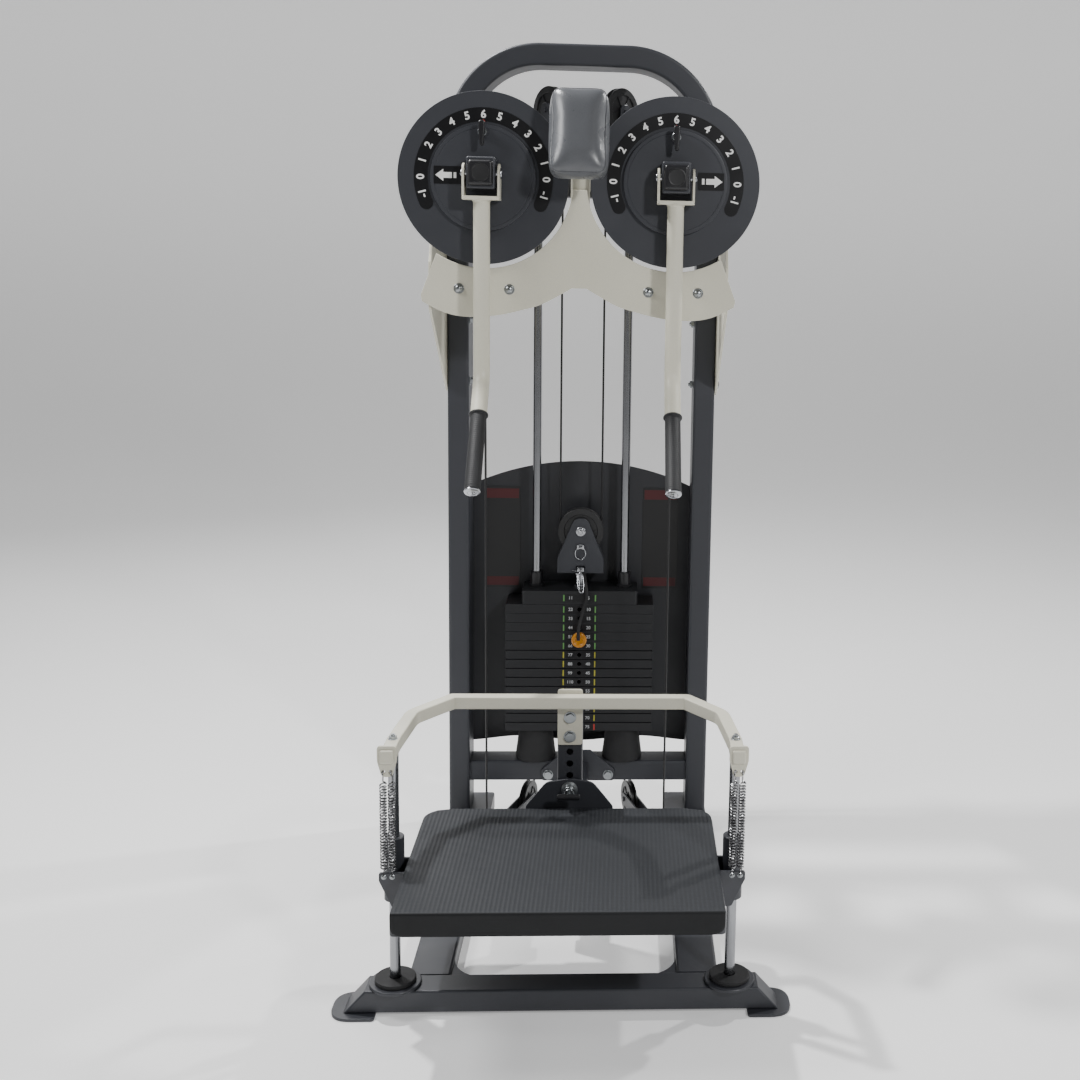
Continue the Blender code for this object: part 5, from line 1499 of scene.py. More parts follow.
@dataclass
class LeverPlate:
    """The disc in front of the large one, with the hub block, the arrow label and the pin's barrel."""

    side: Side
    x: float = 0.202
    z: float = 1.577
    rear: float = 0.1597
    thick: float = 0.0095
    round: float = 0.1100
    pivot_y: float = 0.1202
    pivot_z: float = 1.585
    hub_w: float = 0.060
    hub_h: float = 0.066
    cap: float = 0.052
    reach: float = 0.030
    cap_reach: float = 0.010
    ring: float = 0.094

    def build(self) -> None:
        """Builds the disc, the hub, the label and the locking pin."""
        s, word = self.side.value, self.side.word
        x, body = s * self.x, word + "_lever_plate"
        face = self.rear - self.thick
        r = self.round
        profile = [(0, self.rear), (r, self.rear), (r, face + 0.0014), (r - 0.0004, face + 0.0004),
                   (r - 0.0014, face), (r - 0.0075, face), (r - 0.0080, face + 0.0005),
                   (r - 0.0088, face + 0.0005), (r - 0.0093, face), (0, face)]
        disc = revolve("disc", profile, (x, 0, self.z), (0, 1, 0), 128)
        pin_z = self.z + self.ring
        hub = block("hub", (x - self.hub_w / 2, self.pivot_y - self.reach + self.cap_reach,
                            self.pivot_z - self.hub_h / 2),
                    (x + self.hub_w / 2, face + 0.001, self.pivot_z + self.hub_h / 2), 0.0045, 5)
        barrel = revolve("barrel", [(0, 0.001), (0.0110, 0.001), (0.0110, -0.0112), (0.0102, -0.012),
                                    (0, -0.012)],
                         (x, face, pin_z), (0, 1, 0), 40)
        bore = rod("bore", (x, face - 0.03, pin_z), (x, self.rear + 0.01, pin_z), 0.0058, 24)
        cross = rod("cross", (x - 0.05, self.pivot_y, self.pivot_z), (x + 0.05, self.pivot_y, self.pivot_z),
                    0.0083, 32)
        spare = rod("bore", (x, face - 0.03, pin_z), (x, self.rear + 0.01, pin_z), 0.0058, 24)
        base = join("lever_disc_" + word, carve(disc, bore), carve(hub, cross), carve(barrel, spare))
        place_piece(base, "frame_coat", body, "frame_paint", "lever_plate_" + word)
        f = self.cap / 2
        front = self.pivot_y - self.reach
        cap = block("hub_cap_" + word, (x - f, front, self.pivot_z - f),
                    (x + f, front + self.cap_reach + 0.004, self.pivot_z + f), 0.0070, 6)
        place_piece(cap, "black_cap", body, "black_plastic")
        badge = revolve("hub_badge_" + word, [(0, 0), (0.0150, 0), (0.0165, -0.0004), (0.0172, 0.0002),
                                              (0.0178, -0.0004), (0.0190, -0.0002), (0.0195, 0.0012),
                                              (0, 0.0012)],
                        (x, front - 0.0006, self.pivot_z), (0, 1, 0), 64)
        place_piece(badge, "pulley_nylon", body, "black_plastic")
        self._label(x, face, body)
        self._pin(x, face, pin_z)

    def _label(self, x: float, face: float, body: str) -> None:
        """Black label with a white arrow that points outward.

        Args:
            x: the disc's middle.
            face: the disc's front face.
            body: the body that it rides on.
        """
        s, word = self.side.value, self.side.word
        z = self.z + 0.004
        near, far = 0.0465, 0.1025
        a, b = sorted((s * near, s * far))
        place = front_face(face + 0.0001, x, z)
        place_piece(plate("arrow_label_" + word, [oblong(a, -0.0185, b, 0.0185, 0.0010, 2)], 0, 0.0006, place,
                          0.0001, 1),
                    "band_black", body, "black_plastic")
        arrow = [(near + 0.018, -0.0060), (near + 0.036, -0.0060), (near + 0.036, -0.0125), (far - 0.0035, 0),
                 (near + 0.036, 0.0125), (near + 0.036, 0.0060), (near + 0.018, 0.0060)]
        tail = [(near + 0.009, -0.0060), (near + 0.0145, -0.0060), (near + 0.0145, 0.0060),
                (near + 0.009, 0.0060)]
        marks = [plate("mark", [[(s * a, b) for a, b in loop]], 0.0006, 0.0009, place, 0.00005, 1)
                 for loop in (arrow, tail)]
        place_piece(join("arrow_" + word, *marks), "ink_white", body, "black_plastic")

    def _pin(self, x: float, face: float, z: float) -> None:
        """Spring pin with its upright T handle.

        Args:
            x: the pin's place across.
            face: the lever disc's front face.
            z: the pin's height.
        """
        word = self.side.word
        front = face - 0.0123
        body = word + "_pin"
        shank = revolve("shank", [(0, 0.168), (0.0040, 0.168), (0.0055, 0.1665), (0.0055, front),
                                  (0.0086, front),
                                  (0.0092, front - 0.0008), (0.0092, front - 0.0042), (0.0084, front - 0.005),
                                  (0.0042, front - 0.005), (0.0042, front - 0.013), (0, front - 0.013)],
                        (x, 0, z), (0, 1, 0), 40)
        place_piece(shank, "zinc", body, "steel", "disc_pin_" + word)
        grip = plate("disc_handle_" + word, [fillet([(-0.0042, -0.030), (0.0042, -0.030), (0.0062, 0.000),
                                                     (0.0070, 0.022), (-0.0070, 0.022), (-0.0062, 0.0)],
                                                    [0.0040, 0.0040, 0.01, 0.0060, 0.0060, 0.01], 6)],
                     0.0095, 0.0200, front_face(front, x, z), 0.0030, 4)
        place_piece(grip, "black_cap", body, "black_plastic")


@dataclass
class Lever:
    """Bent lever on its yoke, with the foam grip and the capped end."""

    side: Side
    x: float = 0.202
    y: float = 0.1202
    z: float = 1.585
    round: float = 0.0174
    drop: float = 0.047
    base: float = 0.008
    yoke_w: float = 0.078
    yoke_t: float = 0.005
    yoke_d: float = 0.044
    bend_z: float = 1.160
    lean: float = 40.5
    neck: float = 0.093
    grip_long: float = 0.192
    grip_round: float = 0.0165

    def build(self) -> None:
        """Builds the lever, the yoke, the bolts and the grip."""
        x, y, z = self.side.value * self.x, self.y, self.z
        word, body = self.side.word, self.side.word + "_lever"
        lean, bend = math.radians(self.lean), 0.060
        reach = bend * math.tan(lean / 2)
        top = z - self.drop - self.base + 0.001
        points = [(x, y, top), (x, y, self.bend_z + reach + 0.1)]
        points += [(x, y - bend + bend * math.cos(lean * k / 16),
                    self.bend_z + reach - bend * math.sin(lean * k / 16))
                   for k in range(17)]
        way = Vector((0, -math.sin(lean), -math.cos(lean)))
        end = Vector((x, y, self.bend_z)) + way * self.neck
        points.append(tuple(end))
        tube = sweep("tube", points, circle(0, 0, self.round, 40), (1, 0, 0))
        low, w, d = top - 0.001, self.yoke_w / 2, self.yoke_d / 2
        foot = plate("foot", [oblong(x - w, y - d, x + w, y + d, 0.006, 5)], low, low + self.base,
                     level_face(0), 0.0012, 3)
        ear = bows(y, z, d - 0.002, 0, 180, 28) + [(y - d + 0.002, low + self.base - 0.001),
                                                   (y + d - 0.002, low + self.base - 0.001)]
        hole = circle(y, z, 0.0090, 28)
        ears = []
        for s in (-1, 1):
            a, b = sorted((x + s * (w - 0.0002), x + s * (w - self.yoke_t)))
            ears.append(plate("ear", [ear, hole], a, b, side_face(0), 0.0010, 3))
        r, weld = self.round, 0.0060
        bead = [(r + weld * (1 - math.cos(t)), low - weld * (1 - math.sin(t))) for t in
                [math.pi / 2 * k / 8 for k in range(9)]]
        collar = revolve("collar", [(r - 0.001, low - weld - 0.002), (r + 0.0002, low - weld - 0.001), *bead,
                                    (r + weld, low + 0.001), (r - 0.001, low + 0.001)], (x, y, 0), (0, 0, 1),
                         44, closed=True)
        shoulder = revolve("shoulder", [(0, -0.003), (self.round, -0.003), (self.round, -0.001),
                                        (self.round - 0.001, 0), (0, 0)],
                           end, way, 40)
        place_piece(join("lever_frame_" + word, tube, foot, collar, shoulder, *ears), "cream_coat", body,
                    "cream_paint", "lever_arm_" + word)
        pin = rod("pin", (x - w - 0.001, y, z), (x + w + 0.001, y, z), 0.0080, 36)
        heads = scatter("heads", Fastener(Head.DOME, 0.0180, 0.0042, 0.0115, 0.0012).model(),
                        [((x + s * w, y, z), (s, 0, 0)) for s in (-1, 1)], PALETTE["chrome"])
        stub = rod("stub", end - way * 0.002, end + way * (self.grip_long - 0.012), 0.0128, 32)
        place_piece(join("lever_pivot_" + word, pin, heads, stub), "chrome", body, "chrome")
        self._grip(end, way, body)

    def _grip(self, start: Vector, way: Vector, body: str) -> None:
        """Ribbed foam grip with a flange, and the chrome cap on its end.

        Args:
            start: where the grip begins.
            way: its direction.
            body: the body that it rides on.
        """
        r, long = self.grip_round, self.grip_long
        profile = [(0.0133, 0.0003), (r + 0.0028, 0.0003), (r + 0.0035, 0.0010), (r + 0.0035, 0.0032),
                   (r + 0.0028, 0.0042), (r + 0.0004, 0.0050)]
        count = 36
        for k in range(count):
            a = 0.0065 + (long - 0.0200) * k / count
            pitch = (long - 0.0200) / count
            profile += [(r - 0.0004, a), (r, a + pitch * 0.22), (r, a + pitch * 0.78)]
        profile += [(r - 0.0004, long - 0.0135), (r, long - 0.0130), (r, long - 0.0080),
                    (r - 0.0010, long - 0.0072), (0.0133, long - 0.0072)]
        place_piece(revolve("grip_sleeve_" + self.side.word, profile, start, way, 44, closed=True), "grip_foam",
                    body, "rubber", "grip_" + self.side.word)
        cap = [(0, long - 0.0110), (r - 0.0006, long - 0.0071), (r + 0.0002, long - 0.0064),
               (r + 0.0002, long - 0.0040)]
        cap += [(r * math.cos(t), long - 0.0040 + 0.0038 * math.sin(t))
                for t in [math.pi / 2 * k / 7 for k in range(1, 5)]]
        edge = cap[-1]
        cap += [(edge[0] - 0.0008, edge[1] - 0.0007), (edge[0] - 0.0018, edge[1] - 0.0007),
                (edge[0] - 0.0026, edge[1] + 0.0001), (edge[0] * 0.4, long), (0, long)]
        place_piece(revolve("grip_cap_" + self.side.word, cap, start, way, 44), "chrome", body, "chrome")


# ---------------------------------------------------------------- pad
@dataclass
class HeadPad:
    """Upholstered pad on its bracket, filled by a short cloth simulation."""

    wide: float = 0.120
    long: float = 0.167
    thick: float = 0.065
    y: float = 0.050
    z: float = 1.680
    lean: float = 21.0
    inset: float = 0.0060
    voxel: float = 0.0045
    most: float = 0.0050
    swell: tuple[float, float, float] = (0.0022, 0.0125, 0.0012)
    crown: tuple[float, float] = (0.0125, 0.0030)
    seam_depth: float = 0.30

    def place(self) -> Matrix:
        """Placement on the middle of the pad's face, with Z out of it."""
        lean = math.radians(self.lean)
        return facing((0, self.y, self.z), (1, 0, 0), (0, math.sin(lean), math.cos(lean)))

    def build(self, frame: dict) -> None:
        """Builds the cushion with its seam and piping, and dresses the bracket.

        Args:
            frame: the loaded frame.
        """
        place = self.place()
        w, l, i = self.wide / 2 - self.inset, self.long / 2 - self.inset, self.inset
        body = block("head_pad_cushion", (-w, -l, -self.thick + i * 0.5), (w, l, -i), 0.0120, 6)
        body = self._inflate(body)
        calm = body.modifiers.new("calm", "SMOOTH")
        calm.factor, calm.iterations = 0.5, 34
        soft = body.modifiers.new("soft", "SUBSURF")
        soft.levels = soft.render_levels = 1
        body = plain(body)
        self._fit(body)
        body.data.transform(place)
        settle(body, 60)
        place_piece(body, "pad_vinyl", "frame", "vinyl", "head_pad")
        self._seam(body, place)
        dress_node(frame, "pad_bracket", "cream_coat", 0.0012)
        back = plate("pad_board", [oblong(-w + 0.004, -l + 0.004, w - 0.004, l - 0.004, 0.008, 5)],
                     -self.thick - 0.0001, -self.thick + 0.0030, place, 0.0008)
        place_piece(back, "black_cap", "frame", "black_plastic")

    def _fit(self, body: bpy.types.Object) -> None:
        """Draws the cushion out to the pad's full size and its small swell.

        Args:
            body: the cushion in its own frame.
        """
        points = np.empty(len(body.data.vertices) * 3)
        body.data.vertices.foreach_get("co", points)
        points = points.reshape(-1, 3)
        low, high = points.min(0), points.max(0)
        a, b, c = self.swell
        aim_low = np.array([-self.wide / 2 - a, -self.long / 2 - b, -self.thick + 0.0004])
        aim_high = np.array([self.wide / 2 + a, self.long / 2 + b, c])
        points = aim_low + (points - low) / (high - low) * (aim_high - aim_low)
        near = np.clip(points[:, 2] / self.thick + 1.0, 0.0, 1.0) ** 2
        across, along = np.abs(points[:, 0]) / aim_high[0], np.abs(points[:, 1]) / aim_high[1]
        points[:, 2] -= near * (self.crown[0] * across ** 4 + self.crown[1] * along ** 8)
        body.data.vertices.foreach_set("co", points.ravel())
        body.data.update()

    def _inflate(self, body: bpy.types.Object) -> bpy.types.Object:
        """Fills the cushion with air for twenty frames and caps how far each point may move.

        Args:
            body: the cushion in its own frame, slightly small.

        Returns:
            The filled cushion.
        """
        remesh = body.modifiers.new("voxels", "REMESH")
        remesh.mode, remesh.voxel_size = "VOXEL", self.voxel
        body = plain(body)
        rest = np.empty(len(body.data.vertices) * 3)
        body.data.vertices.foreach_get("co", rest)
        rest = rest.reshape(-1, 3)
        held = body.vertex_groups.new(name="held")
        low = -self.thick + self.inset * 0.5
        held.add([i for i, p in enumerate(rest) if p[2] < low + 0.006], 1.0, "REPLACE")
        cloth = body.modifiers.new("cloth", "CLOTH")
        cloth.settings.use_pressure = True
        cloth.settings.uniform_pressure_force = 4.0
        cloth.settings.tension_stiffness = cloth.settings.compression_stiffness = 18
        cloth.settings.effector_weights.gravity = 0
        cloth.settings.vertex_group_mass = "held"
        cloth.collision_settings.use_self_collision = False
        scene = bpy.context.scene
        for step in range(1, 21):
            scene.frame_set(step)
            bpy.context.view_layer.update()
        graph = bpy.context.evaluated_depsgraph_get()
        mesh = bpy.data.meshes.new_from_object(body.evaluated_get(graph), depsgraph=graph)
        moved = np.empty(len(mesh.vertices) * 3)
        mesh.vertices.foreach_get("co", moved)
        shift = moved.reshape(-1, 3) - rest
        far = np.linalg.norm(shift, axis=1, keepdims=True)
        shift *= np.minimum(1.0, self.most / np.maximum(far, 1e-9))
        mesh.vertices.foreach_set("co", (rest + shift).ravel())
        bpy.data.objects.remove(body, do_unlink=True)
        scene.frame_set(1)
        log.info("cushion filled, largest move %.1f mm", 1000 * float(far.max()))
        return link("head_pad_cushion", mesh)

    def _seam(self, body: bpy.types.Object, place: Matrix) -> None:
        """Piping that lies on the cushion's side, all the way round near its face.

        Args:
            body: the finished cushion.
            place: the pad's own placement.
        """
        depth = -self.thick * self.seam_depth
        back = place.inverted()
        line = []
        for k in range(96):
            t = 2 * math.pi * k / 96
            out = Vector((math.cos(t), math.sin(t), 0))
            start = Vector((0, 0, depth)) + out * 0.2
            hit, at, _, _ = body.ray_cast(place @ start, (place.to_3x3() @ -out), distance=0.3)
            if hit:
                line.append(place @ ((back @ at) + out * 0.0002))
        cord = sweep("pad_piping", [*line, line[0], line[1]], circle(0, 0, 0.0013, 10), None, False)
        place_piece(cord, "pad_vinyl", "frame", "vinyl")


# ---------------------------------------------------------------- weight stack
@dataclass
class WeightStack:
    """Plates with their label strip, head plate, floating pulley, guide rods, selector and shroud."""

    y: float = 0.470
    wide: float = 0.355
    deep: float = 0.100
    count: int = 14
    guide_x: float = 0.1065
    guide_r: float = 0.010
    strip: float = 0.0405
    wheel_z: float = 0.758
    wheel_r: float = 0.050
    wheel_w: float = 0.022
    knob_r: float = 0.0185
    knob_t: float = 0.014
    strap: float = 0.0076
    levels: list[float] = field(default_factory=list)

    def build(self, frame: dict) -> None:
        """Builds everything that belongs to the stack.

        Args:
            frame: the loaded frame.
        """
        pile_low, pile_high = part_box("weight_plates_resting")
        first_low, first_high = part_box("weight_plate_1")
        pitch = (first_low[2] - pile_low[2]) / (self.count - 1)
        self.levels = [first_low[2] + pitch / 2 - 0.0011 - k * pitch for k in range(self.count)]
        dress_node(frame, "weight_plates_resting", "stack_iron", 0.0006)
        for k in range(1, 5):
            dress_node(frame, "weight_plate_%d" % k, "stack_iron", 0.0009)
        dress_node(frame, "stack_head", "stack_iron", 0.0016)
        self._labels(pitch)
        self._guides()
        self._bracket()
        self._selector()
        self._shroud()

    def _labels(self, pitch: float) -> None:
        """Label strip on every plate: coloured bars at its edges and plain weight numbers.

        Args:
            pitch: from one plate to the next.
        """
        face = self.y - self.deep / 2
        head_low, head_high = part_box("stack_head")
        head_z = self.levels[0] + pitch / 2 + 0.0170
        rows = [(head_z, 5, "stack")] + [(z, 10 + 5 * k, "stack" if k < 4 else "frame")
                                         for k, z in enumerate(self.levels)]
        for body in ("stack", "frame"):
            backs, words = [], []
            bars: dict[str, list[bpy.types.Object]] = {"tab_green": [], "tab_yellow": [], "tab_red": []}
            for k, (z, kilos, home) in enumerate(rows):
                if home != body:
                    continue
                h = 0.0086
                hole = circle(0, z, 0.0062, 24) if k else circle(0, z, 0.0030, 16)
                backs.append(plate("back", [oblong(-self.strip, z - h, self.strip, z + h, 0.0012, 2), hole],
                                   0.0001, 0.0005, front_face(face), 0.0001, 1))
                look = "tab_green" if kilos <= 30 else "tab_yellow" if kilos <= 70 else "tab_red"
                for s in (-1, 1):
                    a, b = sorted((s * (self.strip - 0.0042), s * (self.strip - 0.0010)))
                    bars[look].append(plate("bar", [oblong(a, z - h + 0.0008, b, z + h - 0.0008, 0.0004, 1)],
                                            0.0005, 0.0008, front_face(face), 0.0001, 1))
                pounds = round(kilos * 2.2046)
                for s, word in ((-1, str(pounds)), (1, str(kilos))):
                    words.append(lettering("number", word, 0.0108, front_face(face - 0.0005, s * 0.0215, z),
                                           0.0002, 0.02))
            place_piece(join("stack_labels_" + body, *backs), "band_black", body, "black_plastic")
            place_piece(join("stack_numbers_" + body, *words), "ink_grey", body, "black_plastic")
            for look, parts in bars.items():
                if parts:
                    place_piece(join("stack_bars_%s_%s" % (look, body), *parts), look, body, "black_plastic")

    def _guides(self) -> None:
        """Chrome guide rods, their collars on the head plate and the rubber bumpers."""
        for side in Side:
            s, word = side.value, side.word
            x = s * self.guide_x
            low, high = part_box("guide_rod_" + word)
            # The guide rod uses the chrome copy that is darkened as painted shade.
            place_piece(rod("guide_bar_" + word, (x, self.y, low[2]), (x, self.y, high[2]), self.guide_r, 56,
                            0.001),
                        "rod_chrome", "frame", "chrome", "guide_rod_" + word)
            low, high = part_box("stack_bumper_" + word)
            tall, a, b = high[2] - low[2], 0.049, 0.0405
            profile = [(0.0103, 0), (a - 0.003, 0), (a - 0.0008, 0.001), (a, 0.003), (a, 0.010),
                       (a - 0.0006, 0.013)]
            profile += [(b + (a - b) * (0.80 * (1 - k / 8) + 0.12 * (1 - k / 8) ** 2),
                         0.016 + (tall - 0.019) * k / 8)
                        for k in range(9)]
            profile += [(b - 0.001, tall - 0.001), (b - 0.004, tall), (0.0103, tall)]
            place_piece(revolve("bumper_" + word, profile, (x, self.y, low[2]), (0, 0, 1), 64, closed=True),
                        "buffer_rubber", "frame", "rubber", "stack_bumper_" + word)
            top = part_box("stack_head")[1][2]
            profile = [(0.0137, -0.038), (0.0175, -0.038), (0.0182, -0.0372), (0.0182, -0.033),
                       (0.0152, -0.0315), (0.0150, -0.003), (0.0142, -0.001), (0.0137, -0.001)]
            place_piece(revolve("head_collar_" + word, profile, (x, self.y, top), (0, 0, 1), 48, closed=True),
                        "black_cap", "stack", "black_plastic")

    def _bracket(self) -> None:
        """Bracket of the floating pulley with its bolt, the pulley, the ring and the snap hook."""
        y, z = self.y, self.wheel_z
        low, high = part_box("pulley_bracket")
        base, web = low[2], low[2] + 0.036
        half, crown, waist, r = 0.056, z + 0.010, low[2] + 0.071, 0.023
        away = math.hypot(half, crown - waist)
        t = math.degrees(math.acos(r / away) - math.atan2(crown - waist, half))
        loop = [(-half, web), (half, web), (half, waist)] + bows(0, crown, r, t, 180 - t, 28) + [(-half, waist)]
        inner = self.wheel_w / 2 + 0.0025
        slot = oblong(-0.011, web + 0.010, 0.011, web + 0.018, 0.0039, 5)
        parts = []
        for a in (inner, -inner - 0.004):
            parts.append(plate("cheek", [loop, slot], a, a + 0.004, front_face(y), 0.0008))
        parts.append(block("web", (-half + 0.0015, y - inner - 0.001, web + 0.0006),
                           (half - 0.0015, y + inner + 0.001, web + 0.006), 0.001))
        place_piece(join("pulley_cheeks", *parts), "frame_coat", "stack", "frame_paint", "pulley_bracket")
        reach = inner + 0.004
        bolt = revolve("bolt", [(0, 0), (0.016, 0), (0.016, 0.004), (0.0155, 0.0045), (0.010, 0.0045),
                                (0.010, 0.0310),
                                (0.0165, 0.0310), (0.0165, 0.0345), (0.010, 0.0352), (0, 0.0352)], (0, y, base),
                       (0, 0, 1), 40)
        axle = rod("axle", (0, y - reach - 0.001, z), (0, y + reach + 0.001, z), 0.0059, 32)
        nuts = scatter("nuts", Fastener(Head.NUT, 0.0170, 0.0060, 0.0115, 0.0014).model(),
                       [((0, y - reach, z), (0, -1, 0)), ((0, y + reach, z), (0, 1, 0))], PALETTE["chrome"])
        place_piece(join("bracket_hardware", bolt, axle, nuts, *self._snap_hook(y - reach)), "chrome", "stack",
                    "chrome")
        wheel = Wheel(self.wheel_r, self.wheel_w, 0.0063)
        place_piece(wheel.model("float_wheel", (0, y, z), (0, 1, 0)), "pulley_nylon", "stack_wheel",
                    "black_plastic", "stack_pulley")

    def _snap_hook(self, face: float) -> list[bpy.types.Object]:
        """Clip, key ring, swivel and snap hook that hang on the bracket's front.

        Args:
            face: the bracket's front face.

        Returns:
            The parts.
        """
        top = self.wheel_z - 0.0375
        y = face - 0.0042
        clip = [block("clip", (-0.0085, face - 0.0075, top - 0.0050), (-0.0045, face + 0.0004, top + 0.0060),
                      0.0008, 2),
                block("clip", (0.0045, face - 0.0075, top - 0.0050), (0.0085, face + 0.0004, top + 0.0060),
                      0.0008, 2),
                block("clip", (-0.0085, face - 0.0015, top - 0.0050), (0.0085, face + 0.0004, top + 0.0060),
                      0.0006, 2),
                rod("clip", (-0.0095, face - 0.0050, top + 0.0020), (0.0095, face - 0.0050, top + 0.0020),
                    0.0014, 16, 0.0004)]
        turns = [2 * math.pi * k / 48 for k in range(49)]
        ring = sweep("ring", [(0.0126 * math.cos(a), y - 0.0008 - 0.0010 * math.sin(a),
                               top - 0.0150 + 0.0155 * math.sin(a))
                              for a in turns], circle(0, 0, 0.0013, 12), (0, 1, 0), False)
        z = top - 0.0580
        swivel = [block("swivel", (-0.0070, y - 0.0052, z - 0.0030), (0.0090, y + 0.0022, z + 0.0095), 0.0022,
                        3),
                  revolve("swivel", [(0, -0.008), (0.0046, -0.008), (0.0054, -0.0065), (0.0044, 0.0030),
                                     (0.0060, 0.0050),
                                     (0.0052, 0.0085), (0, 0.0095)], (0.001, y - 0.0015, z + 0.0010), (0, 0, 1),
                          28),
                  rod("trigger", (-0.0190, y - 0.0025, z + 0.0010), (-0.0060, y - 0.0030, z - 0.0004), 0.0016,
                      16, 0.0006)]
        head, foot = Vector((-0.0005, y - 0.0040, z - 0.0040)), Vector((0.0050, 0.4125, z - 0.0450))
        keys = [(0.0, 0.0), (0.006, 0.08), (0.0072, 0.30), (0.0072, 0.62), (0.0045, 0.92), (0.0, 1.0),
                (-0.0050, 0.92), (-0.0074, 0.70), (-0.0074, 0.40), (-0.0060, 0.12), (0.0, 0.0)]
        loop = sweep("loop", smooth_line([head.lerp(foot, t) + Vector((a, 0, 0)) for a, t in keys], 6),
                     circle(0, 0, 0.0021, 12), (0, 1, 0.5))
        gate = rod("gate", head.lerp(foot, 0.10) + Vector((-0.004, 0, 0)),
                   head.lerp(foot, 0.86) + Vector((-0.0035, 0, 0)), 0.0016, 16, 0.0006)
        return [*clip, ring, *swivel, loop, gate]

    def _selector(self) -> None:
        """Selector pin with its amber disc knob."""
        low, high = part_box("selector_pin")
        z, front = (low[2] + high[2]) / 2, self.y - self.deep / 2
        face, r, t = front - 0.018, self.knob_r, self.knob_t
        pin = revolve("pin_shank", [(0, high[1]), (0.0025, high[1]), (0.0045, high[1] - 0.003),
                                    (0.0045, front - 0.010),
                                    (0.0080, front - 0.010), (0.0080, face + 0.0005), (0, face + 0.0005)],
                      (0, 0, z), (0, 1, 0), 32)
        place_piece(pin, "chrome", "selector", "steel")
        knob = [(0, face)] + [(r - 0.0035 + 0.0035 * math.cos(a), face - 0.0035 + 0.0035 * math.sin(a))
                              for a in [math.pi / 2 - math.pi / 2 * k / 6 for k in range(7)]]
        knob += [(r - 0.0035 + 0.0035 * math.cos(a), face - t + 0.0035 - 0.0035 * math.sin(a))
                 for a in [math.pi / 2 * k / 6 for k in range(7)]]
        knob += [(r * 0.62, face - t + 0.0004), (r * 0.55, face - t + 0.0016), (r * 0.3, face - t + 0.0016),
                 (0, face - t + 0.0010)]
        place_piece(revolve("selector_knob", knob, (0, 0, z), (0, 1, 0), 64), "knob_amber", "selector",
                    "orange_knob", "selector_pin")

    def lanyard(self) -> None:
        """The lanyard strap between the hook and the knob."""
        low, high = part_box("selector_pin")
        knob_z, front = (low[2] + high[2]) / 2, self.y - self.deep / 2
        head_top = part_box("pulley_bracket")[0][2] - 0.0003
        knob = front - 0.018 - self.knob_t
        keys = [(0.0080, self.y - 0.0275, head_top + 0.0405), (0.0120, self.y - 0.0400, head_top + 0.0300),
                (0.0150, front - 0.0040, head_top + 0.0120), (0.0172, front - 0.0120, head_top - 0.0130),
                (0.0110, front - 0.0160, head_top - 0.0350), (0.0040, front - 0.0230, head_top - 0.0620),
                (-0.0006, knob + 0.0010, knob_z + 0.0290), (-0.0012, knob - 0.0021, knob_z + 0.0180),
                (-0.0012, knob - 0.0021, knob_z + 0.0010)]
        line = smooth_line(keys, 6)
        long = sum((b - a).length for a, b in zip(line, line[1:]))
        w, t = self.strap / 2, 0.0013
        strap = sweep("pin_lanyard_strap", line, fillet([(-t, -w), (t, -w), (t, w), (-t, w)], 0.0012, 3),
                      (1, 0, 0))
        place_piece(strap, "cable_jacket", None, "cable_jacket", "pin_lanyard")
        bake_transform(strap)

    def _shroud(self) -> None:
        """Arched sheet behind the stack and two plain placards."""
        low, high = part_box("rear_shroud")
        y, half, side_z, top_z = low[1], 0.290, 0.848, 0.919
        rise = top_z - side_z
        radius = (half * half + rise * rise) / (2 * rise)
        span = math.degrees(math.asin(half / radius))
        top = bows(0, top_z - radius, radius, 90 - span, 90 + span, 64)
        lower = [(-half + 2 * half * k / 72, low[2] + 0.012 * (1 - math.cos(4 * math.pi * k / 72)) / 2)
                 for k in range(73)]
        place_piece(plate("shroud_sheet", [top + lower], -(high[1] - y), 0, front_face(y), 0.0008, 2),
                    "shroud_coat", "frame", "shroud_sheet", "rear_shroud")
        for side in Side:
            s, word = side.value, side.word
            a, b = sorted((s * 0.150, s * 0.238))
            z0, z1 = 0.600, 0.855
            face = front_face(y - 0.0001)
            place_piece(plate("placard_" + word, [oblong(a, z0, b, z1, 0.003, 4)], 0, 0.0010, face, 0.0002, 1),
                        "placard_grey", "frame", "shroud_sheet")
            bands = [plate("band", [oblong(a + 0.004, z1 - 0.030, b - 0.004, z1 - 0.006, 0.001, 2)], 0.0010,
                           0.0013, face, 0.0001, 1),
                     plate("band", [oblong(a + 0.004, z0 + 0.006, b - 0.004, z0 + 0.028, 0.001, 2)], 0.0010,
                           0.0013, face, 0.0001, 1)]
            place_piece(join("placard_bands_" + word, *bands), "placard_red", "frame", "shroud_sheet")


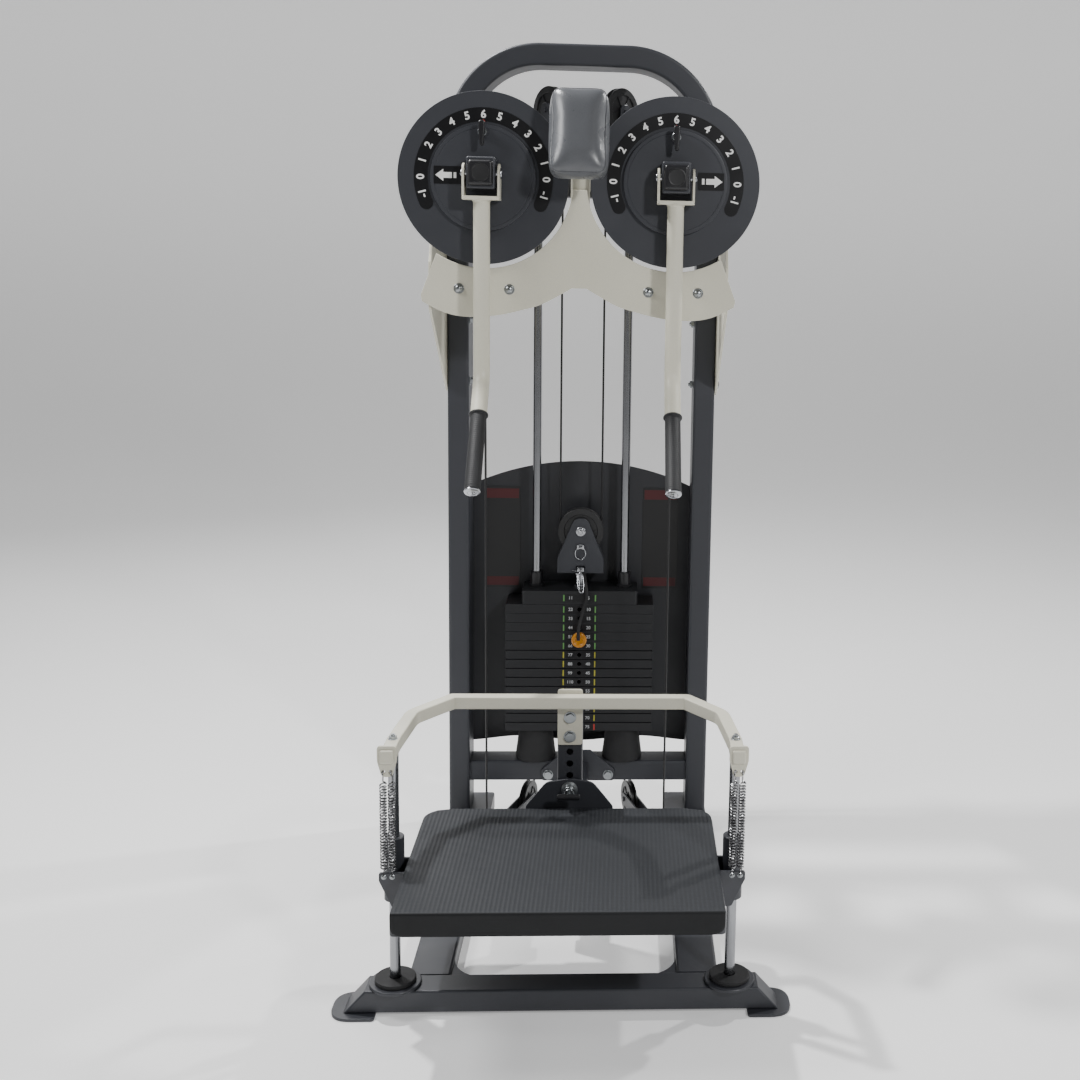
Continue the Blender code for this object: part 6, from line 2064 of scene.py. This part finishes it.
# ---------------------------------------------------------------- pulleys and cables
@dataclass(frozen=True)
class Wheel:
    """Moulded pulley: round groove and dished sides with ribs, round a plain bore."""

    running: float
    width: float
    bore: float
    rim: float = 0.005
    ribs: int = 6

    def model(self, name: str, centre: Point, axis: Point) -> bpy.types.Object:
        """Builds the pulley round its centre.

        Args:
            name: the object's name.
            centre: its middle.
            axis: the axle's direction.

        Returns:
            The mesh object.
        """
        w, r, out = self.width / 2, self.running, self.running + self.rim
        g = 0.0042
        inner, hub = r - 0.0095, self.bore + 0.0075
        profile = [(self.bore, -w), (hub, -w), (hub + 0.001, -w + 0.0025), (inner - 0.001, -w + 0.0025),
                   (inner, -w + 0.0004),
                   (inner + 0.0006, -w), (out - 0.0008, -w), (out, -w + 0.0008), (out, -g),
                   (out - 0.0006, -g + 0.0003)]
        profile += [(r + 0.0008 - 0.0041 * math.cos(t), 0.0034 * math.sin(t)) for t in
                    [-math.pi / 2 + math.pi * k / 8 for k in range(1, 8)]]
        profile += [(out - 0.0006, g - 0.0003), (out, g), (out, w - 0.0008), (out - 0.0008, w),
                    (inner + 0.0006, w),
                    (inner, w - 0.0004), (inner - 0.001, w - 0.0025), (hub + 0.001, w - 0.0025), (hub, w),
                    (self.bore, w)]
        wheel = revolve("wheel", profile, centre, axis, 72, closed=True)
        along = Vector(axis).normalized()
        recipe = Recipe(name + "_ribs")
        long, wide = recipe.given("Length", inner - hub), recipe.given("Width", 0.0022)
        tall, number = recipe.given("Height", 2 * w - 0.0012), recipe.given("Ribs", self.ribs)
        size = recipe.node("ShaderNodeCombineXYZ", {}, {"X": long, "Y": wide, "Z": tall})
        bar = recipe.node("GeometryNodeMeshCube", {}, {"Size": size})
        shifted = recipe.node("GeometryNodeTransform", {},
                              {"Geometry": bar, "Translation": ((inner + hub) / 2, 0, 0)})
        line = recipe.node("GeometryNodeMeshLine", {}, {"Count": number, "Offset": (0, 0, 0)})
        index = recipe.node("GeometryNodeInputIndex")
        angle = recipe.node("ShaderNodeMath", {"operation": "MULTIPLY"}, {0: index, 1: 2 * math.pi / self.ribs})
        turn = recipe.node("ShaderNodeCombineXYZ", {}, {"Z": angle})
        spokes = recipe.node("GeometryNodeInstanceOnPoints", {},
                             {"Points": line, "Instance": shifted, "Rotation": turn})
        ribs = recipe.make(name + "_spokes", spokes, PALETTE["pulley_nylon"])
        ribs.data.transform(Matrix.Translation(centre) @ along.to_track_quat("Z", "Y").to_matrix().to_4x4())
        return join(name, wheel, ribs)


@dataclass
class Drive:
    """The cables and the pulleys that they run over."""

    rear: tuple[float, float] = (0.115, 0.545)
    front: tuple[float, float] = (0.206, 0.260)
    wheel_r: float = 0.0405
    wheel_w: float = 0.016
    wheel_z: float = 0.058
    top_z: float = 1.755
    top_w: float = 0.018
    cable_r: float = 0.0025
    cam_y: float = 0.186
    cam_r: float = 0.120
    disc: tuple[float, float] = (0.202, 1.577)
    stack_y: float = 0.470
    float_r: float = 0.050
    float_z: float = 0.758
    join_z: float = 1.700

    def _bow(self, centre: Vector, way: Vector, r: float, a0: float, a1: float, count: int) -> list[Vector]:
        """Points of an arc in the upright plane along way."""
        return [centre + way * a + Vector((0, 0, b)) for a, b in bows(0, 0, r, a0, a1, count)]

    def build(self) -> None:
        """Builds both side cables, the loop of the floating pulley and the six fixed pulleys."""
        for side in Side:
            s, word = side.value, side.word
            rear = Vector((s * self.rear[0], self.rear[1], 0))
            front = Vector((s * self.front[0], self.front[1], 0))
            way = (front - rear).normalized()
            near, far = front - way * self.wheel_r, rear + way * self.wheel_r
            near.z = far.z = self.wheel_z
            stack = Vector((s * self.float_r, self.stack_y, 0))
            over = (stack - rear).normalized()
            top_r = (stack - rear).length / 2
            top = rear + over * top_r
            top.z = self.top_z
            line = [Vector((s * self.disc[0], self.cam_y, self.disc[1] - self.cam_r - self.cable_r - 0.0003))]
            line += self._bow(near, way, self.wheel_r, 0, -90, 20)
            line += self._bow(far, way, self.wheel_r, -90, -180, 20)
            line += self._bow(top, over, top_r, 180, 0, 40)
            line.append(Vector((s * self.float_r, self.stack_y, self.join_z)))
            place_piece(sweep("drive_cable_" + word, line, circle(0, 0, self.cable_r, 12)), "cable_jacket",
                        "frame", "cable_jacket", "cable_" + word)
            for name, at, axis, r, w in (("base_front", near, way, self.wheel_r, self.wheel_w),
                                         ("base_rear", far, way, self.wheel_r, self.wheel_w),
                                         ("top", top, over, top_r, self.top_w)):
                node = ("top_pulley_" if name == "top" else "base_pulley_%s_" % name[5:]) + word
                spin = (-axis.y, axis.x, 0)
                place_piece(Wheel(r, w, 0.0063).model("%s_wheel_%s" % (name, word), at, spin), "pulley_nylon",
                            "%s_%s_wheel" % (word, name), "black_plastic", node)
                place_piece(revolve("%s_bearing_%s" % (name, word),
                                    [(0.0064, -w / 2 - 0.0003), (0.0115, -w / 2 - 0.0003),
                                     (0.0118, 0), (0.0115, w / 2 + 0.0003),
                                     (0.0064, w / 2 + 0.0003)], at, spin, 40,
                                    closed=True),
                            "zinc", "%s_%s_wheel" % (word, name), "steel")
        self._loop()

    def _loop(self) -> None:
        """The strands to the floating pulley, which shorten as the stack rises."""
        top = self.join_z - 0.0003
        down = [self.float_z + (top - self.float_z) * (1 - k / 40) for k in range(40)]
        line = [(-self.float_r, self.stack_y, z) for z in down]
        line += [(x, self.stack_y, z) for x, z in bows(0, self.float_z, self.float_r, 180, 360, 40)]
        line += [(self.float_r, self.stack_y, z) for z in reversed(down)]
        loop = sweep("stack_cable_loop", line, circle(0, 0, self.cable_r, 12), (0, 1, 0))
        place_piece(loop, "cable_jacket", None, "cable_jacket", "cable_loop")
        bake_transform(loop)


# ---------------------------------------------------------------- platform side
@dataclass
class HandRail:
    """Square tube bent round the platform, its tab on the post and the springs' hangers."""

    top: float = 0.549
    tube: float = 0.025
    rod_x: float = 0.317
    rod_y: float = -0.335
    end_y: float = -0.372
    mid: tuple[float, float] = (0.301, -0.212)
    sag: float = 0.016
    rear: tuple[float, float] = (0.233, -0.1378)
    tab_w: float = 0.050
    tab_z: tuple[float, float] = (0.441, 0.557)
    tab_y: float = -0.1193
    tab_t: float = 0.006
    tab_bolts: tuple[float, float] = (0.499, 0.459)
    spring_x: float = 0.320
    spring_y: float = -0.382
    end_w: float = 0.0356
    end_z: tuple[float, float] = (0.4790, 0.5375)

    def build(self) -> None:
        """Builds the rail with its tab, end plates and bolts."""
        z, half = self.top - self.tube / 2, self.tube / 2
        corners = [(-self.rod_x, self.end_y), (-self.rod_x, self.rod_y + 0.005), (-self.mid[0], self.mid[1]),
                   (-self.rear[0], self.rear[1])]
        corners += [(-x, y) for x, y in reversed(corners)]
        path = fillet(corners, [0, 0.04, 0.045, 0.006, 0.006, 0.045, 0.04, 0], 8, closed=False)
        tube = sweep("tube", [(x, y, z - self._drop(y)) for x, y in path],
                     oblong(-half, -half, half, half, 0.0030, 4), (0, 0, 1))
        tab = plate("tab", [oblong(-self.tab_w / 2, self.tab_z[0], self.tab_w / 2, self.tab_z[1], 0.006, 6)],
                    0, self.tab_t + 0.0004, front_face(self.tab_y), 0.0010, 3)
        parts = [tube, tab]
        w = self.end_w / 2
        for s in (-1, 1):
            mid, (low, high) = s * self.spring_x, self.end_z
            ear = [(mid - w, high), (mid - w, low + 0.030), (mid - 0.0095, low), (mid + 0.0095, low),
                   (mid + w, low + 0.030), (mid + w, high)]
            holes = [circle(mid + d, low + 0.0100, 0.0032, 20) for d in (-0.0062, 0.0062)]
            parts.append(plate("end", [fillet(ear, [0.007, 0.022, 0.010, 0.010, 0.022, 0.007], 8), *holes],
                               -0.003, 0.003, front_face(self.spring_y), 0.0012, 3))
            parts.append(block("boss", (mid - 0.0130, self.spring_y - 0.0080, high - 0.0335),
                               (mid + 0.0130, self.spring_y + 0.010, high - 0.0070), 0.0042, 5))
        place_piece(join("hand_rail_tube", *parts), "cream_coat", "frame", "cream_paint", "hand_rail")
        face = self.tab_y - self.tab_t - 0.0004
        bolts = scatter("rail_tab_bolts", Fastener(Head.HEX, 0.0170, 0.0060, 0.0125).model(),
                        [((0, face, h), (0, -1, 0)) for h in self.tab_bolts], PALETTE["zinc"], 6.28, 2)
        place_piece(bolts, "zinc", "frame", "steel")
        nuts = scatter("rail_rod_nuts", Fastener(Head.NUT, 0.0130, 0.0050, 0.0090, 0.0012).model(),
                       [((s * self.rod_x, self.rod_y, self.top - self._drop(self.rod_y)), (0, 0, 1))
                        for s in (-1, 1)],
                       PALETTE["zinc"], 6.28, 8)
        place_piece(nuts, "zinc", "frame", "steel")
        self._rods()

    def _drop(self, y: float) -> float:
        """How far the rail has sunk at a depth y on its way to the front."""
        return self.sag * min(1.0, max(0.0, (self.rear[1] - y) / (self.rear[1] - self.rod_y)))

    def _rods(self) -> None:
        """Chrome rods with the flange ring and the rubber buffer at the foot of each."""
        for side in Side:
            word, x = side.word, side.value * self.rod_x
            low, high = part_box("platform_rod_" + word)
            high_z = min(high[2], self.top - self.sag - 0.001)
            # The platform rod uses the chrome copy that is darkened as painted shade.
            place_piece(rod("platform_bar_" + word, (x, self.rod_y, low[2]), (x, self.rod_y, high_z), 0.010,
                            56),
                        "rod_chrome", "frame", "chrome", "platform_rod_" + word)
            foot = low[2]
            flange = [(0.0140, 0), (0.0478, 0), (0.0485, 0.0008), (0.0485, 0.0040), (0.0475, 0.0052),
                      (0.0460, 0.0056), (0.0140, 0.0056)]
            place_piece(revolve("rod_flange_" + word, flange, (x, self.rod_y, foot), (0, 0, 1), 72,
                                closed=True), "frame_coat",
                        "frame", "frame_paint", "rod_buffer_" + word)
            pad = [(0.0105, 0.0058), (0.0376, 0.0058), (0.0386, 0.0068), (0.0386, 0.0122), (0.0378, 0.0136),
                   (0.0362, 0.0142), (0.0115, 0.0142), (0.0105, 0.0134)]
            place_piece(revolve("rod_rubber_" + word, pad, (x, self.rod_y, foot), (0, 0, 1), 72, closed=True),
                        "buffer_rubber", "frame", "rubber")


@dataclass
class HeightPost:
    """Perforated post for the platform's pin, with the arm back to the stack's crossbeam."""

    front: float = -0.119
    wide: float = 0.050
    wall: float = 0.003
    low: float = 0.120
    top: float = 0.530
    hole_r: float = 0.0070
    pitch: float = 0.025
    pin_z: float = 0.349
    up: int = 3
    down: int = 4
    cross_z: float = 0.135
    cross_h: float = 0.050
    plate_y: float = 0.4347

    def build(self) -> None:
        """Builds the post, the arm, the flange plate and its bolts."""
        w, t = self.wide / 2, self.wall
        outer = oblong(-w, self.front, w, self.front + self.wide, 0.0045, 5)
        inner = oblong(-w + t, self.front + t, w - t, self.front + self.wide - t, 0.0020, 4)
        post = plate("post", [outer, inner], self.low, self.top, level_face(0), 0.0006)
        holes = [rod("hole", (0, self.front - 0.01, self.pin_z + k * self.pitch),
                     (0, self.front + 0.02, self.pin_z + k * self.pitch), self.hole_r, 28)
                 for k in range(-self.down, self.up + 1)]
        post = carve(post, *holes)
        back = self.plate_y - 0.006
        h = self.cross_h - 0.002
        z0 = self.cross_z + 0.001
        arm = plate("arm", [oblong(-w + 0.001, z0, w - 0.001, z0 + h, 0.0045, 5)], 0,
                    back + 0.001 - (self.front + self.wide - 0.001), front_face(back + 0.001), 0.0006)
        low, high = self.cross_z + 0.002, self.cross_z + 0.080
        loop = fillet([(-0.090, low), (0.090, low), (0.090, low + 0.028), (0.030, high), (-0.030, high),
                       (-0.090, low + 0.028)],
                      0.009, 6)
        flange = plate("flange", [loop], 0, 0.006, front_face(self.plate_y), 0.0010, 3)
        place_piece(join("post_tube", post, arm, flange), "frame_coat", "frame", "frame_paint", "height_post")
        bolts = scatter("post_bolts", Fastener(Head.HEX, 0.0180, 0.0055, 0.0125).model(),
                        [((s * 0.0735, self.plate_y - 0.006, 0.152), (0, -1, 0)) for s in (-1, 1)],
                        PALETTE["zinc"], 6.28, 4)
        place_piece(bolts, "zinc", "frame", "steel")
        cap = block("post_cap", (-w + t + 0.0006, self.front + t + 0.0006, self.top - 0.010),
                    (w - t - 0.0006, self.front + self.wide - t - 0.0006, self.top + 0.0022), 0.0020)
        place_piece(cap, "black_cap", "frame", "black_plastic")


@dataclass
class Platform:
    """Pressed deck under a ribbed mat, its sleeves, gussets, springs and locking pin."""

    half: float = 0.289
    front: float = -0.565
    rear: float = -0.1303
    top: float = 0.303
    skirt: float = 0.040
    corner: float = 0.045
    mat_t: float = 0.0060
    rib_pitch: float = 0.0080
    rod_x: float = 0.317
    rod_y: float = -0.335
    sleeve_r: float = 0.019
    sleeve_z: tuple[float, float] = (0.221, 0.345)
    spring_x: float = 0.320
    spring_dx: float = 0.0076
    up_top: float = 0.3705
    spring_y: float = -0.382
    pin_z: float = 0.349

    def build(self) -> None:
        """Builds the deck, the mat, the pin and the springs."""
        self._deck()
        self._mat()
        self._pin()
        self._springs()

    def _loop(self, inset: float, front: float = 0.0) -> Loop:
        """The deck's outline.

        Args:
            inset: how far it is drawn in.
            front: how much further at its front edge.

        Returns:
            The outline's points.
        """
        w = self.half - inset
        a, b = self.front + inset + front, self.rear - inset
        return fillet([(-w, a), (w, a), (w, b), (-w, b)],
                      [0.010, 0.010, self.corner - inset, self.corner - inset], 10)

    def _deck(self) -> None:
        """The pressed pan, the upstand, the sleeves, the gussets and the pin's barrel."""
        low = self.top - self.skirt
        pan = plate("pan", [self._loop(0, 0.0055)], low, self.top, level_face(0), 0.0035, 4)
        hollow = plate("hollow", [self._loop(0.003, 0.0055)], low - 0.01, self.top - 0.003, level_face(0),
                       0.001)
        pan = carve(pan, hollow)
        parts = [pan]
        edge = self.half - 0.0015
        for s in (-1, 1):
            x = s * self.rod_x
            z0, z1 = self.sleeve_z
            r = self.sleeve_r
            parts.append(revolve("sleeve", [(0.0106, z0), (r - 0.001, z0), (r, z0 + 0.001), (r, z1 - 0.0012),
                                            (r - 0.0012, z1),
                                            (0.0106, z1)], (x, self.rod_y, 0), (0, 0, 1), 56, closed=True))
            tip, out = 0.2947, s * 0.337
            face = [(s * edge, tip), (out, tip), (out, tip - 0.015), (s * (self.rod_x - 0.004), z0 + 0.006),
                    (s * (self.rod_x - 0.016), z0 + 0.004), (s * edge, low + 0.001)]
            holes = [circle(s * self.spring_x + d, tip - 0.0075, 0.0032, 20)
                     for d in (-self.spring_dx, self.spring_dx)]
            parts.append(plate("anchor", [fillet(face, 0.004, 4), *holes], -0.003, 0.003,
                               front_face(self.spring_y), 0.0008))
            side = [(self.spring_y - 0.002, tip - 0.004), (self.spring_y - 0.002, z0 + 0.012),
                    (self.rod_y - r + 0.002, z0 + 0.004),
                    (self.rod_y - r + 0.002, low + 0.014)]
            a, b = sorted((s * (self.rod_x - 0.013), s * (self.rod_x - 0.009)))
            parts.append(plate("fold", [fillet(side, 0.003, 3)], a, b, side_face(0), 0.0008))
            a, b = sorted((s * edge, s * (self.rod_x + 0.004)))
            for name, near, far in (("shelf", (a, self.spring_y, low + 0.006), (b, self.rod_y, low + 0.011)),
                                    ("web", (a, self.rod_y - 0.003, low + 0.001),
                                     (b, self.rod_y + 0.003, self.top - 0.001))):
                bore = rod("bore", (x, self.rod_y, z0 - 0.01), (x, self.rod_y, z1 + 0.01), 0.0106, 40)
                parts.append(carve(block(name, near, far, 0.0008), bore))
        t = self.up_top
        up = [(-0.0885, low + 0.001), (0.0885, low + 0.001), (0.0885, self.top + 0.009), (0.0470, t - 0.0065),
              (0, t + 0.0006), (-0.0470, t - 0.0065), (-0.0885, self.top + 0.009)]
        parts.append(plate("upstand", [fillet(up, [0, 0, 0.014, 0.026, 0.060, 0.026, 0.014], 8)], 0, 0.005,
                           front_face(self.rear + 0.005), 0.0010, 3))
        place_piece(join("deck_pan", *parts), "frame_coat", "platform", "frame_paint", "platform_deck")
        barrel = revolve("pin_barrel", [(0.0058, 0.001), (0.0165, 0.001), (0.0165, -0.0026), (0.0128, -0.0042),
                                        (0.0125, -0.0168),
                                        (0.0118, -0.018), (0.0058, -0.018)], (0, self.rear, self.pin_z),
                         (0, 1, 0), 48, closed=True)
        place_piece(barrel, "zinc", "platform", "steel")
        screws = [((s * self.spring_x + d, self.spring_y - 0.003, 0.2947 - 0.0075), (0, -1, 0)) for s in (-1, 1)
                  for d in (-self.spring_dx, self.spring_dx)]
        place_piece(scatter("anchor_screws", Fastener(Head.DOME, 0.0080, 0.0022, 0.0052, 0.0008).model(),
                            screws, PALETTE["zinc"]),
                    "zinc", "platform", "steel")

    def _mat(self) -> None:
        """Ribbed mat that covers the deck and rolls down over its front edge."""
        thick, high = self.mat_t - 0.0004, self.top + self.mat_t + 0.0002
        half, roll, foot = self.half - 0.0025, 0.0050, self.top - self.skirt + 0.0038
        back, fore = self.rear - 0.0030, self.front + 0.0003
        line = [(back + (fore + roll - back) * k / 60, high, 0.0, 1.0) for k in range(61)]
        for k in range(1, 11):
            t = math.radians(90 + 9 * k)
            line.append((fore + roll + roll * math.cos(t), high - roll + roll * math.sin(t), math.cos(t),
                         math.sin(t)))
        line += [(fore, high - roll - (high - roll - foot) * k / 12, -1.0, 0.0) for k in range(1, 13)]
        per, ribs = 6, int(half / self.rib_pitch)
        columns = [-half + 0.0015 * k for k in range(3)]
        columns += [self.rib_pitch * (k / per) for k in range(-ribs * per, ribs * per + 1)
                    if abs(self.rib_pitch * k / per) < half - 0.0035]
        columns = sorted([*columns, *[half - 0.0015 * k for k in range(3)]])
        shape = bmesh.new()
        grids: list[list[list[bmesh.types.BMVert]]] = [[], []]
        for i, (y, z, ny, nz) in enumerate(line):
            wide = half
            if y > back - self.corner:
                wide = half - self.corner + math.sqrt(max(self.corner ** 2 - (y - back + self.corner) ** 2,
                                                          0.0))
            if ny < -0.99:
                down = max(0.0, 0.018 - (z - foot)) / 0.018
                wide = half - 0.018 * (1 - math.sqrt(max(1 - down * down, 0.0)))
            for level, grid in enumerate(grids):
                row = []
                for x in columns:
                    at_x = max(-wide, min(wide, x))
                    edge = min(1.0, (wide - abs(at_x)) / 0.004)
                    rib = 0.00015 * math.cos(2 * math.pi * x / self.rib_pitch) * edge * (ny > -0.05)
                    rib -= 0.0008 * (1 - edge) ** 2
                    lift = rib if level == 0 else -thick
                    row.append(shape.verts.new((at_x, y + ny * lift, z + nz * lift)))
                grid.append(row)
        rows, cols = len(line), len(columns)
        for level, grid in enumerate(grids):
            for i in range(rows - 1):
                for k in range(cols - 1):
                    corners = [grid[i][k], grid[i][k + 1], grid[i + 1][k + 1], grid[i + 1][k]]
                    shape.faces.new(corners if level else corners[::-1])
        top, low = grids
        rim = [(0, k) for k in range(cols)] + [(i, cols - 1) for i in range(1, rows)]
        rim += [(rows - 1, k) for k in range(cols - 2, -1, -1)] + [(i, 0) for i in range(rows - 2, 0, -1)]
        for (i, k), (j, m) in zip(rim, rim[1:] + rim[:1]):
            shape.faces.new((top[i][k], top[j][m], low[j][m], low[i][k]))
        mesh = bpy.data.meshes.new("platform_mat_sheet")
        shape.to_mesh(mesh)
        shape.free()
        place_piece(settle(link("platform_mat_sheet", mesh), 50, 1e-6), "deck_mat", "platform", "rubber",
                    "platform_mat")

    def _pin(self) -> None:
        """Spring pin with its level T handle."""
        z, front = self.pin_z, self.rear - 0.0183
        shank = [(0, -0.110), (0.0040, -0.110), (0.0055, -0.1115), (0.0055, front), (0.0094, front),
                 (0.0098, front - 0.001),
                 (0.0098, front - 0.005), (0.0090, front - 0.006), (0.0042, front - 0.006),
                 (0.0042, front - 0.020), (0, front - 0.020)]
        place_piece(revolve("platform_pin_shank", shank, (0, 0, z), (0, 1, 0), 40), "zinc", "platform_lock",
                    "steel", "platform_pin")
        place_piece(revolve("platform_pin_handle", [(0, -0.0235), (0.0045, -0.0230), (0.0064, -0.0205),
                                                    (0.0066, -0.010), (0.0060, 0),
                                                    (0.0066, 0.010), (0.0064, 0.0205), (0.0045, 0.0230),
                                                    (0, 0.0235)],
                            (0, front - 0.022, z), (1, 0, 0), 36), "black_cap", "platform_lock",
                    "black_plastic")

    def _springs(self) -> None:
        """Four close-wound springs between the hand rail's ends and the platform."""
        for side in Side:
            for where, d in (("inner", -self.spring_dx), ("outer", self.spring_dx)):
                x, y = side.value * (self.spring_x + d), self.spring_y
                low, high, r, w = 0.303, 0.4655, 0.0056, 0.00160
                recipe = Recipe("coil_%s_%s" % (where, side.word))
                turns, radius = recipe.given("Turns", 29.0), recipe.given("Radius", r)
                tall, wire = recipe.given("Height", high - low), recipe.given("Wire", w)
                spiral = recipe.node("GeometryNodeCurveSpiral", {},
                                     {"Resolution": 18, "Rotations": turns, "Start Radius": radius,
                                      "End Radius": radius, "Height": tall})
                ring = recipe.node("GeometryNodeCurvePrimitiveCircle", {"mode": "RADIUS"},
                                   {"Resolution": 7, "Radius": wire})
                tube = recipe.node("GeometryNodeCurveToMesh", {},
                                   {"Curve": spiral, "Profile Curve": ring, "Fill Caps": True})
                coil = recipe.make("coil", tube, PALETTE["spring_wire"])
                coil.data.transform(Matrix.Translation((x, y, low)))
                hooks = []
                for base, way in ((high, 1), (low, -1)):
                    tip = 0.4885 if way > 0 else 0.2872
                    mid = abs(tip - base)
                    keys = [(x + r, y, base), (x + r * 0.6, y, base + way * 0.003), (x, y, base + way * 0.005),
                            (x, y, base + way * (mid - 0.008)), (x, y - 0.0035, base + way * (mid - 0.0045)),
                            (x, y - 0.0052, base + way * mid), (x, y - 0.0015, base + way * (mid + 0.0022)),
                            (x, y + 0.0030, base + way * (mid + 0.0006)),
                            (x, y + 0.0052, base + way * (mid - 0.004))]
                    hooks.append(sweep("hook", smooth_line(keys, 5), circle(0, 0, w, 8)))
                name = "spring_%s_%s" % (where, side.word)
                spring = place_piece(join("coil_" + name, coil, *hooks), "spring_wire", None, "steel", name)
                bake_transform(spring)


# ---------------------------------------------------------------- studio
@dataclass
class Studio:
    """Plain pale floor, soft lights and the camera."""

    focal: float = 1332.0
    frame_side: float = 1080.0
    centre: tuple[float, float] = (703.0, 444.8)
    eye: tuple[float, float, float] = (0.0969, -2.715, 1.433)
    yaw: float = 3.51
    pitch: float = 8.22
    roll: float = 1.32

    def camera(self) -> None:
        """Places the camera."""
        data = bpy.data.cameras.new("view")
        data.sensor_width = 36.0
        data.lens = self.focal / self.frame_side * 36.0
        data.shift_x = (self.frame_side / 2 - self.centre[0]) / self.frame_side
        data.shift_y = (self.centre[1] - self.frame_side / 2) / self.frame_side
        data.clip_end = 60.0
        yaw, pitch, roll = (math.radians(a) for a in (self.yaw, self.pitch, self.roll))
        ahead = Vector((math.sin(yaw) * math.cos(pitch), math.cos(yaw) * math.cos(pitch), -math.sin(pitch)))
        flat = Vector((math.cos(yaw), -math.sin(yaw), 0))
        rise = flat.cross(ahead)
        across = flat * math.cos(roll) + rise * math.sin(roll)
        up = rise * math.cos(roll) - flat * math.sin(roll)
        place = Matrix((across, up, -ahead)).transposed().to_4x4()
        place.translation = Vector(self.eye)
        camera = bpy.data.objects.new("view", data)
        camera.matrix_world = place
        bpy.context.scene.collection.objects.link(camera)
        bpy.context.scene.camera = camera

    def floor(self) -> None:
        """A pale floor that runs far to the front and curves up behind the machine."""
        profile = [(-40.0, 0.0), (-9.0, 0.0), (5.0, 0.0)] + bows(5.0, 3.0, 3.0, -90, 0, 24)[1:] + [(8.0, 9.0)]
        shape = bmesh.new()
        rows = [[shape.verts.new((x, y, z - 0.0002)) for x in (-30, 30)] for y, z in profile]
        for low, high in zip(rows, rows[1:]):
            shape.faces.new((low[0], low[1], high[1], high[0]))
        mesh = bpy.data.meshes.new("floor")
        shape.to_mesh(mesh)
        shape.free()
        mesh.shade_smooth()
        s = Shade("floor_paper")
        tone = s.blend(s.noise(2.0, 3.0), (0.86, 0.86, 0.86), (0.88, 0.88, 0.88))
        # Painted light: the paper glows, weaker on the floor and stronger up the sweep behind the machine.
        height = s.node("ShaderNodeSeparateXYZ", {}, {"Vector": s.place()}, "Z")
        painted_backdrop_glow = s.blend(s.ramp(height * 0.2, 0.0, 0.45), (0.60, 0.60, 0.60), (1.0, 1.0, 1.0))
        paper = s.surface(Base_Color=tone, Roughness=0.9, Emission_Color=painted_backdrop_glow, Emission_Strength=0.45)
        obj = link("floor", mesh)
        mesh.materials.append(paper)

    def _lamp(self, name: str, at: Point, to: Point, size: float, power: float,
              tint: Colour = (1, 1, 1)) -> None:
        """One square area light.

        Args:
            name: its name.
            at: its place.
            to: the point that it faces.
            size: its side.
            power: its power in watts.
            tint: its colour.
        """
        data = bpy.data.lights.new(name, "AREA")
        data.shape, data.size, data.energy, data.color = "SQUARE", size, power, tint
        obj = bpy.data.objects.new(name, data)
        turn = (Vector(to) - Vector(at)).to_track_quat("-Z", "Y")
        obj.matrix_world = Matrix.Translation(at) @ turn.to_matrix().to_4x4()
        bpy.context.scene.collection.objects.link(obj)

    def lights(self) -> None:
        """A key lamp in front, two small lamps overhead, soft lights at the sides and a pale surround."""
        self._lamp("key", (2.0, -3.1, 2.9), (0, 0.0, 1.1), 0.35, 78.0)
        self._lamp("strip", (-1.8, -0.5, 2.75), (0, 0, 1.7), 0.8, 34.0)
        self._lamp("edge", (2.4, -0.5, 2.0), (0, 0, 1.6), 0.5, 6.0)
        self._lamp("left", (-1.10, 0.50, 3.4), (0, -0.2, 0.3), 0.12, 92.0)
        self._lamp("right", (2.40, 1.30, 3.4), (0, -0.2, 0.3), 0.14, 70.0)
        self._lamp("back", (-1.4, 3.2, 2.6), (0, 0.3, 1.0), 2.0, 30.0)
        world = bpy.data.worlds.new("surround")
        world.use_nodes = True
        shade_node = world.node_tree.nodes["Background"]
        shade_node.inputs[0].default_value = (1.0, 1.0, 1.0, 1.0)
        shade_node.inputs[1].default_value = 0.10
        bpy.context.scene.world = world


def corners(box: Sequence[Point]) -> list[list[float]]:
    """A box's two corners as plain lists."""
    return [[float(c) for c in corner] for corner in box]


def main() -> None:
    """Builds every piece in order."""
    logging.basicConfig(level=logging.INFO, format="%(name)s %(message)s")
    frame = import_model()
    studio = Studio()
    studio.camera()
    PALETTE.build()
    stack = WeightStack()
    stack.lanyard()
    Base().build(frame)
    Arch().build(frame)
    HeadPlates().build()
    for side in Side:
        Disc(side).build()
        LeverPlate(side).build()
        Lever(side).build()
    HeadPad().build(frame)
    stack.build(frame)
    Drive().build()
    HandRail().build()
    HeightPost().build()
    Platform().build()
    studio.floor()
    studio.lights()


if __name__ == "__main__":
    main()
